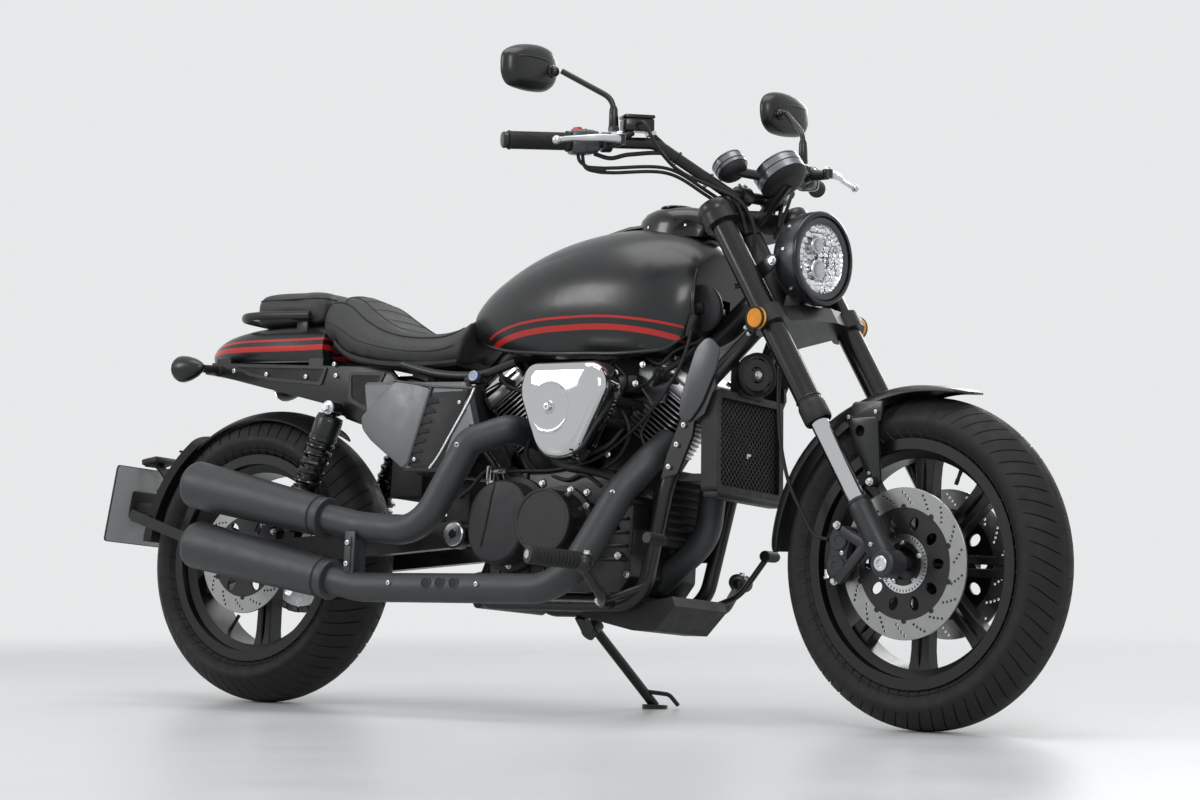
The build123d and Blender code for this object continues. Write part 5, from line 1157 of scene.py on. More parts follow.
def air_cleaner():
    """The domed cover with its disc, and the posts and plate behind it."""
    cx, cz = AIR_CENTRE
    outline = eased([(cx - 84, cz + 90), (cx + 88, cz + 90), (cx + 112, cz + 40), (cx + 42, cz - 101),
                     (cx - 42, cz - 101), (cx - 100, cz + 36)], 44, 10)
    rings = []
    for y, inset in ((-168, 0.06), (-171, 0.02), (-175, 0.0), (-206, 0.0), (-216, 0.016), (-224, 0.05),
                     (-230, 0.105), (-233.5, 0.17), (-235.6, 0.28), (-237, 0.46), (-237.8, 0.7)):
        rings.append([vec(cx + (p[0] - cx) * (1 - inset), y, cz + (p[1] - cz) * (1 - inset))
                      for p in outline])
    dome = skin(rings)
    middle = vec(883, -236.6, 579)
    disc = lathe([(-6, 51), (0.0, 51), (1.4, 50.2), (2.2, 48.6), (2.2, 47.0), (1.2, 45.6), (1.0, 44),
                  (1.8, 20), (2.0, 0)], middle, (0, -1, 0), 96)
    hub = lathe([(0, 13), (3, 13), (4.2, 12), (4.2, 9.6), (2.6, 8.8), (2.6, 0)], middle, (0, -1, 0), 40)
    piece("air_cleaner_cover", "chassis", "chrome", dome, disc, hub, replaces=("air_cleaner",),
          crease=26)
    piece("air_cleaner_bolt", "chassis", "machined",
          bolts([middle + vec(0, -2.4, 0)], 8.0, (0, -1, 0), dome_bolt))
    posts = [lathe([(0, 33.5), (84, 33.5)], (896, -84, 580), (0, -1, 0), 36),
             lathe([(0, 10), (102, 10)], (975, -64.5, 600), (0, -1, 0), 20),
             lathe([(0, 10), (102, 10)], (962, -64.5, 560), (0, -1, 0), 20),
             slab(eased([(cx - 76, cz + 80), (cx + 80, cz + 80), (cx + 96, cz + 36),
                         (cx + 34, cz - 90), (cx - 34, cz - 90), (cx - 88, cz + 34)], 40, 6),
                  -169, -158, 3)]
    piece("air_cleaner_posts", "chassis", "engine_black", *posts)


def clutch_cable():
    """The cable from the neck over the engine to its lever on the cover."""
    route = [(1112, -96, 768), (1104, -112, 690), (1072, -116, 628), (1008, -118, 556),
             (918, -120, 494), (824, -122, 472), (748, -126, 470), (706, -126, 470)]
    line = smooth_line(route, 10)
    piece("clutch_cable", "chassis", "rubber", tube(line, 3.4, 12))
    ends = [lathe([(0, 5.6), (26, 5.6), (28, 4.4)], route[-1], (-1, 0, 0), 16),
            tube([(690, -126, 470), (664, -126, 470)], 1.6, 8),
            brick((664, -124, 466), (12, 12, 30), 2),
            lathe([(0, 9), (20, 9)], (664, -120, 452), (0, 0, -1), 20)]
    piece("clutch_arm", "chassis", "machined", *ends)
    holder = [brick((748, -118, 460), (14, 10, 26), 2), brick((1078, -104, 640), (8, 22, 10), 2)]
    piece("cable_holders", "chassis", "frame_black", *holder)
    boot = lathe([(0, 8), (6, 9.5), (30, 7), (44, 4)], route[0], vec(-18, -16, -80), 20)
    drum = lathe([(-26, 18), (-18, 35), (-6, 44), (0, 46), (5, 44.6), (8, 40.6), (9.5, 27), (12, 21),
                  (13, 0)], (1108, -62, 786), (-0.1, -1, -0.12), 56)
    arm = brick((1114, -34, 780), (26, 44, 20), 3)
    piece("neck_drum", "chassis", "cover_grey", drum)
    piece("neck_drum_boot", "chassis", "rubber", boot,
          lathe([(0, 12), (8, 12), (12, 9), (18, 8)], (1108, -74, 785), (0.0, -1, -0.3), 24))
    piece("neck_drum_arm", "chassis", "frame_black", arm)


def lower_details():
    """The radiator's screen, core, shroud and clip, and the frame's side caps and bolts."""
    place = Matrix.Translation((1172, 0, 524)) @ Matrix.Rotation(-radians(2.86), 4, "Y")
    half_w, half_h = 104.0, 84.0
    rods = []
    pitch = 13.0
    for lean in (-1, 1):
        reach = int((half_w + half_h) / pitch)
        for number in range(-reach, reach + 1):
            shift = number * pitch
            low = max(-half_w, lean * shift - half_h)
            high = min(half_w, lean * shift + half_h)
            if high - low < 6:
                continue
            one, two = [vec(10.5, y, lean * y - shift) for y in (low, high)]
            middle, run = (one + two) / 2, two - one
            rods.append((place @ frame_at(middle, run, X_AXIS), (1.0, 1.0, run.length)))
    strand = brick((0, 0, 0), (2.2, 2.4, 1.0), 0.25)
    piece("radiator_screen", "chassis", "moulded", set_out(strand, rods))
    fins = [place @ Matrix.Translation((8.9, -100 + 8 * n, 0)) for n in range(26)]
    piece("radiator_core", "chassis", "dark_and_painted_shade",
          set_out(brick((0, 0, 0), (0.9, 1.4, 166), 0.2), fins))
    front = band_between(rounded_box(118, 98, 12), rounded_box(103.5, 83.5, 8), 16.8, 18.4)
    front.transform(place @ Matrix(((0, 0, 1, 0), (1, 0, 0, 0), (0, 1, 0, 0), (0, 0, 0, 1))))
    foot = brick(place @ vec(3, 0, -101), (34, 232, 12), 3)
    piece("radiator_shroud", "chassis", "moulded", front, foot)
    clip = [brick(place @ vec(12.5, 2, -16), (3.0, 14, 5), 1),
            brick(place @ vec(12.5, -3, -19), (3.0, 5, 9), 1)]
    piece("radiator_clip", "chassis", "machined", *clip)
    for side, label in SIDES:
        cap = slab(eased([(1196, 700), (1168, 722), (1142, 700), (1112, 606), (1110, 566), (1132, 556),
                          (1160, 590), (1192, 664)], 14, 5), side * 127.2, side * 132.5, 2.2, steps=3)
        piece(f"{label}_frame_cap", "chassis", "cap_grey", cap)
    spots = [(1122, -127.2, 553), (1108, -127.2, 516), (1092, -127.2, 474)]
    piece("frame_plate_bolts", "chassis", "machined", both(bolts(spots, 5.5, (0, -1, 0))))


def exhaust_details():
    """Muffler mouths and seams, the heat shield's eyes and screws, and the clamp."""
    for label, (rear, front), y in (("upper", ((-44, 442), (322, 371)), -212),
                                    ("lower", ((-20, 316), (356, 246)), -226)):
        foot, head = vec(rear[0], y, rear[1]), vec(front[0], y, front[1])
        way = (head - foot).normalized()
        collar = lathe([(-1, 41.2), (2, 41.4), (5, 39.8), (6, 31)], head, way, 64)
        seam = lathe([(-18.6, 42.2), (-18.6, 42.9), (-16.4, 42.7), (-16.4, 42.0)], head, way, 64,
                     ring=True)
        bore = lathe([(0.6, 44), (-0.4, 43), (-0.8, 36), (0, 30.4), (40, 29.6), (68, 29.6), (68, 26),
                      (40, 27), (1.4, 28.4), (1.4, 44)], foot, way, 64, ring=True)
        piece(label + "_muffler_collar", "chassis", "exhaust_grey", collar, bore)
        piece(label + "_muffler_seam", "chassis", "dark_and_painted_shade", seam)
    spots = ((622, -254.6, 240), (656, -254.6, 240.5), (690, -254.6, 240.5))
    holes = [lathe([(-4, 11.6), (1.0, 11.6), (1.6, 10.8), (1.6, 9.8), (-4, 9.8)], spot, (0, -1, 0), 32,
                   ring=True) for spot in spots]
    # near-black discs closing the shield's eyes: painted shade in the holes
    shade_patches = [lathe([(-3, 10), (0.7, 10)], spot, (0, -1, 0), 32) for spot in spots]
    piece("heat_shield_eyes", "chassis", "exhaust_grey", *holes)
    piece("heat_shield_holes", "chassis", "dark_and_painted_shade", *shade_patches)
    screws = [(530, -253.4, 239), (747, -253.8, 239)]
    piece("exhaust_screws", "chassis", "machined", bolts(screws, 5.0, (0, -1, 0)),
          bolts([(649, -213, 514)], 5.4, (0.1, -1, -0.2)), bolts([(1008, -187, 420)], 5.4, (0.2, -1, 0)))
    strap = [brick((414, -241, 296), (26, 5, 92), 2), brick((414, -244, 296), (12, 5, 70), 2)]
    piece("muffler_clamp", "chassis", "exhaust_grey", *strap)
    piece("muffler_clamp_bolt", "chassis", "machined",
          bolts([(414, -246.5, 318), (414, -246.5, 276)], 5.5, (0, -1, 0)))


engine_covers()
cylinders()
intake()
air_cleaner()
clutch_cable()
lower_details()
exhaust_details()


# ------------------------------------------------------------------ seat and tail
COVER_GRAIN = 0.006        # metres between the points of a seat cover
COVER_PRESSURE, COVER_STIFFNESS = 4.0, 30.0
PUFF_FRAMES = 20


def inflated(name, shape, body, replaces, rise):
    """A padded cover: the form is remeshed, puffed a little and smoothed."""
    shape.transform(PLACE[body])
    outward(shape)
    obj = loose_object(name, shape, "seat_cover")
    grain = obj.modifiers.new("grain", "REMESH")
    grain.mode = "VOXEL"
    grain.voxel_size = COVER_GRAIN
    done = taken(obj)
    before = [vert.co.copy() for vert in done.verts]
    obj = loose_object(name, done, "seat_cover")
    puff = obj.modifiers.new("puff", "CLOTH")
    puff.settings.use_pressure = True
    puff.settings.uniform_pressure_force = COVER_PRESSURE
    puff.settings.tension_stiffness = COVER_STIFFNESS
    puff.settings.compression_stiffness = COVER_STIFFNESS
    puff.settings.effector_weights.gravity = 0.0
    puff.point_cache.frame_start, puff.point_cache.frame_end = 1, PUFF_FRAMES
    for frame_number in range(1, PUFF_FRAMES + 1):
        bpy.context.scene.frame_set(frame_number)
    done = taken(obj)
    for vert, start in zip(done.verts, before):
        move = vert.co - start
        if move.length > rise:
            vert.co = start + move.normalized() * rise
    obj = loose_object(name, done, "seat_cover")
    bpy.context.scene.frame_set(1)
    calm = obj.modifiers.new("calm", "SMOOTH")
    calm.factor, calm.iterations = 0.5, 8
    finer = obj.modifiers.new("finer", "SUBSURF")
    finer.levels = finer.render_levels = 1
    done = taken(obj)
    for face in done.faces:
        face.smooth = True
    obj = loose_object(name, done, "seat_cover")
    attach(obj, body)
    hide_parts(*replaces)
    return obj


def laid_on(obj, aims, lift):
    """Where rays on the bike meet a piece; lift is the height over its surface."""
    tree = BVHTree.FromObject(obj, bpy.context.evaluated_depsgraph_get())
    made = []
    for start, way in aims:
        origin = BIKE @ start
        toward = (BIKE.to_3x3() @ way).normalized()
        spot = tree.ray_cast(origin, toward)[0]
        if spot is not None:
            made.append(BIKE.inverted() @ (spot - toward * lift * 0.001))
    return made


def profile_ring(x, half_foot, z_foot, half_mid, z_mid, half_top, z_top, z_crown):
    """One cross-section of a body panel, as the solids have them, rounded."""
    corners = [vec(x, half_foot, z_foot), vec(x, half_mid, z_mid), vec(x, half_top, z_top),
               vec(x, 0, z_crown)]
    return eased(corners + flipped(corners[-2::-1]), 26, 4)


RING_POINTS = 64


def resampled(ring):
    """The same closed line with evenly set points, from its first one."""
    total = sum((two - one).length for one, two in zip(ring, ring[1:] + ring[:1]))
    made, walked, goal = [], 0.0, 0.0
    for one, two in zip(ring, ring[1:] + ring[:1]):
        run = (two - one).length
        while goal <= walked + run and len(made) < RING_POINTS:
            made.append(one.lerp(two, (goal - walked) / run if run else 0))
            goal += total / RING_POINTS
        walked += run
    return made


def between(rows, steps=6):
    """Section rows set closer by a smooth curve through each of their numbers."""
    made = []
    lines = [smooth_line([(row[0], value, 0) for row, value in zip(rows, column)], steps)
             for column in list(zip(*rows))[1:]]
    for index in range(len(lines[0])):
        made.append((lines[0][index].x, *[line[index].y for line in lines]))
    return made


# the seat's sections: x, then half widths and heights at its foot, middle and top, and its crown
SEAT_ROWS = [
    (178, 72, 786, 84, 806, 66, 832, 842),
    (190, 96, 760, 106, 796, 80, 842, 854),
    (222, 108, 744, 124, 788, 84, 844, 858),
    (256, 118, 722, 136, 774, 90, 834, 842),
    (300, 130, 706, 146, 752, 100, 804, 806),
    (350, 136, 696, 151, 738, 102, 776, 774),
    (400, 138, 690, 152, 728, 104, 760, 757),
    (450, 134, 688, 148, 722, 100, 754, 750),
    (500, 124, 689, 138, 722, 92, 757, 753),
    (530, 108, 692, 118, 732, 78, 774, 774),
    (549, 96, 696, 106, 746, 66, 794, 803)]


def seat():
    """The rider's seat and the pillion pad, with seams laid on their finished surfaces."""
    rings = [resampled(profile_ring(*row)) for row in between(SEAT_ROWS, 3)]
    cover = inflated("seat_pad", skin(rings), "chassis", ("rider_seat",), 0.006)
    seams = []
    rows = between(SEAT_ROWS, 4)
    for side in (-1, 1):
        wall = [(vec(row[0], side * 260, row[4] + 0.78 * (row[6] - row[4])), vec(0, -side, 0))
                for row in rows[5:-3]]
        seams.append(tube(laid_on(cover, wall, 0.4), 1.9, 8))
        low = [(vec(row[0], side * 260, row[4] - 6), vec(0, -side, 0)) for row in rows[5:-3]]
        seams.append(tube(laid_on(cover, low, 0.2), 1.3, 8))
        top = [(vec(row[0], side * row[5] * 0.66, 1000), vec(0, 0, -1)) for row in rows[7:-5]]
        seams.append(tube(laid_on(cover, top, 0.2), 1.2, 8))
    for x, reach in ((236, 54), (262, 58), (292, 62), (326, 66), (362, 68), (402, 68)):
        across = [(vec(x - 6 * cos(y / reach * 1.4), y, 1000), vec(0, 0, -1)) for y in
                  [reach * (n / 10 - 1) for n in range(21)]]
        seams.append(tube(laid_on(cover, across, -0.2), 1.1, 8))
    arc = [(vec(214 + 20 * (1 - cos(y / 92 * 1.5)), y, 1000), vec(0, 0, -1))
           for y in range(-84, 85, 7)]
    seams.append(tube(laid_on(cover, arc, 0.4), 1.7, 8))
    piece("seat_piping", "chassis", "rubber", *seams)
    base = [resampled(profile_ring(x, a - 3, b - 7, a + 1, b + 6, a - 10, b + 10, b + 9))
            for x, a, b, _, _, _, _, _ in between(SEAT_ROWS, 3)[6:-1]]
    piece("seat_base", "chassis", "moulded", skin(base))
    pad = [[vec(p[0] + 70, p[1], z) for p in rounded_box(98 - s, 83 - s, 30)]
           for z, s in ((793, 3), (797, 0.5), (806, 0), (836, 0), (848, 3), (855, 8), (859, 17),
                        (860.5, 30))]
    cover = inflated("pillion_cover", skin(pad), "chassis", ("pillion_pad",), 0.004)
    hem = [(vec(70, 0, 846) + vec(p[0], p[1], 0) * 2, -vec(p[0], p[1], 0).normalized())
           for p in rounded_box(98.5, 83.5, 30, 8)]
    line = laid_on(cover, hem, 0.3)
    piece("pillion_piping", "chassis", "rubber", tube(line + line[:1], 1.5, 8))


TAIL_SCREWS = [(-52, 694), (40, 684), (150, 676), (232, 676), (226, 700), (-96, 701)]


def tail():
    """Side plate frames and bolts, turn signals, the tail lamp, the grab rail and shock washers."""
    windows, shade_patches, screws = [], [], []
    for side in (-1, 1):
        y = side * 98.0
        outer = [(-122, 712), (366, 689), (392, 661), (299, 577), (263, 589), (234, 614), (-122, 691)]
        rim = slab(eased(outer, 5, 3), y - side * 0.5, y + side * 2.2, 1.2)
        recess = eased([(-44, 702), (198, 691), (184, 664), (60, 676), (-4, 688)], 4, 3)
        lip = eased([(-52, 706), (206, 695), (192, 657), (58, 670), (-14, 683)], 6, 3)
        hole = eased([(272, 676), (352, 673), (316, 610), (276, 628)], 6, 3)
        hole_lip = eased([(264, 683), (364, 680), (320, 598), (268, 622)], 8, 3)
        for wide, narrow, depth in ((lip, recess, 5.2), (hole_lip, hole, 4.8)):
            frame_bar = band_between(wide, narrow, *sorted((y + side * 1.4, y + side * depth)))
            frame_bar.transform(SIDE_VIEW)
            windows.append(frame_bar)
        # near-black slabs set into each plate's recess and hole: painted shade
        for dark in (recess, hole):
            shade_patches.append(slab(dark, *sorted((y + side * 1.8, y + side * 2.8)), 0.0))
        windows.append(rim)
        screws.append(bolts([(x, side * 101.5, z) for x, z in TAIL_SCREWS], 5.0, (0, side, 0)))
    piece("tail_plate_frames", "chassis", "satin_paint", *windows)
    piece("tail_plate_recesses", "chassis", "dark_and_painted_shade", *shade_patches)
    piece("tail_screws", "chassis", "machined", *screws)
    for side, label in SIDES:
        mouth = vec(-152, side * 164, 692)
        shell = lathe([(0, 24), (3, 27.5), (10, 28.5), (26, 26), (44, 20), (58, 12.5), (66, 6), (68, 0)],
                      mouth, (1, 0, 0.06), 48)
        glass = lathe([(1.0, 25), (-3, 24.5), (-7, 21), (-9.5, 14), (-10.5, 0)], mouth, (1, 0, 0.06), 48)
        stalk = tube(smooth_line([(-100, side * 99, 697), (-98, side * 118, 697),
                                  (-102, side * 146, 695)], 6), 8.5, 18, 0.8)
        boot = lathe([(-2, 13), (5, 12), (8, 9.5)], (-100, side * 100.5, 697), (0, side, 0), 24)
        piece(f"signal_{label}_shell", "chassis", "satin_paint", shell)
        piece(f"signal_{label}_lens", "chassis", "smoke_lens", glass)
        piece(f"signal_{label}_stalk", "chassis", "rubber", stalk, boot)
    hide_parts("rear_lamps")
    lamp = eased_slab([(-149, 700), (-122, 706), (-122, 690), (-145, 690)], 5, -94, 94, 3)
    glow = eased_slab([(-151, 699), (-147, 702), (-144, 691), (-149, 691)], 2, -88, 88, 0.8)
    piece("tail_lamp_body", "chassis", "gloss_black", lamp)
    piece("tail_lamp_lens", "chassis", "red_cap", glow)
    bar = [vec(150, -104, 810), vec(20, -106, 813), vec(-34, -98, 813), vec(-66, -70, 813),
           vec(-72, -20, 813)]
    line = eased(bar + flipped(bar[::-1]), 40, 8, closed=False)
    rail = tube([p - vec(0, 0, 3) for p in line], 8.4, 20, 0.72)
    lugs = [brick((116, side * 91, 804), (44, 22, 9), 3) for side in (-1, 1)]
    posts = [brick((116, side * 84, 786), (30, 7, 46), 2) for side in (-1, 1)]
    piece("grab_rail_bar", "chassis", "frame_black", rail, *lugs, *posts, replaces=("grab_rail",))
    piece("grab_rail_screws", "chassis", "machined",
          bolts([(x, y, 809) for x in (106, 126) for y in (-92, 92)], 4.6, (0, 0, 1)))
    eyes = lathe([(0, 15), (5, 15), (6, 13.5)], (250, -140, 604), (0, -1, 0), 30)
    piece("shock_top_washers", "chassis", "machined", both(eyes),
          bolts([(250, -146, 604)], 9.5, (0, -1, 0), hex_bolt),
          bolts([(250, 146, 604)], 9.5, (0, 1, 0), hex_bolt))


def shocks():
    """Caps, springs, cores and foot bolts of both shock absorbers."""
    top, foot = vec(250, -126, 604), vec(158, -126, 366)
    way = (foot - top).normalized()
    length = (foot - top).length
    cap = lathe([(15, 12), (17, 23), (21, 27), (26, 28.4), (54, 28.4), (60, 27.6), (62, 24)],
                top, way, 48)
    seat_ring = lathe([(0, 22), (0, 27.6), (7, 27.6), (9, 26), (9, 22)], top + way * (length - 52),
                      way, 48, ring=True)
    collar = lathe([(60, 20), (60, 29.2), (67, 29.2), (69, 27), (69, 20)], top, way, 48, ring=True)
    spring = coil(top + way * 66, top + way * (length - 46), 8.2, 25.0, 4.4, "gloss_black")
    lugs = lathe([(-15, 9), (-15, 17.5), (15, 17.5), (15, 9)], foot, (0, 1, 0), 40, ring=True)
    shapes = [both(shape) for shape in (cap, seat_ring, collar, lugs)]
    piece("shock_caps", "chassis", "satin_paint", *shapes)
    piece("shock_springs", "chassis", "gloss_black", both(spring))
    core = lathe([(60, 16), (length - 40, 16)], top, way, 30)
    piece("shock_cores", "chassis", "moulded", both(core))
    piece("shock_foot_bolts", "chassis", "machined",
          bolts([(158, -141, 366)], 8.5, (0, -1, 0), hex_bolt),
          bolts([(158, 141, 366)], 8.5, (0, 1, 0), hex_bolt))


PANEL_FACE = 160.0         # how far out the side panels' faces are


def side_panels():
    """Grey panels with a dark toothed strip and polished edges, and the lock."""
    outline = eased([(355, 580), (436, 650), (470, 650), (532, 634), (482, 482), (470, 474),
                     (384, 532), (360, 556)], 9, 4)
    strip = eased([(534, 626), (628, 628), (604, 570), (588, 532), (566, 476), (486, 476)], 7, 4)
    for side, label in SIDES:
        y = side * PANEL_FACE

        def level(low, high, side=side, y=y):
            return sorted((y + side * low, y + side * high))

        panel = slab(outline, *level(-3, 3.6), 2.8, steps=3)
        dark = slab(strip, *level(-3, 1.2), 1.0)
        teeth = []
        for n in range(7):
            t = (n + 0.5) / 7
            x, z = 532 - 48 * t, 620 - 138 * t
            teeth.append(slab([(x, z + 9), (x + 22, z + 2), (x + 26, z - 5), (x - 3, z - 9)],
                              *level(0.6, 3.0), 0.8))
        rim = [tube([(x, y + side * 2.4, z) for x, z in line], 2.5, 10) for line in (
            [(438, 652), (534, 638), (640, 632)], [(534, 636), (484, 480)])]
        edge = tube(smooth_line([(x, y + side * 1.4, z) for x, z in
                                 ((642, 632), (628, 604), (590, 544), (562, 500), (540, 474))], 5),
                    3.0, 10)
        piece(f"side_panel_{label}", "chassis", "grey_panel", panel)
        piece(f"side_panel_{label}_strip", "chassis", "moulded", dark)
        piece(f"side_panel_{label}_teeth", "chassis", "dark_and_painted_shade", *teeth)
        piece(f"side_panel_{label}_edges", "chassis", "cap_grey", *rim)
        piece(f"side_panel_{label}_bead", "chassis", "machined", edge)
        piece(f"side_panel_{label}_screw", "chassis", "machined",
              bolts([(502, side * 161.8, 492), (608, side * 161.6, 604)], 4.2, (0, side, 0)))
    lock = lathe([(0, 10), (9, 10), (11, 8.5), (11, 0)], (628, -140, 657), (0.1, -1, 0.1), 28)
    ring = ring_bar((628.6, -151.0, 658.1), (0.1, -1, 0.1), 9, 1.6, 28, 8)
    piece("seat_lock", "chassis", "blue_cap", lock)
    piece("seat_lock_ring", "chassis", "machined", ring)
    piece("seat_lock_stay", "chassis", "frame_black", brick((616, -128, 652), (40, 22, 14), 3))
    under = [tube(smooth_line([(430, side * 128, 690), (520, side * 126, 668),
                               (620, side * 118, 664), (690, side * 96, 690)], 6), 9, 16)
             for side in (-1, 1)]
    piece("seat_rail", "chassis", "frame_black", *under)


def tank_details():
    """The flange round the tank's foot, the console's rim and lock cap."""
    rows = [(566, 52, 743), (610, 74, 727), (660, 92, 716), (730, 108, 708), (800, 119, 702),
            (880, 123, 699), (960, 125, 696), (1030, 118, 700), (1060, 112, 706), (1086, 98, 726)]
    for side, label in SIDES:
        line = smooth_line([(x, side * (half + 1.5), z - 1.0) for x, half, z in rows], 5)
        front = smooth_line([(1086, side * 99.5, 725), (1104, side * 88, 744), (1110, side * 104, 794),
                             (1106, side * 92, 840), (1098, side * 72, 872), (1090, side * 40, 894),
                             (1086, side * 12, 901)], 5)
        piece("tank_flange_" + label, "chassis", "satin_paint", tube(line + front[1:], 4.0, 12, 0.7))
    rim = [vec(1004 + 92 * cos(a), 57 * sin(a), 0) for a in [radians(n * 7.5) for n in range(48)]]
    console = []
    for height, grow in ((932, 1.0), (944, 1.0), (958, 0.98), (972, 0.93), (984, 0.82), (992, 0.64),
                         (996, 0.4), (997.5, 0.12)):
        console.append([vec(1004 + (p.x - 1004) * grow, p.y * grow, height) for p in rim])
    lid = lathe([(0, 34), (2.2, 34), (3.4, 32.4), (3.4, 12), (2.6, 11), (2.6, 0)], (996, 0, 995.4),
                (0, 0, 1), 56)
    key = lathe([(0, 9.5), (2.2, 9.5), (3.0, 8.4), (1.8, 7.4), (1.8, 0)], (996, 0, 998.4),
                (0, 0, 1), 28)
    strip = [[vec(x, y, z) for x, y, z in ((x0, -w, z0), (x0, -w * 0.8, z0 + 7), (x0, 0, z0 + 9),
                                           (x0, w * 0.8, z0 + 7), (x0, w, z0))]
             for x0, w, z0 in ((820, 22, 940), (900, 34, 955), (950, 44, 956), (1040, 42, 943),
                               (1084, 28, 921))]
    piece("tank_console_dome", "chassis", "gloss_black", skin(console), lid, crease=50)
    piece("tank_console_strip", "chassis", "gloss_black", skin(strip), crease=60)
    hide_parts("tank_console")
    piece("tank_key", "chassis", "machined", key)
    dots = [vec(1004 + 86 * cos(a), 53.4 * sin(a), 953.5) for a in
            [radians(n) for n in (-120, -60, 0, 60, 120, 180)]]
    piece("tank_console_screws", "chassis", "machined", bolts(dots, 3.6, Z_AXIS))


CHAIN_PITCH = 15.875


def chain_and_arm():
    """Chain links with their guard, and the fittings at the swinging arm's two ends."""
    rear, lead = vec(0, 97, 301), vec(656, 97, 351)
    r_rear, r_lead = 99.5, 41.5
    run = lead - rear
    slope = atan2(run.z, run.x)
    spread = acos((r_rear - r_lead) / run.length)
    path = [rear + polar(1, slope + spread + (2 * pi - 2 * spread) * n / 60) * r_rear
            for n in range(61)]
    path += [lead + polar(1, slope - spread + 2 * spread * n / 30) * r_lead for n in range(31)]
    total = sum((b - a).length for a, b in zip(path, path[1:] + path[:1]))
    count = int(total / CHAIN_PITCH / 2) * 2
    pitch = total / count
    spots, walked, goal = [], 0.0, 0.0
    for one, two in zip(path, path[1:] + path[:1]):
        part = (two - one).length
        while goal < walked + part - 1e-6 and len(spots) < count:
            spots.append(one.lerp(two, (goal - walked) / part))
            goal += pitch
        walked += part
    link_line = circle((-pitch / 2, 0), 6.4, 14, 70, 220) + circle((pitch / 2, 0), 6.4, 14, -110, 220)
    outer = joined(slab(link_line, 5.2, 7.2, 0.3), slab(link_line, -7.2, -5.2, 0.3))
    inner = joined(slab(link_line, 2.8, 4.8, 0.3), slab(link_line, -4.8, -2.8, 0.3))
    pin = lathe([(-7.9, 2.3), (-7.9, 2.8), (7.9, 2.8), (7.9, 2.3)], (0, 0, 0), Y_AXIS, 12)
    roller = lathe([(-3.4, 4.4), (3.4, 4.4)], (0, 0, 0), Y_AXIS, 14)
    groups = {0: [], 1: []}
    pins = []
    for index, (one, two) in enumerate(zip(spots, spots[1:] + spots[:1])):
        way = two - one
        turn = Matrix.Rotation(-atan2(way.z, way.x), 4, "Y")
        groups[index % 2].append(Matrix.Translation((one + two) / 2) @ turn)
        pins.append(Matrix.Translation(one))
    chain = [set_out(outer, groups[0]), set_out(inner, groups[1]), set_out(joined(pin, roller), pins)]
    lead_cog = lathe([(-3.5, 10), (-3.5, 36), (3.5, 36), (3.5, 10)], lead, Y_AXIS, 40, ring=True)
    piece("chain_links", "chassis", "chain_steel", *chain, lead_cog, replaces=("drive_chain",))
    guard_line = [(70, 412), (560, 396), (600, 384), (600, 372), (560, 382), (72, 396)]
    piece("chain_guard", "chassis", "moulded", eased_slab(guard_line, 8, 84, 118, 2.5))
    shapes = []
    for side in (-1, 1):
        shapes += [lathe([(0, 19), (6, 19), (8, 17), (8, 10)], (0, side * 145.5, 301), (0, side, 0), 6),
                   brick((-34, side * 135.5, 302), (34, 5, 26), 2)]
    piece("axle_nuts", "chassis", "machined", *shapes)
    piece("axle_adjusters", "chassis", "machined",
          *[tube([(-50, y, 302), (-66, y, 302)], 4, 10) for y in (-134, 134)])
    caps = [lathe([(0, 24), (3, 24), (5, 22), (5, 10), (3.5, 9)], (590, side * 134, 345),
                  (0, side, 0), 40) for side in (-1, 1)]
    piece("pivot_caps", "chassis", "machined", *caps)


PLATE_TILT = 9.1


def plate_and_flap():
    """The flap's ribs, the blank number plate with its border and carrier, and its lamp."""
    ribs = [brick(REAR_HUB + polar(329.6, angle), (3.2, 118, 5), 1.2, Matrix.Rotation(-angle, 4, "Y"))
            for angle in [radians(136 + 9 * n) for n in range(5)]]
    piece("flap_ribs", "chassis", "moulded", *ribs)
    plate_mid = vec(-384, 0, 498) + vec(-0.158, 0, -0.987) * 84
    turn = Matrix.Rotation(-radians(PLATE_TILT), 4, "Y")
    sheet = slab(rounded_box(94, 83, 9), -1.6, 1.2, 0.7, Matrix.Identity(4))
    back_sheet = slab(rounded_box(38, 30, 8), 1.4, 9.0, 2, Matrix.Identity(4))
    facing = (Matrix.Translation(plate_mid + vec(1.2, 0, 0.2)) @ turn.inverted()
              @ Matrix(((0, 0, -1, 0), (1, 0, 0, 0), (0, 1, 0, 0), (0, 0, 0, 1))))
    border = band_between(rounded_box(95.5, 84.5, 9), rounded_box(92.5, 81.5, 7), -1.4, 2.2)
    for shape in (sheet, back_sheet, border):
        shape.transform(facing)
    back_sheet.transform(Matrix.Translation((10.4, 0, 1.6)))
    held = brick((-330, 0, 412), (100, 70, 18), 4)
    piece("number_plate", "chassis", "plate", sheet)
    piece("plate_carrier", "chassis", "moulded", back_sheet, held)
    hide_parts("plate_holder")
    piece("plate_border", "chassis", "moulded", border)
    piece("plate_screws", "chassis", "machined",
          bolts([facing @ vec(y, 68, 1.2) for y in (-58, 58)], 4.6, (-0.987, 0, 0.158)))
    lamp = brick((-352, 0, 514), (46, 66, 14), 4, turn)
    glass = brick((-358, 0, 506), (28, 50, 5), 1.5, turn)
    arm = tube(smooth_line([(-300, 0, 440), (-330, 0, 486), (-352, 0, 506)], 6), 9, 16)
    piece("plate_lamp", "chassis", "moulded", lamp, arm)
    piece("plate_lamp_glass", "chassis", "clear_lens", glass)


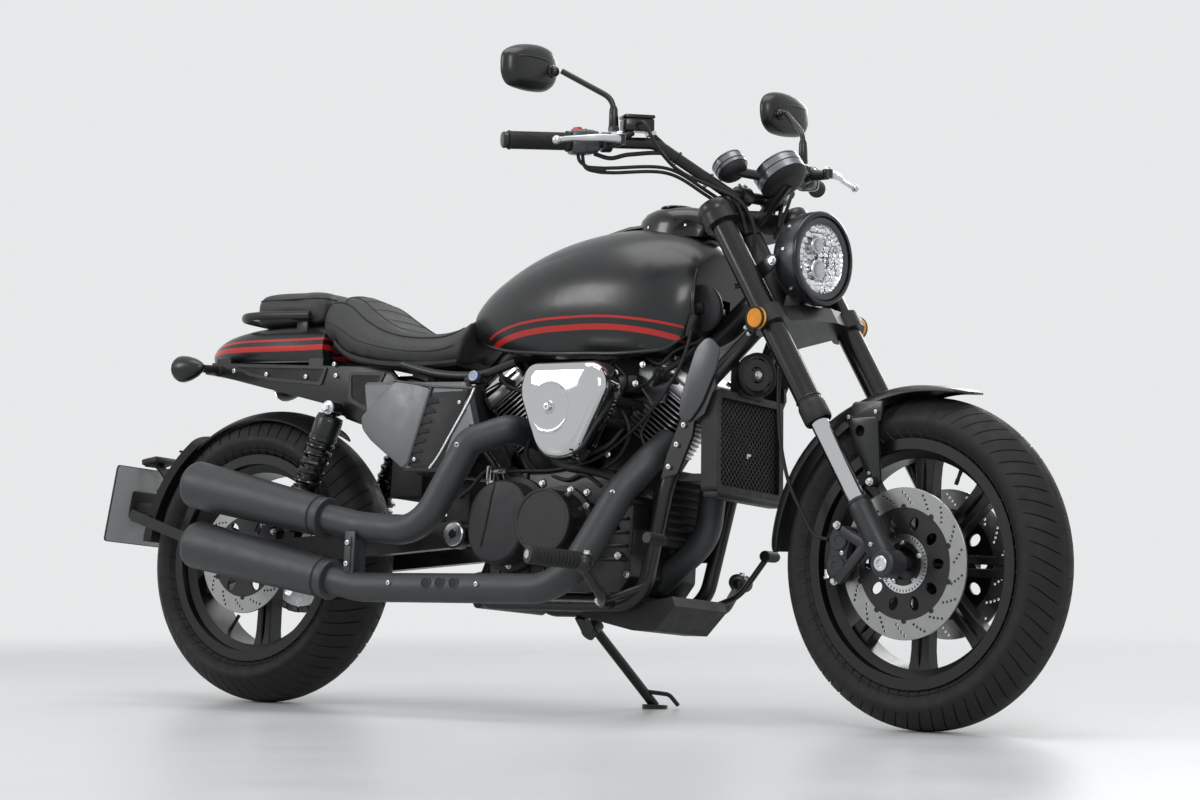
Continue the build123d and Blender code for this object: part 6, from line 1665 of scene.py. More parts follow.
def rear_caliper():
    """The rear caliper's pots and bolts."""
    spot = vec(119 * cos(radians(52)) * 0.95, -108, 301 + 119 * sin(radians(52)) * 0.95)
    pots = [lathe([(0, 17), (5, 17), (7, 15), (7, 0)], spot + vec(d, -2, -d * 0.78), (0, -1, 0), 32)
            for d in (-20, 20)]
    piece("rear_caliper_pots", "chassis", "cast_grey", *pots)
    piece("rear_caliper_bolts", "chassis", "machined",
          bolts([spot + vec(d, -2, -d * 0.78 - 20) for d in (-2, 24)], 5.5, (0, -1, 0), hex_bolt))


seat()
tail()
shocks()
side_panels()
tank_details()
chain_and_arm()
plate_and_flap()
rear_caliper()


# ------------------------------------------------------------------ fork and front brake
FENDER_IN = 316.0          # the fender's inside, from the front axle
REFLECTOR_LEVEL = 532      # up the fork legs
CALIPER_ANGLE = 172.0      # round the front axle


def wheel_point(radius, angle, y=0.0):
    """A point round the front axle; the angle is seen from the right, 0 ahead."""
    turn = radians(angle)
    return vec(FRONT_AXLE[0] + radius * cos(turn), y, FRONT_AXLE[1] + radius * sin(turn))


def fender_ring(angle, half, skirt, rise):
    """The fender's section: a crowned blade with rolled edges, 4 mm thick."""
    outer = [(-half, -skirt), (-half * 0.985, -skirt * 0.62), (-half * 0.9, -skirt * 0.3),
             (-half * 0.7, -skirt * 0.1), (-half * 0.35, -0.6), (0, 0)]
    outer += [(-y, r) for y, r in outer[-2::-1]]
    inner = [(y * 0.95, r - 4.2 if abs(y) < half * 0.95 else r - 1.0) for y, r in outer[::-1]]
    return [wheel_point(FENDER_IN + 5 + rise + r, angle, y) for y, r in outer + inner]


def front_fender():
    """The crowned blade with rolled edges, and its stays with bosses and bolts."""
    rows = [(71.8, 20, 3, 6), (72.6, 38, 5, 6.4), (74.4, 50, 7, 6.6), (78, 58.5, 10, 6), (84, 64, 13, 5),
            (92, 69, 17, 3.4), (102, 73, 22, 1.2), (112, 74.5, 25, 0), (126, 75, 27, 0),
            (142, 75, 28, 0), (158, 74, 28, 0), (170, 73, 27, 0), (174, 70, 25, 0), (176, 64, 22, 0)]
    rings = [fender_ring(*row) for row in between(rows, 4)]
    blade = skin(rings)
    rolled = []
    for side in (-1, 1):
        line = [wheel_point(FENDER_IN + 5 + rise - skirt + 1.0, angle, side * (half - 0.6))
                for angle, half, skirt, rise in between(rows, 4)[6:-3]]
        rolled.append(tube(line, 2.0, 8))
    piece("fender_blade", "steering", "satin_paint", blade, *rolled, crease=50)
    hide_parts("front_fender")
    edge = eased([(1462, 570), (1534, 572), (1540, 452), (1528, 440), (1514, 446)], 9, 4)
    shoulder = eased([(1456, 562), (1478, 600), (1546, 600), (1540, 562)], 5, 3)
    window = eased([(1482, 526), (1508, 527), (1512, 478)], 4, 3)
    stays, bosses, heads = [], [], []
    for side in (-1, 1):
        plate = slab(edge, *depths(side, 72.5, 79.6), 1.8)
        hole = lathe([(-20, 10.5), (20, 10.5)], (1494, side * 76, 546), Y_AXIS, 30)
        stays.append(cut(plate, joined(hole, slab(window, *depths(side, 66, 86), 0))))
        stays.append(slab(shoulder, *depths(side, 71, 78), 2.2))
        bosses.append(lathe([(0, 9.4), (16, 9.4), (18, 8)], (1527, side * 76, 452), (0, side, 0), 28))
        heads.append(bolts([(1527, side * 94, 452)], 6.2, (0, side, 0), hex_bolt))
        heads.append(bolts([(1470, side * 79.6, 572), (1532, side * 79.6, 580)], 4.0, (0, side, 0)))
        heads.append(bolts([(1516, side * 79.6, 468)], 3.6, (0, side, 0)))
    piece("fender_stays", "steering", "satin_paint", *stays, *bosses)
    piece("fender_bolts", "steering", "machined", *heads)


def fork_legs():
    """Turned outer tubes, bright inner tubes and cast feet with the axle."""
    outer, inner, feet = [], [], []
    for side in (-1, 1):
        base = at_fork(FORK_OFFSET, side * FORK_HALF, 0)
        outer.append(lathe([(312, 18.4), (312, 23.2), (500, 23.4), (782, 23.2), (782, 17.2), (790, 17.2),
                            (791, 0)], base, steer_up, 72))
        inner.append(lathe([(92, 17.6), (371, 17.6)], base, steer_up, 72))
        feet.append(lathe([(-8, 8), (-6, 17), (2, 21.4), (60, 22.1), (112, 22.3), (124, 22.3),
                           (128, 20.6), (128, 17.7), (90, 17.7)], base, steer_up, 64))
        feet.append(lathe([(-23, 20), (-21, 25), (20, 25.6), (23, 22)], base, (0, side, 0), 56))
        feet.append(lathe([(-54, 14), (-20, 15)], base, (0, side, 0), 40))
        rib = brick((0, 0, 0), (16, 14, 80), 4)
        rib.transform(frame_at(base + steer_up * 46 - steer_ahead * 18, steer_up, steer_ahead))
        feet.append(rib)
    axle = lathe([(-114, 8), (114, 8)], at_fork(FORK_OFFSET, 0, 0), Y_AXIS, 32)
    piece("fork_outer_tubes", "steering", "gloss_black", *outer, replaces=("fork_tubes",))
    piece("fork_inner_tubes", "steering", "chrome", *inner, replaces=("fork_stanchions",))
    piece("fork_feet", "steering", "cast_grey", *feet, axle, replaces=("fork_lowers",))


def fork_details():
    """Caps, seals, clamp screws, axle ends, reflector rings, steering nut and yoke rib."""
    caps, seals, screws, gloss, axle = [], [], [], [], []
    for side in (-1, 1):
        y = side * FORK_HALF
        base = at_fork(FORK_OFFSET, y, 0)
        caps.append(lathe([(772, 24.5), (772, 34), (776, 35.4), (788, 35.4), (793, 33), (795, 28),
                           (795, 19), (792, 17.5), (792, 12), (797, 12), (798, 11), (798, 0)],
                          base, steer_up, 48))
        screws.append(lathe([(795, 9), (801, 9), (802, 8), (802, 0)], base, steer_up, 6))
        seals.append(lathe([(311, 19), (306, 19), (304, 21), (304, 25), (308, 26.5), (316, 26.6),
                            (337, 26.4), (341, 25.4), (345, 23.3)], base, steer_up, 48))
        seals.append(lathe([(127, 22.2), (131, 22.2), (134, 20.5), (135, 18)], base, steer_up, 48))
        for level in (526, 540):
            screws.append(bolts([at_fork(0, y + side * 20, level)], 4.6, -steer_ahead, dome_bolt))
        screws.append(bolts([at_fork(6, y, 762)], 4.6, -steer_ahead, dome_bolt))
        gloss.append(ring_bar(at_fork(FORK_OFFSET, y, 352), steer_up, 23.4, 1.6, 48, 8))
        axle.append(lathe([(0, 14), (4, 14), (5, 13), (5, 8), (2, 7), (2, 0)],
                          at_fork(FORK_OFFSET, side * 136.5, 0), (0, side, 0), 32))
        axle.append(bolts([at_fork(17, y - 6, -14), at_fork(17, y + 8, -14)], 4.4, -steer_up))
        axle.append(bolts([at_fork(FORK_OFFSET, side * 138, 40)], 4.2, (0, side, 0)))
    piece("fork_caps", "steering", "satin_paint", *caps)
    piece("fork_cap_screws", "steering", "machined", *screws)
    piece("fork_seals", "steering", "moulded", *seals)
    piece("fork_bands", "steering", "gloss_black", *gloss)
    piece("fork_axle_ends", "steering", "machined", *axle)
    rims = [ring_bar(at_fork(FORK_OFFSET, side * 157.5, REFLECTOR_LEVEL), (0, side, 0), 20, 2.4, 40, 8)
            for side in (-1, 1)]
    facets = [ring_bar(at_fork(FORK_OFFSET, side * 158.4, REFLECTOR_LEVEL), (0, side, 0), 3.5 * n + 2,
                       1.3, 32, 6) for side in (-1, 1) for n in range(5)]
    piece("reflector_rims", "steering", "moulded", *rims)
    piece("reflector_rings", "steering", "amber", *facets)
    nut = lathe([(772, 26), (784, 26), (786, 24), (786, 15), (781, 14), (781, 0)], at_fork(0, 0, 0),
                steer_up, 32)
    piece("steering_nut", "steering", "machined", nut)
    yoke = eased_slab([(-12, -62), (30, -100), (60, -52), (66, 0), (60, 52), (30, 100), (-12, 62)], 14,
                      771.5, 775.5, 1.6)
    yoke.transform(SIDE_VIEW)
    yoke.transform(Matrix.Translation(steer_base) @ Matrix((
        (steer_ahead.x, 0, steer_up.x, 0), (0, 1, 0, 0), (steer_ahead.z, 0, steer_up.z, 0),
        (0, 0, 0, 1))))
    piece("upper_yoke_rib", "steering", "satin_paint", yoke)


# outlines along and over the caliper, how far their corners are eased, and from where to where
CALIPER_LAYERS = [
    ([(-20, -50), (-8, -52), (20, -46), (30, -24), (24, 0), (30, 24), (20, 46), (-8, 52),
      (-20, 50), (-22, 22), (-16, 0), (-22, -22)], 9, 75.0, 91.0),
    ([(4, -44), (30, -40), (30, 40), (4, 44)], 8, 50, 80),
    ([(-18, -42), (24, -42), (24, 42), (-18, 42)], 10, 41.5, 58.5)]


def calipers():
    """Two-pot calipers behind the legs, with pads, bolts and hose ends."""
    ahead = radians(CALIPER_ANGLE)
    way = vec(cos(ahead), 0, sin(ahead))
    over = vec(-sin(ahead), 0, cos(ahead))
    mid = wheel_point(132, CALIPER_ANGLE)
    bodies, pots, heads, pads = [], [], [], []
    for side in (-1, 1):
        out_face = side * 91.0

        def spot(u, v, y, side=side):
            return mid + way * u + over * v + vec(0, y, 0)

        for outline, ease, near, far in CALIPER_LAYERS:
            corners = [(spot(u, v, 0).x, spot(u, v, 0).z) for u, v in outline]
            bodies.append(eased_slab(corners, ease, *depths(side, near, far), 4))
        for v in (-24, 24):
            pots.append(lathe([(0, 19), (3, 19), (5.4, 17), (5.4, 9), (4, 8), (4, 0)],
                              spot(2, v, out_face), (0, side, 0), 36))
        for leg_s, v in ((66, 40), (24, -40)):
            ends = [at_fork(24, 0, leg_s), spot(-16, v, 0)]
            run = ends[1] - ends[0]
            lug = brick((0, 0, 0), (20, 12, run.length + 26), 4)
            lug.transform(frame_at((ends[0] + ends[1]) / 2 + vec(0, side * 97, 0), run, (0, 0, 1)))
            bodies.append(lug)
        heads.append(bolts([spot(6, 52, side * 88), spot(8, -51, side * 96)], 6.2, (0, side, 0),
                           hex_bolt))
        heads.append(bolts([spot(-8, -2, out_face - side * 1.0)], 4.4, (0, side, 0)))
        pads.append(brick(spot(31, 0, side * 67), (20, 26, 46), 2, Matrix.Rotation(-ahead, 4, "Y")))
        heads.append(lathe([(0, 8), (5, 8), (5, 5), (12, 5), (12, 3.5), (17, 3)],
                           spot(24, 50, side * 84), (-0.3, 0, 1), 18))
    piece("caliper_bodies", "steering", "cast_grey", *bodies)
    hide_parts("front_calipers")
    piece("caliper_pots", "steering", "cast_grey", *pots)
    piece("caliper_pads", "steering", "moulded", *pads)
    piece("caliper_bolts", "steering", "machined", *heads)


# ------------------------------------------------------------------ headlight and instruments
def headlight():
    """Bowl, bezel, fluted reflector with its mirrors, bulbs, lens, stays and screws."""
    face, z = 1346.0, 878.0
    shell = lathe([(0, 10), (0.5, 34), (4, 52), (14, 68), (30, 81), (48, 88), (66, 90), (76, 90),
                   (77, 86.8), (79, 86.8), (80, 88), (80, 80), (60, 79), (46, 78.2)],
                  (face - 80, 0, z), X_AXIS, 96)
    bezel = lathe([(-2, 79), (-2, 89.2), (1.5, 90.2), (5, 89), (7, 85), (6.5, 80.6), (2, 79.5)],
                  (face - 3.5, 0, z), X_AXIS, 96, ring=True)
    inner = lathe([(-3, 66), (-3, 79.4), (1.5, 79.4), (3, 77), (2, 71), (-0.5, 66)],
                  (face - 3, 0, z), X_AXIS, 96, ring=True)
    piece("headlight_bowl", "steering", "lamp_blue", shell, crease=50)
    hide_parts("headlight_shell")
    piece("headlight_bezel", "steering", "gloss_black", bezel, crease=60)
    piece("headlight_ring", "steering", "cap_grey", inner, crease=60)
    bowl = []
    for height, radius in ((-34, 2), (-33, 12), (-30, 26), (-24, 42), (-15, 56), (-6, 66), (-3, 67)):
        ring = []
        for n in range(144):
            angle = 2 * pi * n / 144
            flute = 1.5 * abs(sin(angle * 18)) * min(1, radius / 30)
            ring.append(vec(face + height - flute, radius * cos(angle), z + radius * sin(angle)))
        bowl.append(ring)
    back = [[vec(p.x - 2.5, p.y, p.z) for p in ring] for ring in bowl[::-1]]
    steps = []
    for row in range(-5, 6):
        for column in range(-5, 6):
            y, up = column * 11.0, row * 11.0
            reach = hypot(y, up)
            if reach > 60 or (abs(column) < 2 and abs(row) < 3):
                continue
            depth = -33 + 27 * (reach / 66) ** 2
            tilt = Matrix.Rotation(0.35 * sin(row * 2.1 + column), 4, "Y") @ Matrix.Rotation(
                0.3 * cos(column * 1.7 - row), 4, "Z")
            steps.append(brick((face + depth + 2, y, z + up), (4, 10.2, 10.2), 1.2, tilt))
    projector = lathe([(-33, 20), (-14, 20), (-12, 18.5), (-12, 16)], (face, 0, z - 20), X_AXIS, 40)
    hood = lathe([(-33, 17), (-16, 17), (-14, 15.6), (-14, 13)], (face, 0, z + 26), X_AXIS, 40)
    bulb = lathe([(-13, 15.6), (-9.5, 13), (-7.5, 8), (-7, 0)], (face, 0, z - 20), X_AXIS, 40)
    small = lathe([(-15, 12.6), (-12, 10), (-10.5, 5), (-10, 0)], (face, 0, z + 26), X_AXIS, 40)
    piece("headlight_reflector", "steering", "reflector", skin(bowl + back), *steps, crease=28)
    piece("headlight_hoods", "steering", "machined", projector, hood)
    piece("headlight_bulbs", "steering", "lens_glass", bulb, small)
    lens = lathe([(-4, 65), (-4, 68), (-1.5, 68), (0.6, 60), (2.2, 45), (3.2, 25), (3.6, 0)],
                 (face - 2, 0, z), X_AXIS, 96)
    piece("headlight_glass", "steering", "lens_glass", lens, crease=60)
    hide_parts("headlight_lens")
    stay = eased_slab([(1268, 790), (1306, 786), (1318, 806), (1292, 812), (1276, 812)], 4, -24, 24, 2)
    ears = []
    for side in (-1, 1):
        arm = eased_slab([(1226, 842), (1292, 884), (1308, 880), (1308, 862), (1240, 812)], 10,
                         *depths(side, 89.6, 94.0), 1.2)
        leg = tube(smooth_line([(1236, side * 92, 828), (1226, side * 96, 828), (1216, side * 104, 826)],
                               4), 5.5, 12)
        ears += [arm, leg]
    piece("headlight_stay", "steering", "satin_paint", stay, *ears)
    screws = [bolts([(1299, side * 94.2, 870)], 7.0, (0, side, 0), hex_bolt) for side in (-1, 1)]
    side_screws = []
    for side in (-1, 1):
        for angle in (38, 8, -42):
            up = radians(angle)
            side_screws.append(bolts([(1322, side * 90 * cos(up), z + 90 * sin(up))], 3.4,
                                     (0, side * cos(up), sin(up))))
    piece("headlight_screws", "steering", "machined", *screws, *side_screws)


def dial_face(centre, facing, radius, start, sweep, count):
    """Ticks round a dial, and its pointer."""
    place = frame_at(centre, facing, (1, 0, 0))
    shapes = []
    for n in range(count + 1):
        turn = radians(start + sweep * n / count)
        length = radius * (0.18 if n % 4 == 0 else 0.1)
        spin = Matrix.Rotation(turn, 4, "Z")
        bar = brick((0, 0, 0), (length, radius * 0.03, 0.5), 0.1)
        bar.transform(place @ spin @ Matrix.Translation((radius * 0.86 - length / 2, 0, 0.3)))
        shapes.append(bar)
    hand = brick((0, 0, 0), (radius * 0.72, radius * 0.045, 0.8), 0.2)
    hand.transform(place @ Matrix.Rotation(radians(start + 20), 4, "Z")
                   @ Matrix.Translation((radius * 0.3, 0, 1.2)))
    return joined(*shapes), hand


def gauges():
    """Speedometer and tachometer cans with rims, dials, hands, glass and their bracket."""
    facing = vec(-0.62, 0, 0.78).normalized()
    big, small = vec(1228, 14, 1052), vec(1176, -72, 1062)
    cans, rims, faces, glass, ticks, hands, feet = [], [], [], [], [], [], []
    for centre, radius, depth, top in ((big, 50.0, 34, 14), (small, 33.0, 26, 12)):
        foot = lathe([(-depth, radius * 0.3), (-depth, radius * 0.6), (-depth + 4, radius * 0.78),
                      (-depth + 13, radius - 2.4), (-depth + 16, radius - 2.4)], centre, facing, 72)
        feet.append(foot)
        can = lathe([(-depth + 14, radius - 4), (-depth + 14, radius - 1.0), (-6, radius - 0.6),
                     (-5.2, radius - 2.0),
                     (-4.2, radius - 2.4), (-3.4, radius - 0.2), (top - 5, radius - 0.2),
                     (top - 5, radius - 9), (top - 8, radius - 9)], centre, facing, 72)
        rim = lathe([(top - 6, radius - 8), (top - 5, radius), (top - 1.5, radius), (top, radius - 1.6),
                     (top, radius - 5.2), (top - 2.2, radius - 7.4), (top - 5, radius - 8)],
                    centre, facing, 72, ring=True)
        card = lathe([(top - 9, radius - 8), (top - 7, radius - 8), (top - 7, 0)], centre, facing, 60)
        cover = lathe([(top - 4.4, radius - 6.6), (top - 3.2, radius - 6.6), (top - 2.2, radius * 0.5),
                       (top - 1.9, 0)], centre, facing, 60)
        row, hand = dial_face(centre + facing * (top - 6.8), facing, radius - 9, 40, 280, 24)
        hub = lathe([(0, radius * 0.12), (2, radius * 0.1), (2.4, 0)], centre + facing * (top - 6.8),
                    facing, 24)
        cans.append(can)
        rims.append(rim)
        faces += [card, hub]
        glass.append(cover)
        ticks.append(row)
        hands.append(hand)
    link = tube([small - facing * 14, big - facing * 20], 9.5, 16)
    post = tube([at_fork(26, 14, 773), big - facing * 30], 11.5, 18)
    piece("gauge_cans", "steering", "gauge_metal", *cans, crease=30)
    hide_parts("gauges")
    piece("gauge_feet", "steering", "moulded", *feet)
    piece("gauge_rims", "steering", "gloss_black", *rims, crease=60)
    piece("gauge_dials", "steering", "dial", *faces)
    piece("gauge_ticks", "steering", "dial_white", *ticks)
    piece("gauge_hands", "steering", "red_cap", *hands)
    piece("gauge_glass", "steering", "clear_lens", *glass)
    piece("gauge_bracket", "steering", "satin_paint", link, post)


# ------------------------------------------------------------------ bars
BAR_KNEE, BAR_TIP = vec(1112, -214, 1094), vec(966, -464, 1087)
GRIP_WAY = (BAR_TIP - BAR_KNEE).normalized()
GRIP_FORE = vec(-GRIP_WAY.y, GRIP_WAY.x, 0).normalized()


def by_bar(back, ahead=0.0, up=0.0):
    """A point beside the right bar, back from its tip towards the middle."""
    return BAR_TIP - GRIP_WAY * back + GRIP_FORE * ahead + vec(0, 0, up)


def bars():
    """Grips, switch cases, levers with their perches, the brake reservoir and the risers."""
    grip = [(0, 13), (0, 17.6), (2, 18.4), (4, 17.0)]
    for n in range(26):
        grip += [(6 + 4 * n, 17.0), (7 + 4 * n, 17.0), (7.6 + 4 * n, 16.2), (9.4 + 4 * n, 16.2)]
    grip += [(111, 17.0), (113, 19.6), (117, 19.6), (118, 18.6), (118, 12)]
    grips = both(lathe(grip, by_bar(0), -GRIP_WAY, 44))
    ends = both(lathe([(0, 12), (0, 14.6), (2, 15.4), (9, 15.4), (11.4, 13.6), (12, 10), (12, 0)],
                      BAR_TIP, GRIP_WAY, 40))
    piece("grip_rubbers", "steering", "rubber", grips)
    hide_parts("hand_controls")
    piece("bar_ends", "steering", "satin_paint", ends)
    rings = []
    for back, wide, tall in ((119, 16, 16), (121, 21, 21), (126, 22, 23), (140, 22, 24), (160, 21, 23),
                             (172, 19, 20), (176, 15, 16)):
        outline = eased([vec(a, b, 0) for a, b in ((-wide, -tall), (wide, -tall), (wide, tall * 0.8),
                                                   (wide * 0.6, tall), (-wide * 0.7, tall),
                                                   (-wide, tall * 0.7))], 12, 4)
        rings.append([by_bar(back, p.x, p.y - 1.0) for p in outline])
    case = skin(rings)
    seam = tube(eased([by_bar(148, a, b - 1) for a, b in ((-22.4, -24), (22.4, -24), (22.4, 19),
                                                        (14, 24), (-15, 24), (-22.4, 16))], 12, 4), 0.9, 6)
    toggles = [brick(by_bar(138, -14, 22), (8, 10, 5), 1.6), brick(by_bar(158, -18, 14), (6, 9, 9), 2),
               lathe([(0, 5), (3, 5), (4, 4), (4, 0)], by_bar(130, -18, 12), (-0.8, 0.2, 0.5), 20)]
    reds = [brick(by_bar(136, -2, 25), (15, 12, 5.5), 2.2), brick(by_bar(136, -2, 22.5), (20, 16, 3), 1)]
    ring = lathe([(-9, 17.6), (-7, 19), (9, 19), (11, 17.4)], by_bar(190), -GRIP_WAY, 36)
    jaw = tube([by_bar(192, 6, -2), by_bar(202, 40, -3), by_bar(203, 52, -3)], [13, 10, 9], 20, 0.7)
    pivot = lathe([(-9, 8.5), (-9, 10.5), (9, 10.5), (9, 8.5)], by_bar(203, 50, -1), Z_AXIS, 28)
    cap = lathe([(0, 13), (3, 13), (5, 11), (5, 0)], by_bar(190, -17.5), -GRIP_FORE, 24)
    screws = [both(joined(bolts([by_bar(203, 50, 9)], 5.6, Z_AXIS, hex_bolt),
                          bolts([by_bar(190, -22, 6), by_bar(190, -22, -6)], 3.4, -GRIP_FORE)))]
    route = smooth_line([by_bar(204, 53, -1), by_bar(184, 62, -1), by_bar(156, 68, -1),
                         by_bar(126, 70, -3), by_bar(100, 75, -5), by_bar(80, 82, -8),
                         by_bar(68, 88, -10)], 6)
    count = len(route)
    radii = [9.5 - 4.2 * min(1, n / (count * 0.6)) for n in range(count)]
    blade = tube(route, radii, 18, 0.62)
    knob = lathe([(-8.4, 0), (-7.2, 4.4), (-4, 7.4), (0, 8.4), (4, 7.4), (7.2, 4.4), (8.4, 0)],
                 route[-1], GRIP_WAY, 28)
    tank_mid = by_bar(250, 8, 36)
    turn = frame_at((0, 0, 0), Z_AXIS, GRIP_WAY)
    box = brick((0, 0, 0), (57, 41, 23), 3.2)
    box.transform(Matrix.Translation(tank_mid + vec(0, 0, -4)) @ turn)
    lid = brick((0, 0, 0), (59, 43, 7), 2.2)
    lid.transform(Matrix.Translation(tank_mid + vec(0, 0, 11.5)) @ turn)
    neck = tube([by_bar(216, 4, 8), by_bar(240, 8, 22)], 9.5, 18)
    sight = lathe([(0, 8), (1.6, 8), (2.4, 6.6), (2.4, 0)], tank_mid - GRIP_FORE * 20.6, -GRIP_FORE, 28)
    screws.append(bolts([tank_mid + GRIP_WAY * a * 22 + GRIP_FORE * b * 15 + vec(0, 0, 14.8)
                         for a, b in ((1, 1), (-1, -1))], 3.0, Z_AXIS))
    banjo = lathe([(0, 9), (3, 9), (3, 7), (14, 7), (16, 5.5), (19, 5.5), (19, 0)],
                  by_bar(268, 8, 18), -GRIP_WAY, 6)
    screws.append(banjo)
    piece("switch_cases", "steering", "cap_grey", both(joined(case, seam)))
    piece("switch_buttons", "steering", "moulded", both(joined(*toggles)))
    piece("switch_red", "steering", "red_cap", *reds)
    piece("lever_perches", "steering", "satin_paint", both(joined(ring, jaw, pivot, cap)), neck)
    piece("brake_reservoir", "steering", "gloss_black", box, lid)
    piece("reservoir_window", "steering", "clear_lens", sight)
    piece("lever_blades", "steering", "machined", both(joined(blade, knob)), replaces=("hand_levers",))
    piece("control_screws", "steering", "machined", *screws)
    risers, caps = [], []
    for side in (-1, 1):
        y = side * 45.0
        risers.append(lathe([(-14, 18.4), (-12, 19.2), (12, 19.2), (14, 18.4)], (1184, y, 1004),
                            Y_AXIS, 40))
        for dx in (-1, 1):
            for dy in (-8, 8):
                caps.append(bolts([vec(1184, y + dy, 1004) + steer_ahead * dx * 12 + steer_up * 16],
                                  3.8, steer_up))
    piece("riser_clamps", "steering", "satin_paint", *risers)
    piece("riser_screws", "steering", "machined", *caps)


def mirrors():
    """Egg-shaped shells with a crease, the glass, a ball joint and its stem."""
    centre = vec(950, -384, 1236)
    outline = [(-72, 4), (-70, -20), (-56, -38), (-24, -44), (14, -45), (46, -40), (66, -24), (73, 0),
               (70, 22), (54, 38), (22, 45), (-20, 42), (-52, 32), (-68, 20)]
    loop = smooth_line([vec(0, a, b) for a, b in outline] + [vec(0, *outline[0])], 4)[:-1]
    rows = ((-14.5, 0.985), (-11, 1.0), (-6, 0.99), (0, 0.95), (6, 0.87), (10.5, 0.74), (13.2, 0.56),
            (14.6, 0.3), (14.9, 0.06))
    shell = skin([[centre + vec(depth, p.y * grow, p.z * grow) for p in loop] for depth, grow in rows])
    crease = tube(smooth_line([centre + vec(10.0, -50, 14), centre + vec(13.6, -16, 17),
                               centre + vec(13.0, 26, 14), centre + vec(8.0, 52, 8)], 6),
                  [1.0] + [2.2] * 17 + [0.8], 8)
    glass = skin([[centre + vec(depth, p.y * grow, p.z * grow) for p in loop]
                  for depth, grow in ((-15.4, 0.9), (-15.4, 0.93), (-13.6, 0.93))])
    ball = lathe([(-10, 0.1), (-9, 5), (-5, 9), (0, 10.4), (5, 9), (9, 5), (10, 0.1)],
                 centre + vec(17, 44, -5), (1, 0.8, 0), 28)
    socket = lathe([(0, 13), (3, 13.6), (7, 12), (8, 9)], centre + vec(9, 40, -4), (1, 0.3, 0), 30)
    foot = by_bar(206, 0, 26)
    neck = vec(984, -338, 1230)
    top = vec(foot.x, foot.y, foot.z + 56)
    stem = tube(eased([foot, top, neck], 22, 6, closed=False), 5.6, 18)
    sleeve = lathe([(0, 8.6), (2, 9.4), (34, 8.4), (40, 6.4)], foot + vec(0, 0, 2), Z_AXIS, 28)
    nut = lathe([(-8, 11), (0, 11), (1.4, 9.6)], foot + vec(0, 0, 3), Z_AXIS, 6)
    piece("mirror_shells", "steering", "satin_paint", both(joined(shell, crease)), crease=50)
    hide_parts("mirrors")
    piece("mirror_glasses", "steering", "mirror_glass", both(glass))
    piece("mirror_stems", "steering", "satin_paint", both(joined(stem, sleeve, nut)))
    piece("mirror_joints", "steering", "gloss_black", both(joined(ball, socket)))


def held_cable(points, radius):
    """A cable laid smoothly through points."""
    return tube(smooth_line(points, 10), radius, 12)


def bar_cables():
    """Throttle pair, clutch cable and wire looms, clipped to the bars."""
    lines, ties = [], []
    for n, drop in enumerate((0.0, 9.0)):
        lines.append(held_cable([by_bar(136 + 9 * n, -2, -20), by_bar(142 + 9 * n, -2, -38 - drop),
                                 by_bar(166 + 6 * n, 0, -50 - drop * 0.6), by_bar(206, 0, -48 - drop),
                                 vec(1124, -196, 1048 - drop), vec(1160, -128, 1012 - drop),
                                 vec(1176, -70, 978 - drop), vec(1178, -44, 940 - drop),
                                 vec(1166, -34, 900)], 3.4))
    boot = tube([by_bar(158, 0, -50), by_bar(190, 0, -52)], [5.5, 6.5], 14, 1.0)
    loom = [by_bar(168, 0, -22), by_bar(200, 2, -30), by_bar(240, 4, -22), vec(1128, -186, 1074),
            vec(1168, -112, 1030), vec(1196, -60, 990), vec(1204, -40, 950)]
    lines += [held_cable(route, 4.2) for route in (loom, flipped(loom))]
    clutch = held_cable([vec(by_bar(228).x, -by_bar(228, 44).y, by_bar(228, 44, -2).z),
                         vec(1166, 150, 1076), vec(1196, 96, 1030), vec(1206, 60, 980),
                         vec(1190, 46, 930)], 3.4)
    hose = held_cable([by_bar(284, 6, 14), vec(1134, -168, 1066), vec(1168, -108, 1022),
                       vec(1190, -66, 984), vec(1206, -58, 930)], 4.6)
    lines += [clutch, hose]
    for t in (0.3, 0.72):
        spot = vec(1184, -78, 1004).lerp(vec(1112, -214, 1094), t)
        for side in (-1, 1):
            ties.append(ring_bar((spot.x, side * -spot.y, spot.z - 2), (-72, side * 136, 90), 14.4, 1.6,
                                 30, 6))
    piece("bar_cables", "steering", "rubber", *lines, boot)
    piece("bar_ties", "steering", "moulded", *ties)


def foot_details():
    """Ribbed peg rubbers, pedal pads and their bolts."""
    ribs, ends, pads = [], [], []
    for side in (-1, 1):
        root = vec(1002, side * 268, 284)
        way = (vec(952, side * 372, 288) - root).normalized()
        profile = [(0, 12), (0, 17)]
        for n in range(12):
            profile += [(4 + 8 * n, 17.4), (8 + 8 * n, 17.4), (8.8 + 8 * n, 15.4), (11 + 8 * n, 15.4)]
        profile += [(102, 17.6), (112, 17.6), (114, 15), (114, 8)]
        ribs.append(lathe(profile, root, way, 32))
        ends.append(lathe([(0, 9), (3, 9), (4, 7.6), (4, 0)], root + way * 114, way, 6))
        ends.append(bolts([(1012, side * 268, 298)], 6, Z_AXIS, hex_bolt))
        pads.append(lathe([(0, 8), (0, 11), (4, 11.4), (8, 10.8), (12, 11.4), (16, 10.8), (20, 11.4),
                           (24, 10.8), (28, 11.4), (32, 10.8), (36, 11.4), (44, 11), (46, 8)],
                          (1120, side * 178, 330), (-0.08, side, 0.04), 28))
        ends.append(bolts([(980, side * 176, 216)], 7, (0, side, 0), hex_bolt))
    piece("peg_rubbers", "chassis", "rubber", *ribs)
    piece("pedal_pads", "chassis", "rubber", *pads)
    piece("peg_bolts", "chassis", "machined", *ends)


front_fender()
fork_legs()
fork_details()
calipers()
headlight()
gauges()
bars()
mirrors()
bar_cables()
foot_details()


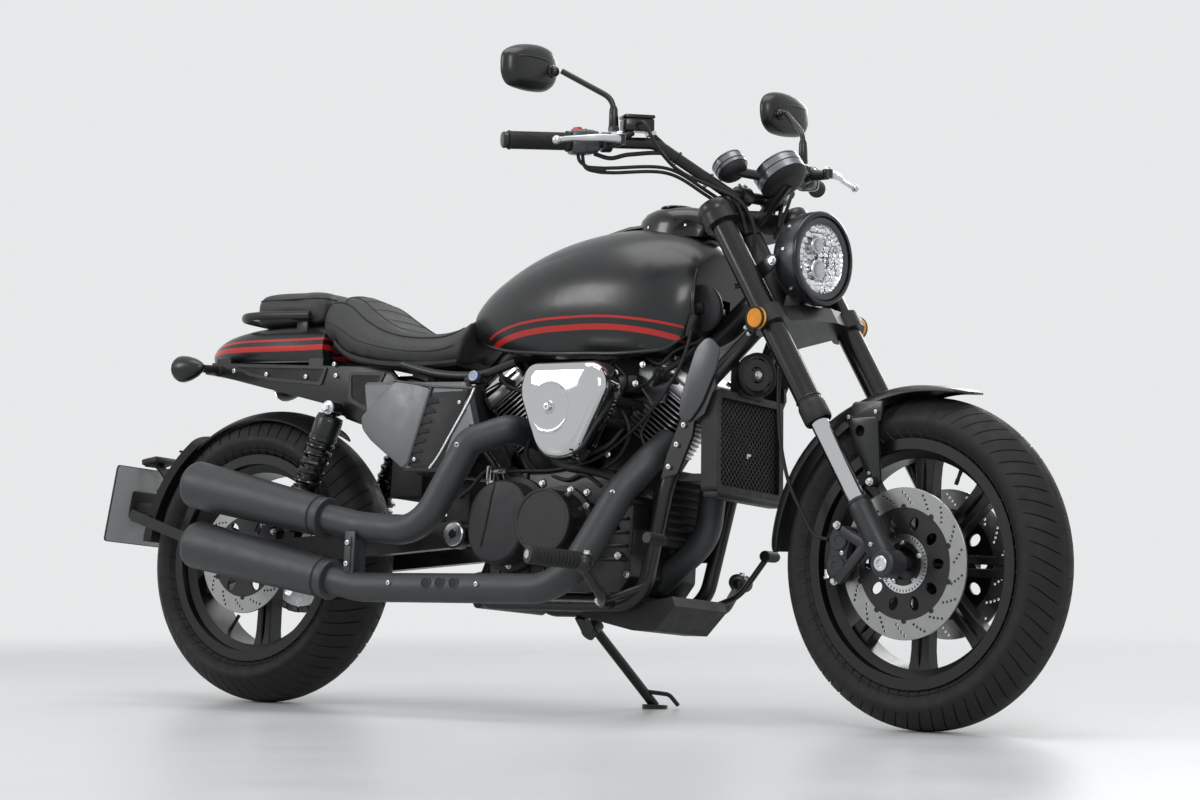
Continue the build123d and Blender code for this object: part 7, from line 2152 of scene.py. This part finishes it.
# ------------------------------------------------------------------ studio
WORLD_LIGHT = 0.4          # what the surroundings give to matt surfaces
BACKDROP = 0.82            # what the eye, metal and glass see behind the object
FLOOR_REACH, FADE_FROM, FADE_TO = 6.0, 2.3, 4.6
LAMPS = [
    ("overhead", (0.2, -0.3, 3.8), (0.1, 0.0, 0.5), (3.4, 2.0), 62.0),
    ("front_right", (3.0, -3.0, 2.6), (0.2, 0.0, 0.6), (1.2, 1.6), 52.0),
    ("rear_right", (-2.4, -3.2, 2.4), (-0.2, 0.0, 0.5), (1.2, 1.6), 52.0),
    ("left_fill", (0.0, 4.0, 2.4), (0.0, 0.0, 0.6), (2.4, 1.4), 46.0)]


def studio_floor():
    """A plain pale floor that fades into the backdrop away from the motorcycle."""
    mat, shader = new_material("studio_floor")
    shader.inputs["Base Color"].default_value = rgb(0.68, 0.695, 0.70)
    shader.inputs["Specular IOR Level"].default_value = 0.35
    wire(mat, band(mat, noise(mat, 3.0), 0.3, 0.7, 0.3, 0.38), shader.inputs["Roughness"])
    tree = mat.node_tree
    away = tree.nodes.new("ShaderNodeVectorMath")
    away.operation = "LENGTH"
    tree.links.new(tree.nodes.new("ShaderNodeTexCoord").outputs["Object"], away.inputs[0])
    fade = tree.nodes.new("ShaderNodeMapRange")
    fade.interpolation_type = "SMOOTHSTEP"
    fade.inputs["From Min"].default_value = FADE_FROM
    fade.inputs["From Max"].default_value = FADE_TO
    fade.inputs["To Min"].default_value = 1.0
    fade.inputs["To Max"].default_value = 0.0
    tree.links.new(away.outputs["Value"], fade.inputs["Value"])
    tree.links.new(fade.outputs["Result"], shader.inputs["Alpha"])
    disc = bmesh.new()
    bmesh.ops.create_circle(disc, cap_ends=True, segments=96, radius=FLOOR_REACH,
                            matrix=Matrix.Translation(ROAD))
    disc.normal_update()
    if disc.faces[:][0].normal.z < 0:
        bmesh.ops.reverse_faces(disc, faces=disc.faces)
    floor = loose_object("studio_floor", disc)
    floor.data.materials.append(mat)


def studio_world():
    """Plain soft light, with the pale backdrop shown to the eye, in metal and through glass."""
    world = bpy.data.worlds.new("studio")
    bpy.context.scene.world = world
    world.use_nodes = True
    tree = world.node_tree
    back = tree.nodes["Background"]
    back.inputs["Color"].default_value = rgb(0.975, 0.99, 1.0)
    rays = tree.nodes.new("ShaderNodeLightPath")
    seen = rays.outputs["Is Camera Ray"]
    for ray in ("Is Glossy Ray", "Is Transmission Ray"):
        larger = tree.nodes.new("ShaderNodeMath")
        larger.operation = "MAXIMUM"
        tree.links.new(seen, larger.inputs[0])
        tree.links.new(rays.outputs[ray], larger.inputs[1])
        seen = larger.outputs[0]
    level = tree.nodes.new("ShaderNodeMapRange")
    level.inputs["To Min"].default_value = WORLD_LIGHT
    level.inputs["To Max"].default_value = BACKDROP
    tree.links.new(seen, level.inputs["Value"])
    tree.links.new(level.outputs["Result"], back.inputs["Strength"])


def lamps():
    """Rectangular lamps: where each is, what it looks at, its size and its power."""
    for name, where, toward, size, power in LAMPS:
        light = bpy.data.lights.new(name, "AREA")
        light.shape = "RECTANGLE"
        light.size, light.size_y = size
        light.energy = power
        lamp = bpy.data.objects.new(name, light)
        bpy.context.scene.collection.objects.link(lamp)
        lamp.location = where
        lamp.rotation_euler = (Vector(toward) - Vector(where)).to_track_quat("-Z", "Y").to_euler()


studio_floor()
studio_world()
lamps()

CAMERA_SPOT, CAMERA_AIM = vec(4.296, -4.815, 0.379), vec(0.8716, 0.0, 0.6185)
FOCAL_LENGTH, SENSOR_WIDTH = 90.70, 36.0

lens = bpy.data.cameras.new("camera")
camera = bpy.data.objects.new("camera", lens)
bpy.context.scene.collection.objects.link(camera)
bpy.context.scene.camera = camera
lens.sensor_width = SENSOR_WIDTH
lens.lens = FOCAL_LENGTH
camera.location = CAMERA_SPOT + ROAD
aim = CAMERA_AIM + ROAD - camera.location
camera.rotation_euler = aim.to_track_quat("-Z", "Y").to_euler()
bpy.context.scene.view_settings.view_transform = "Standard"
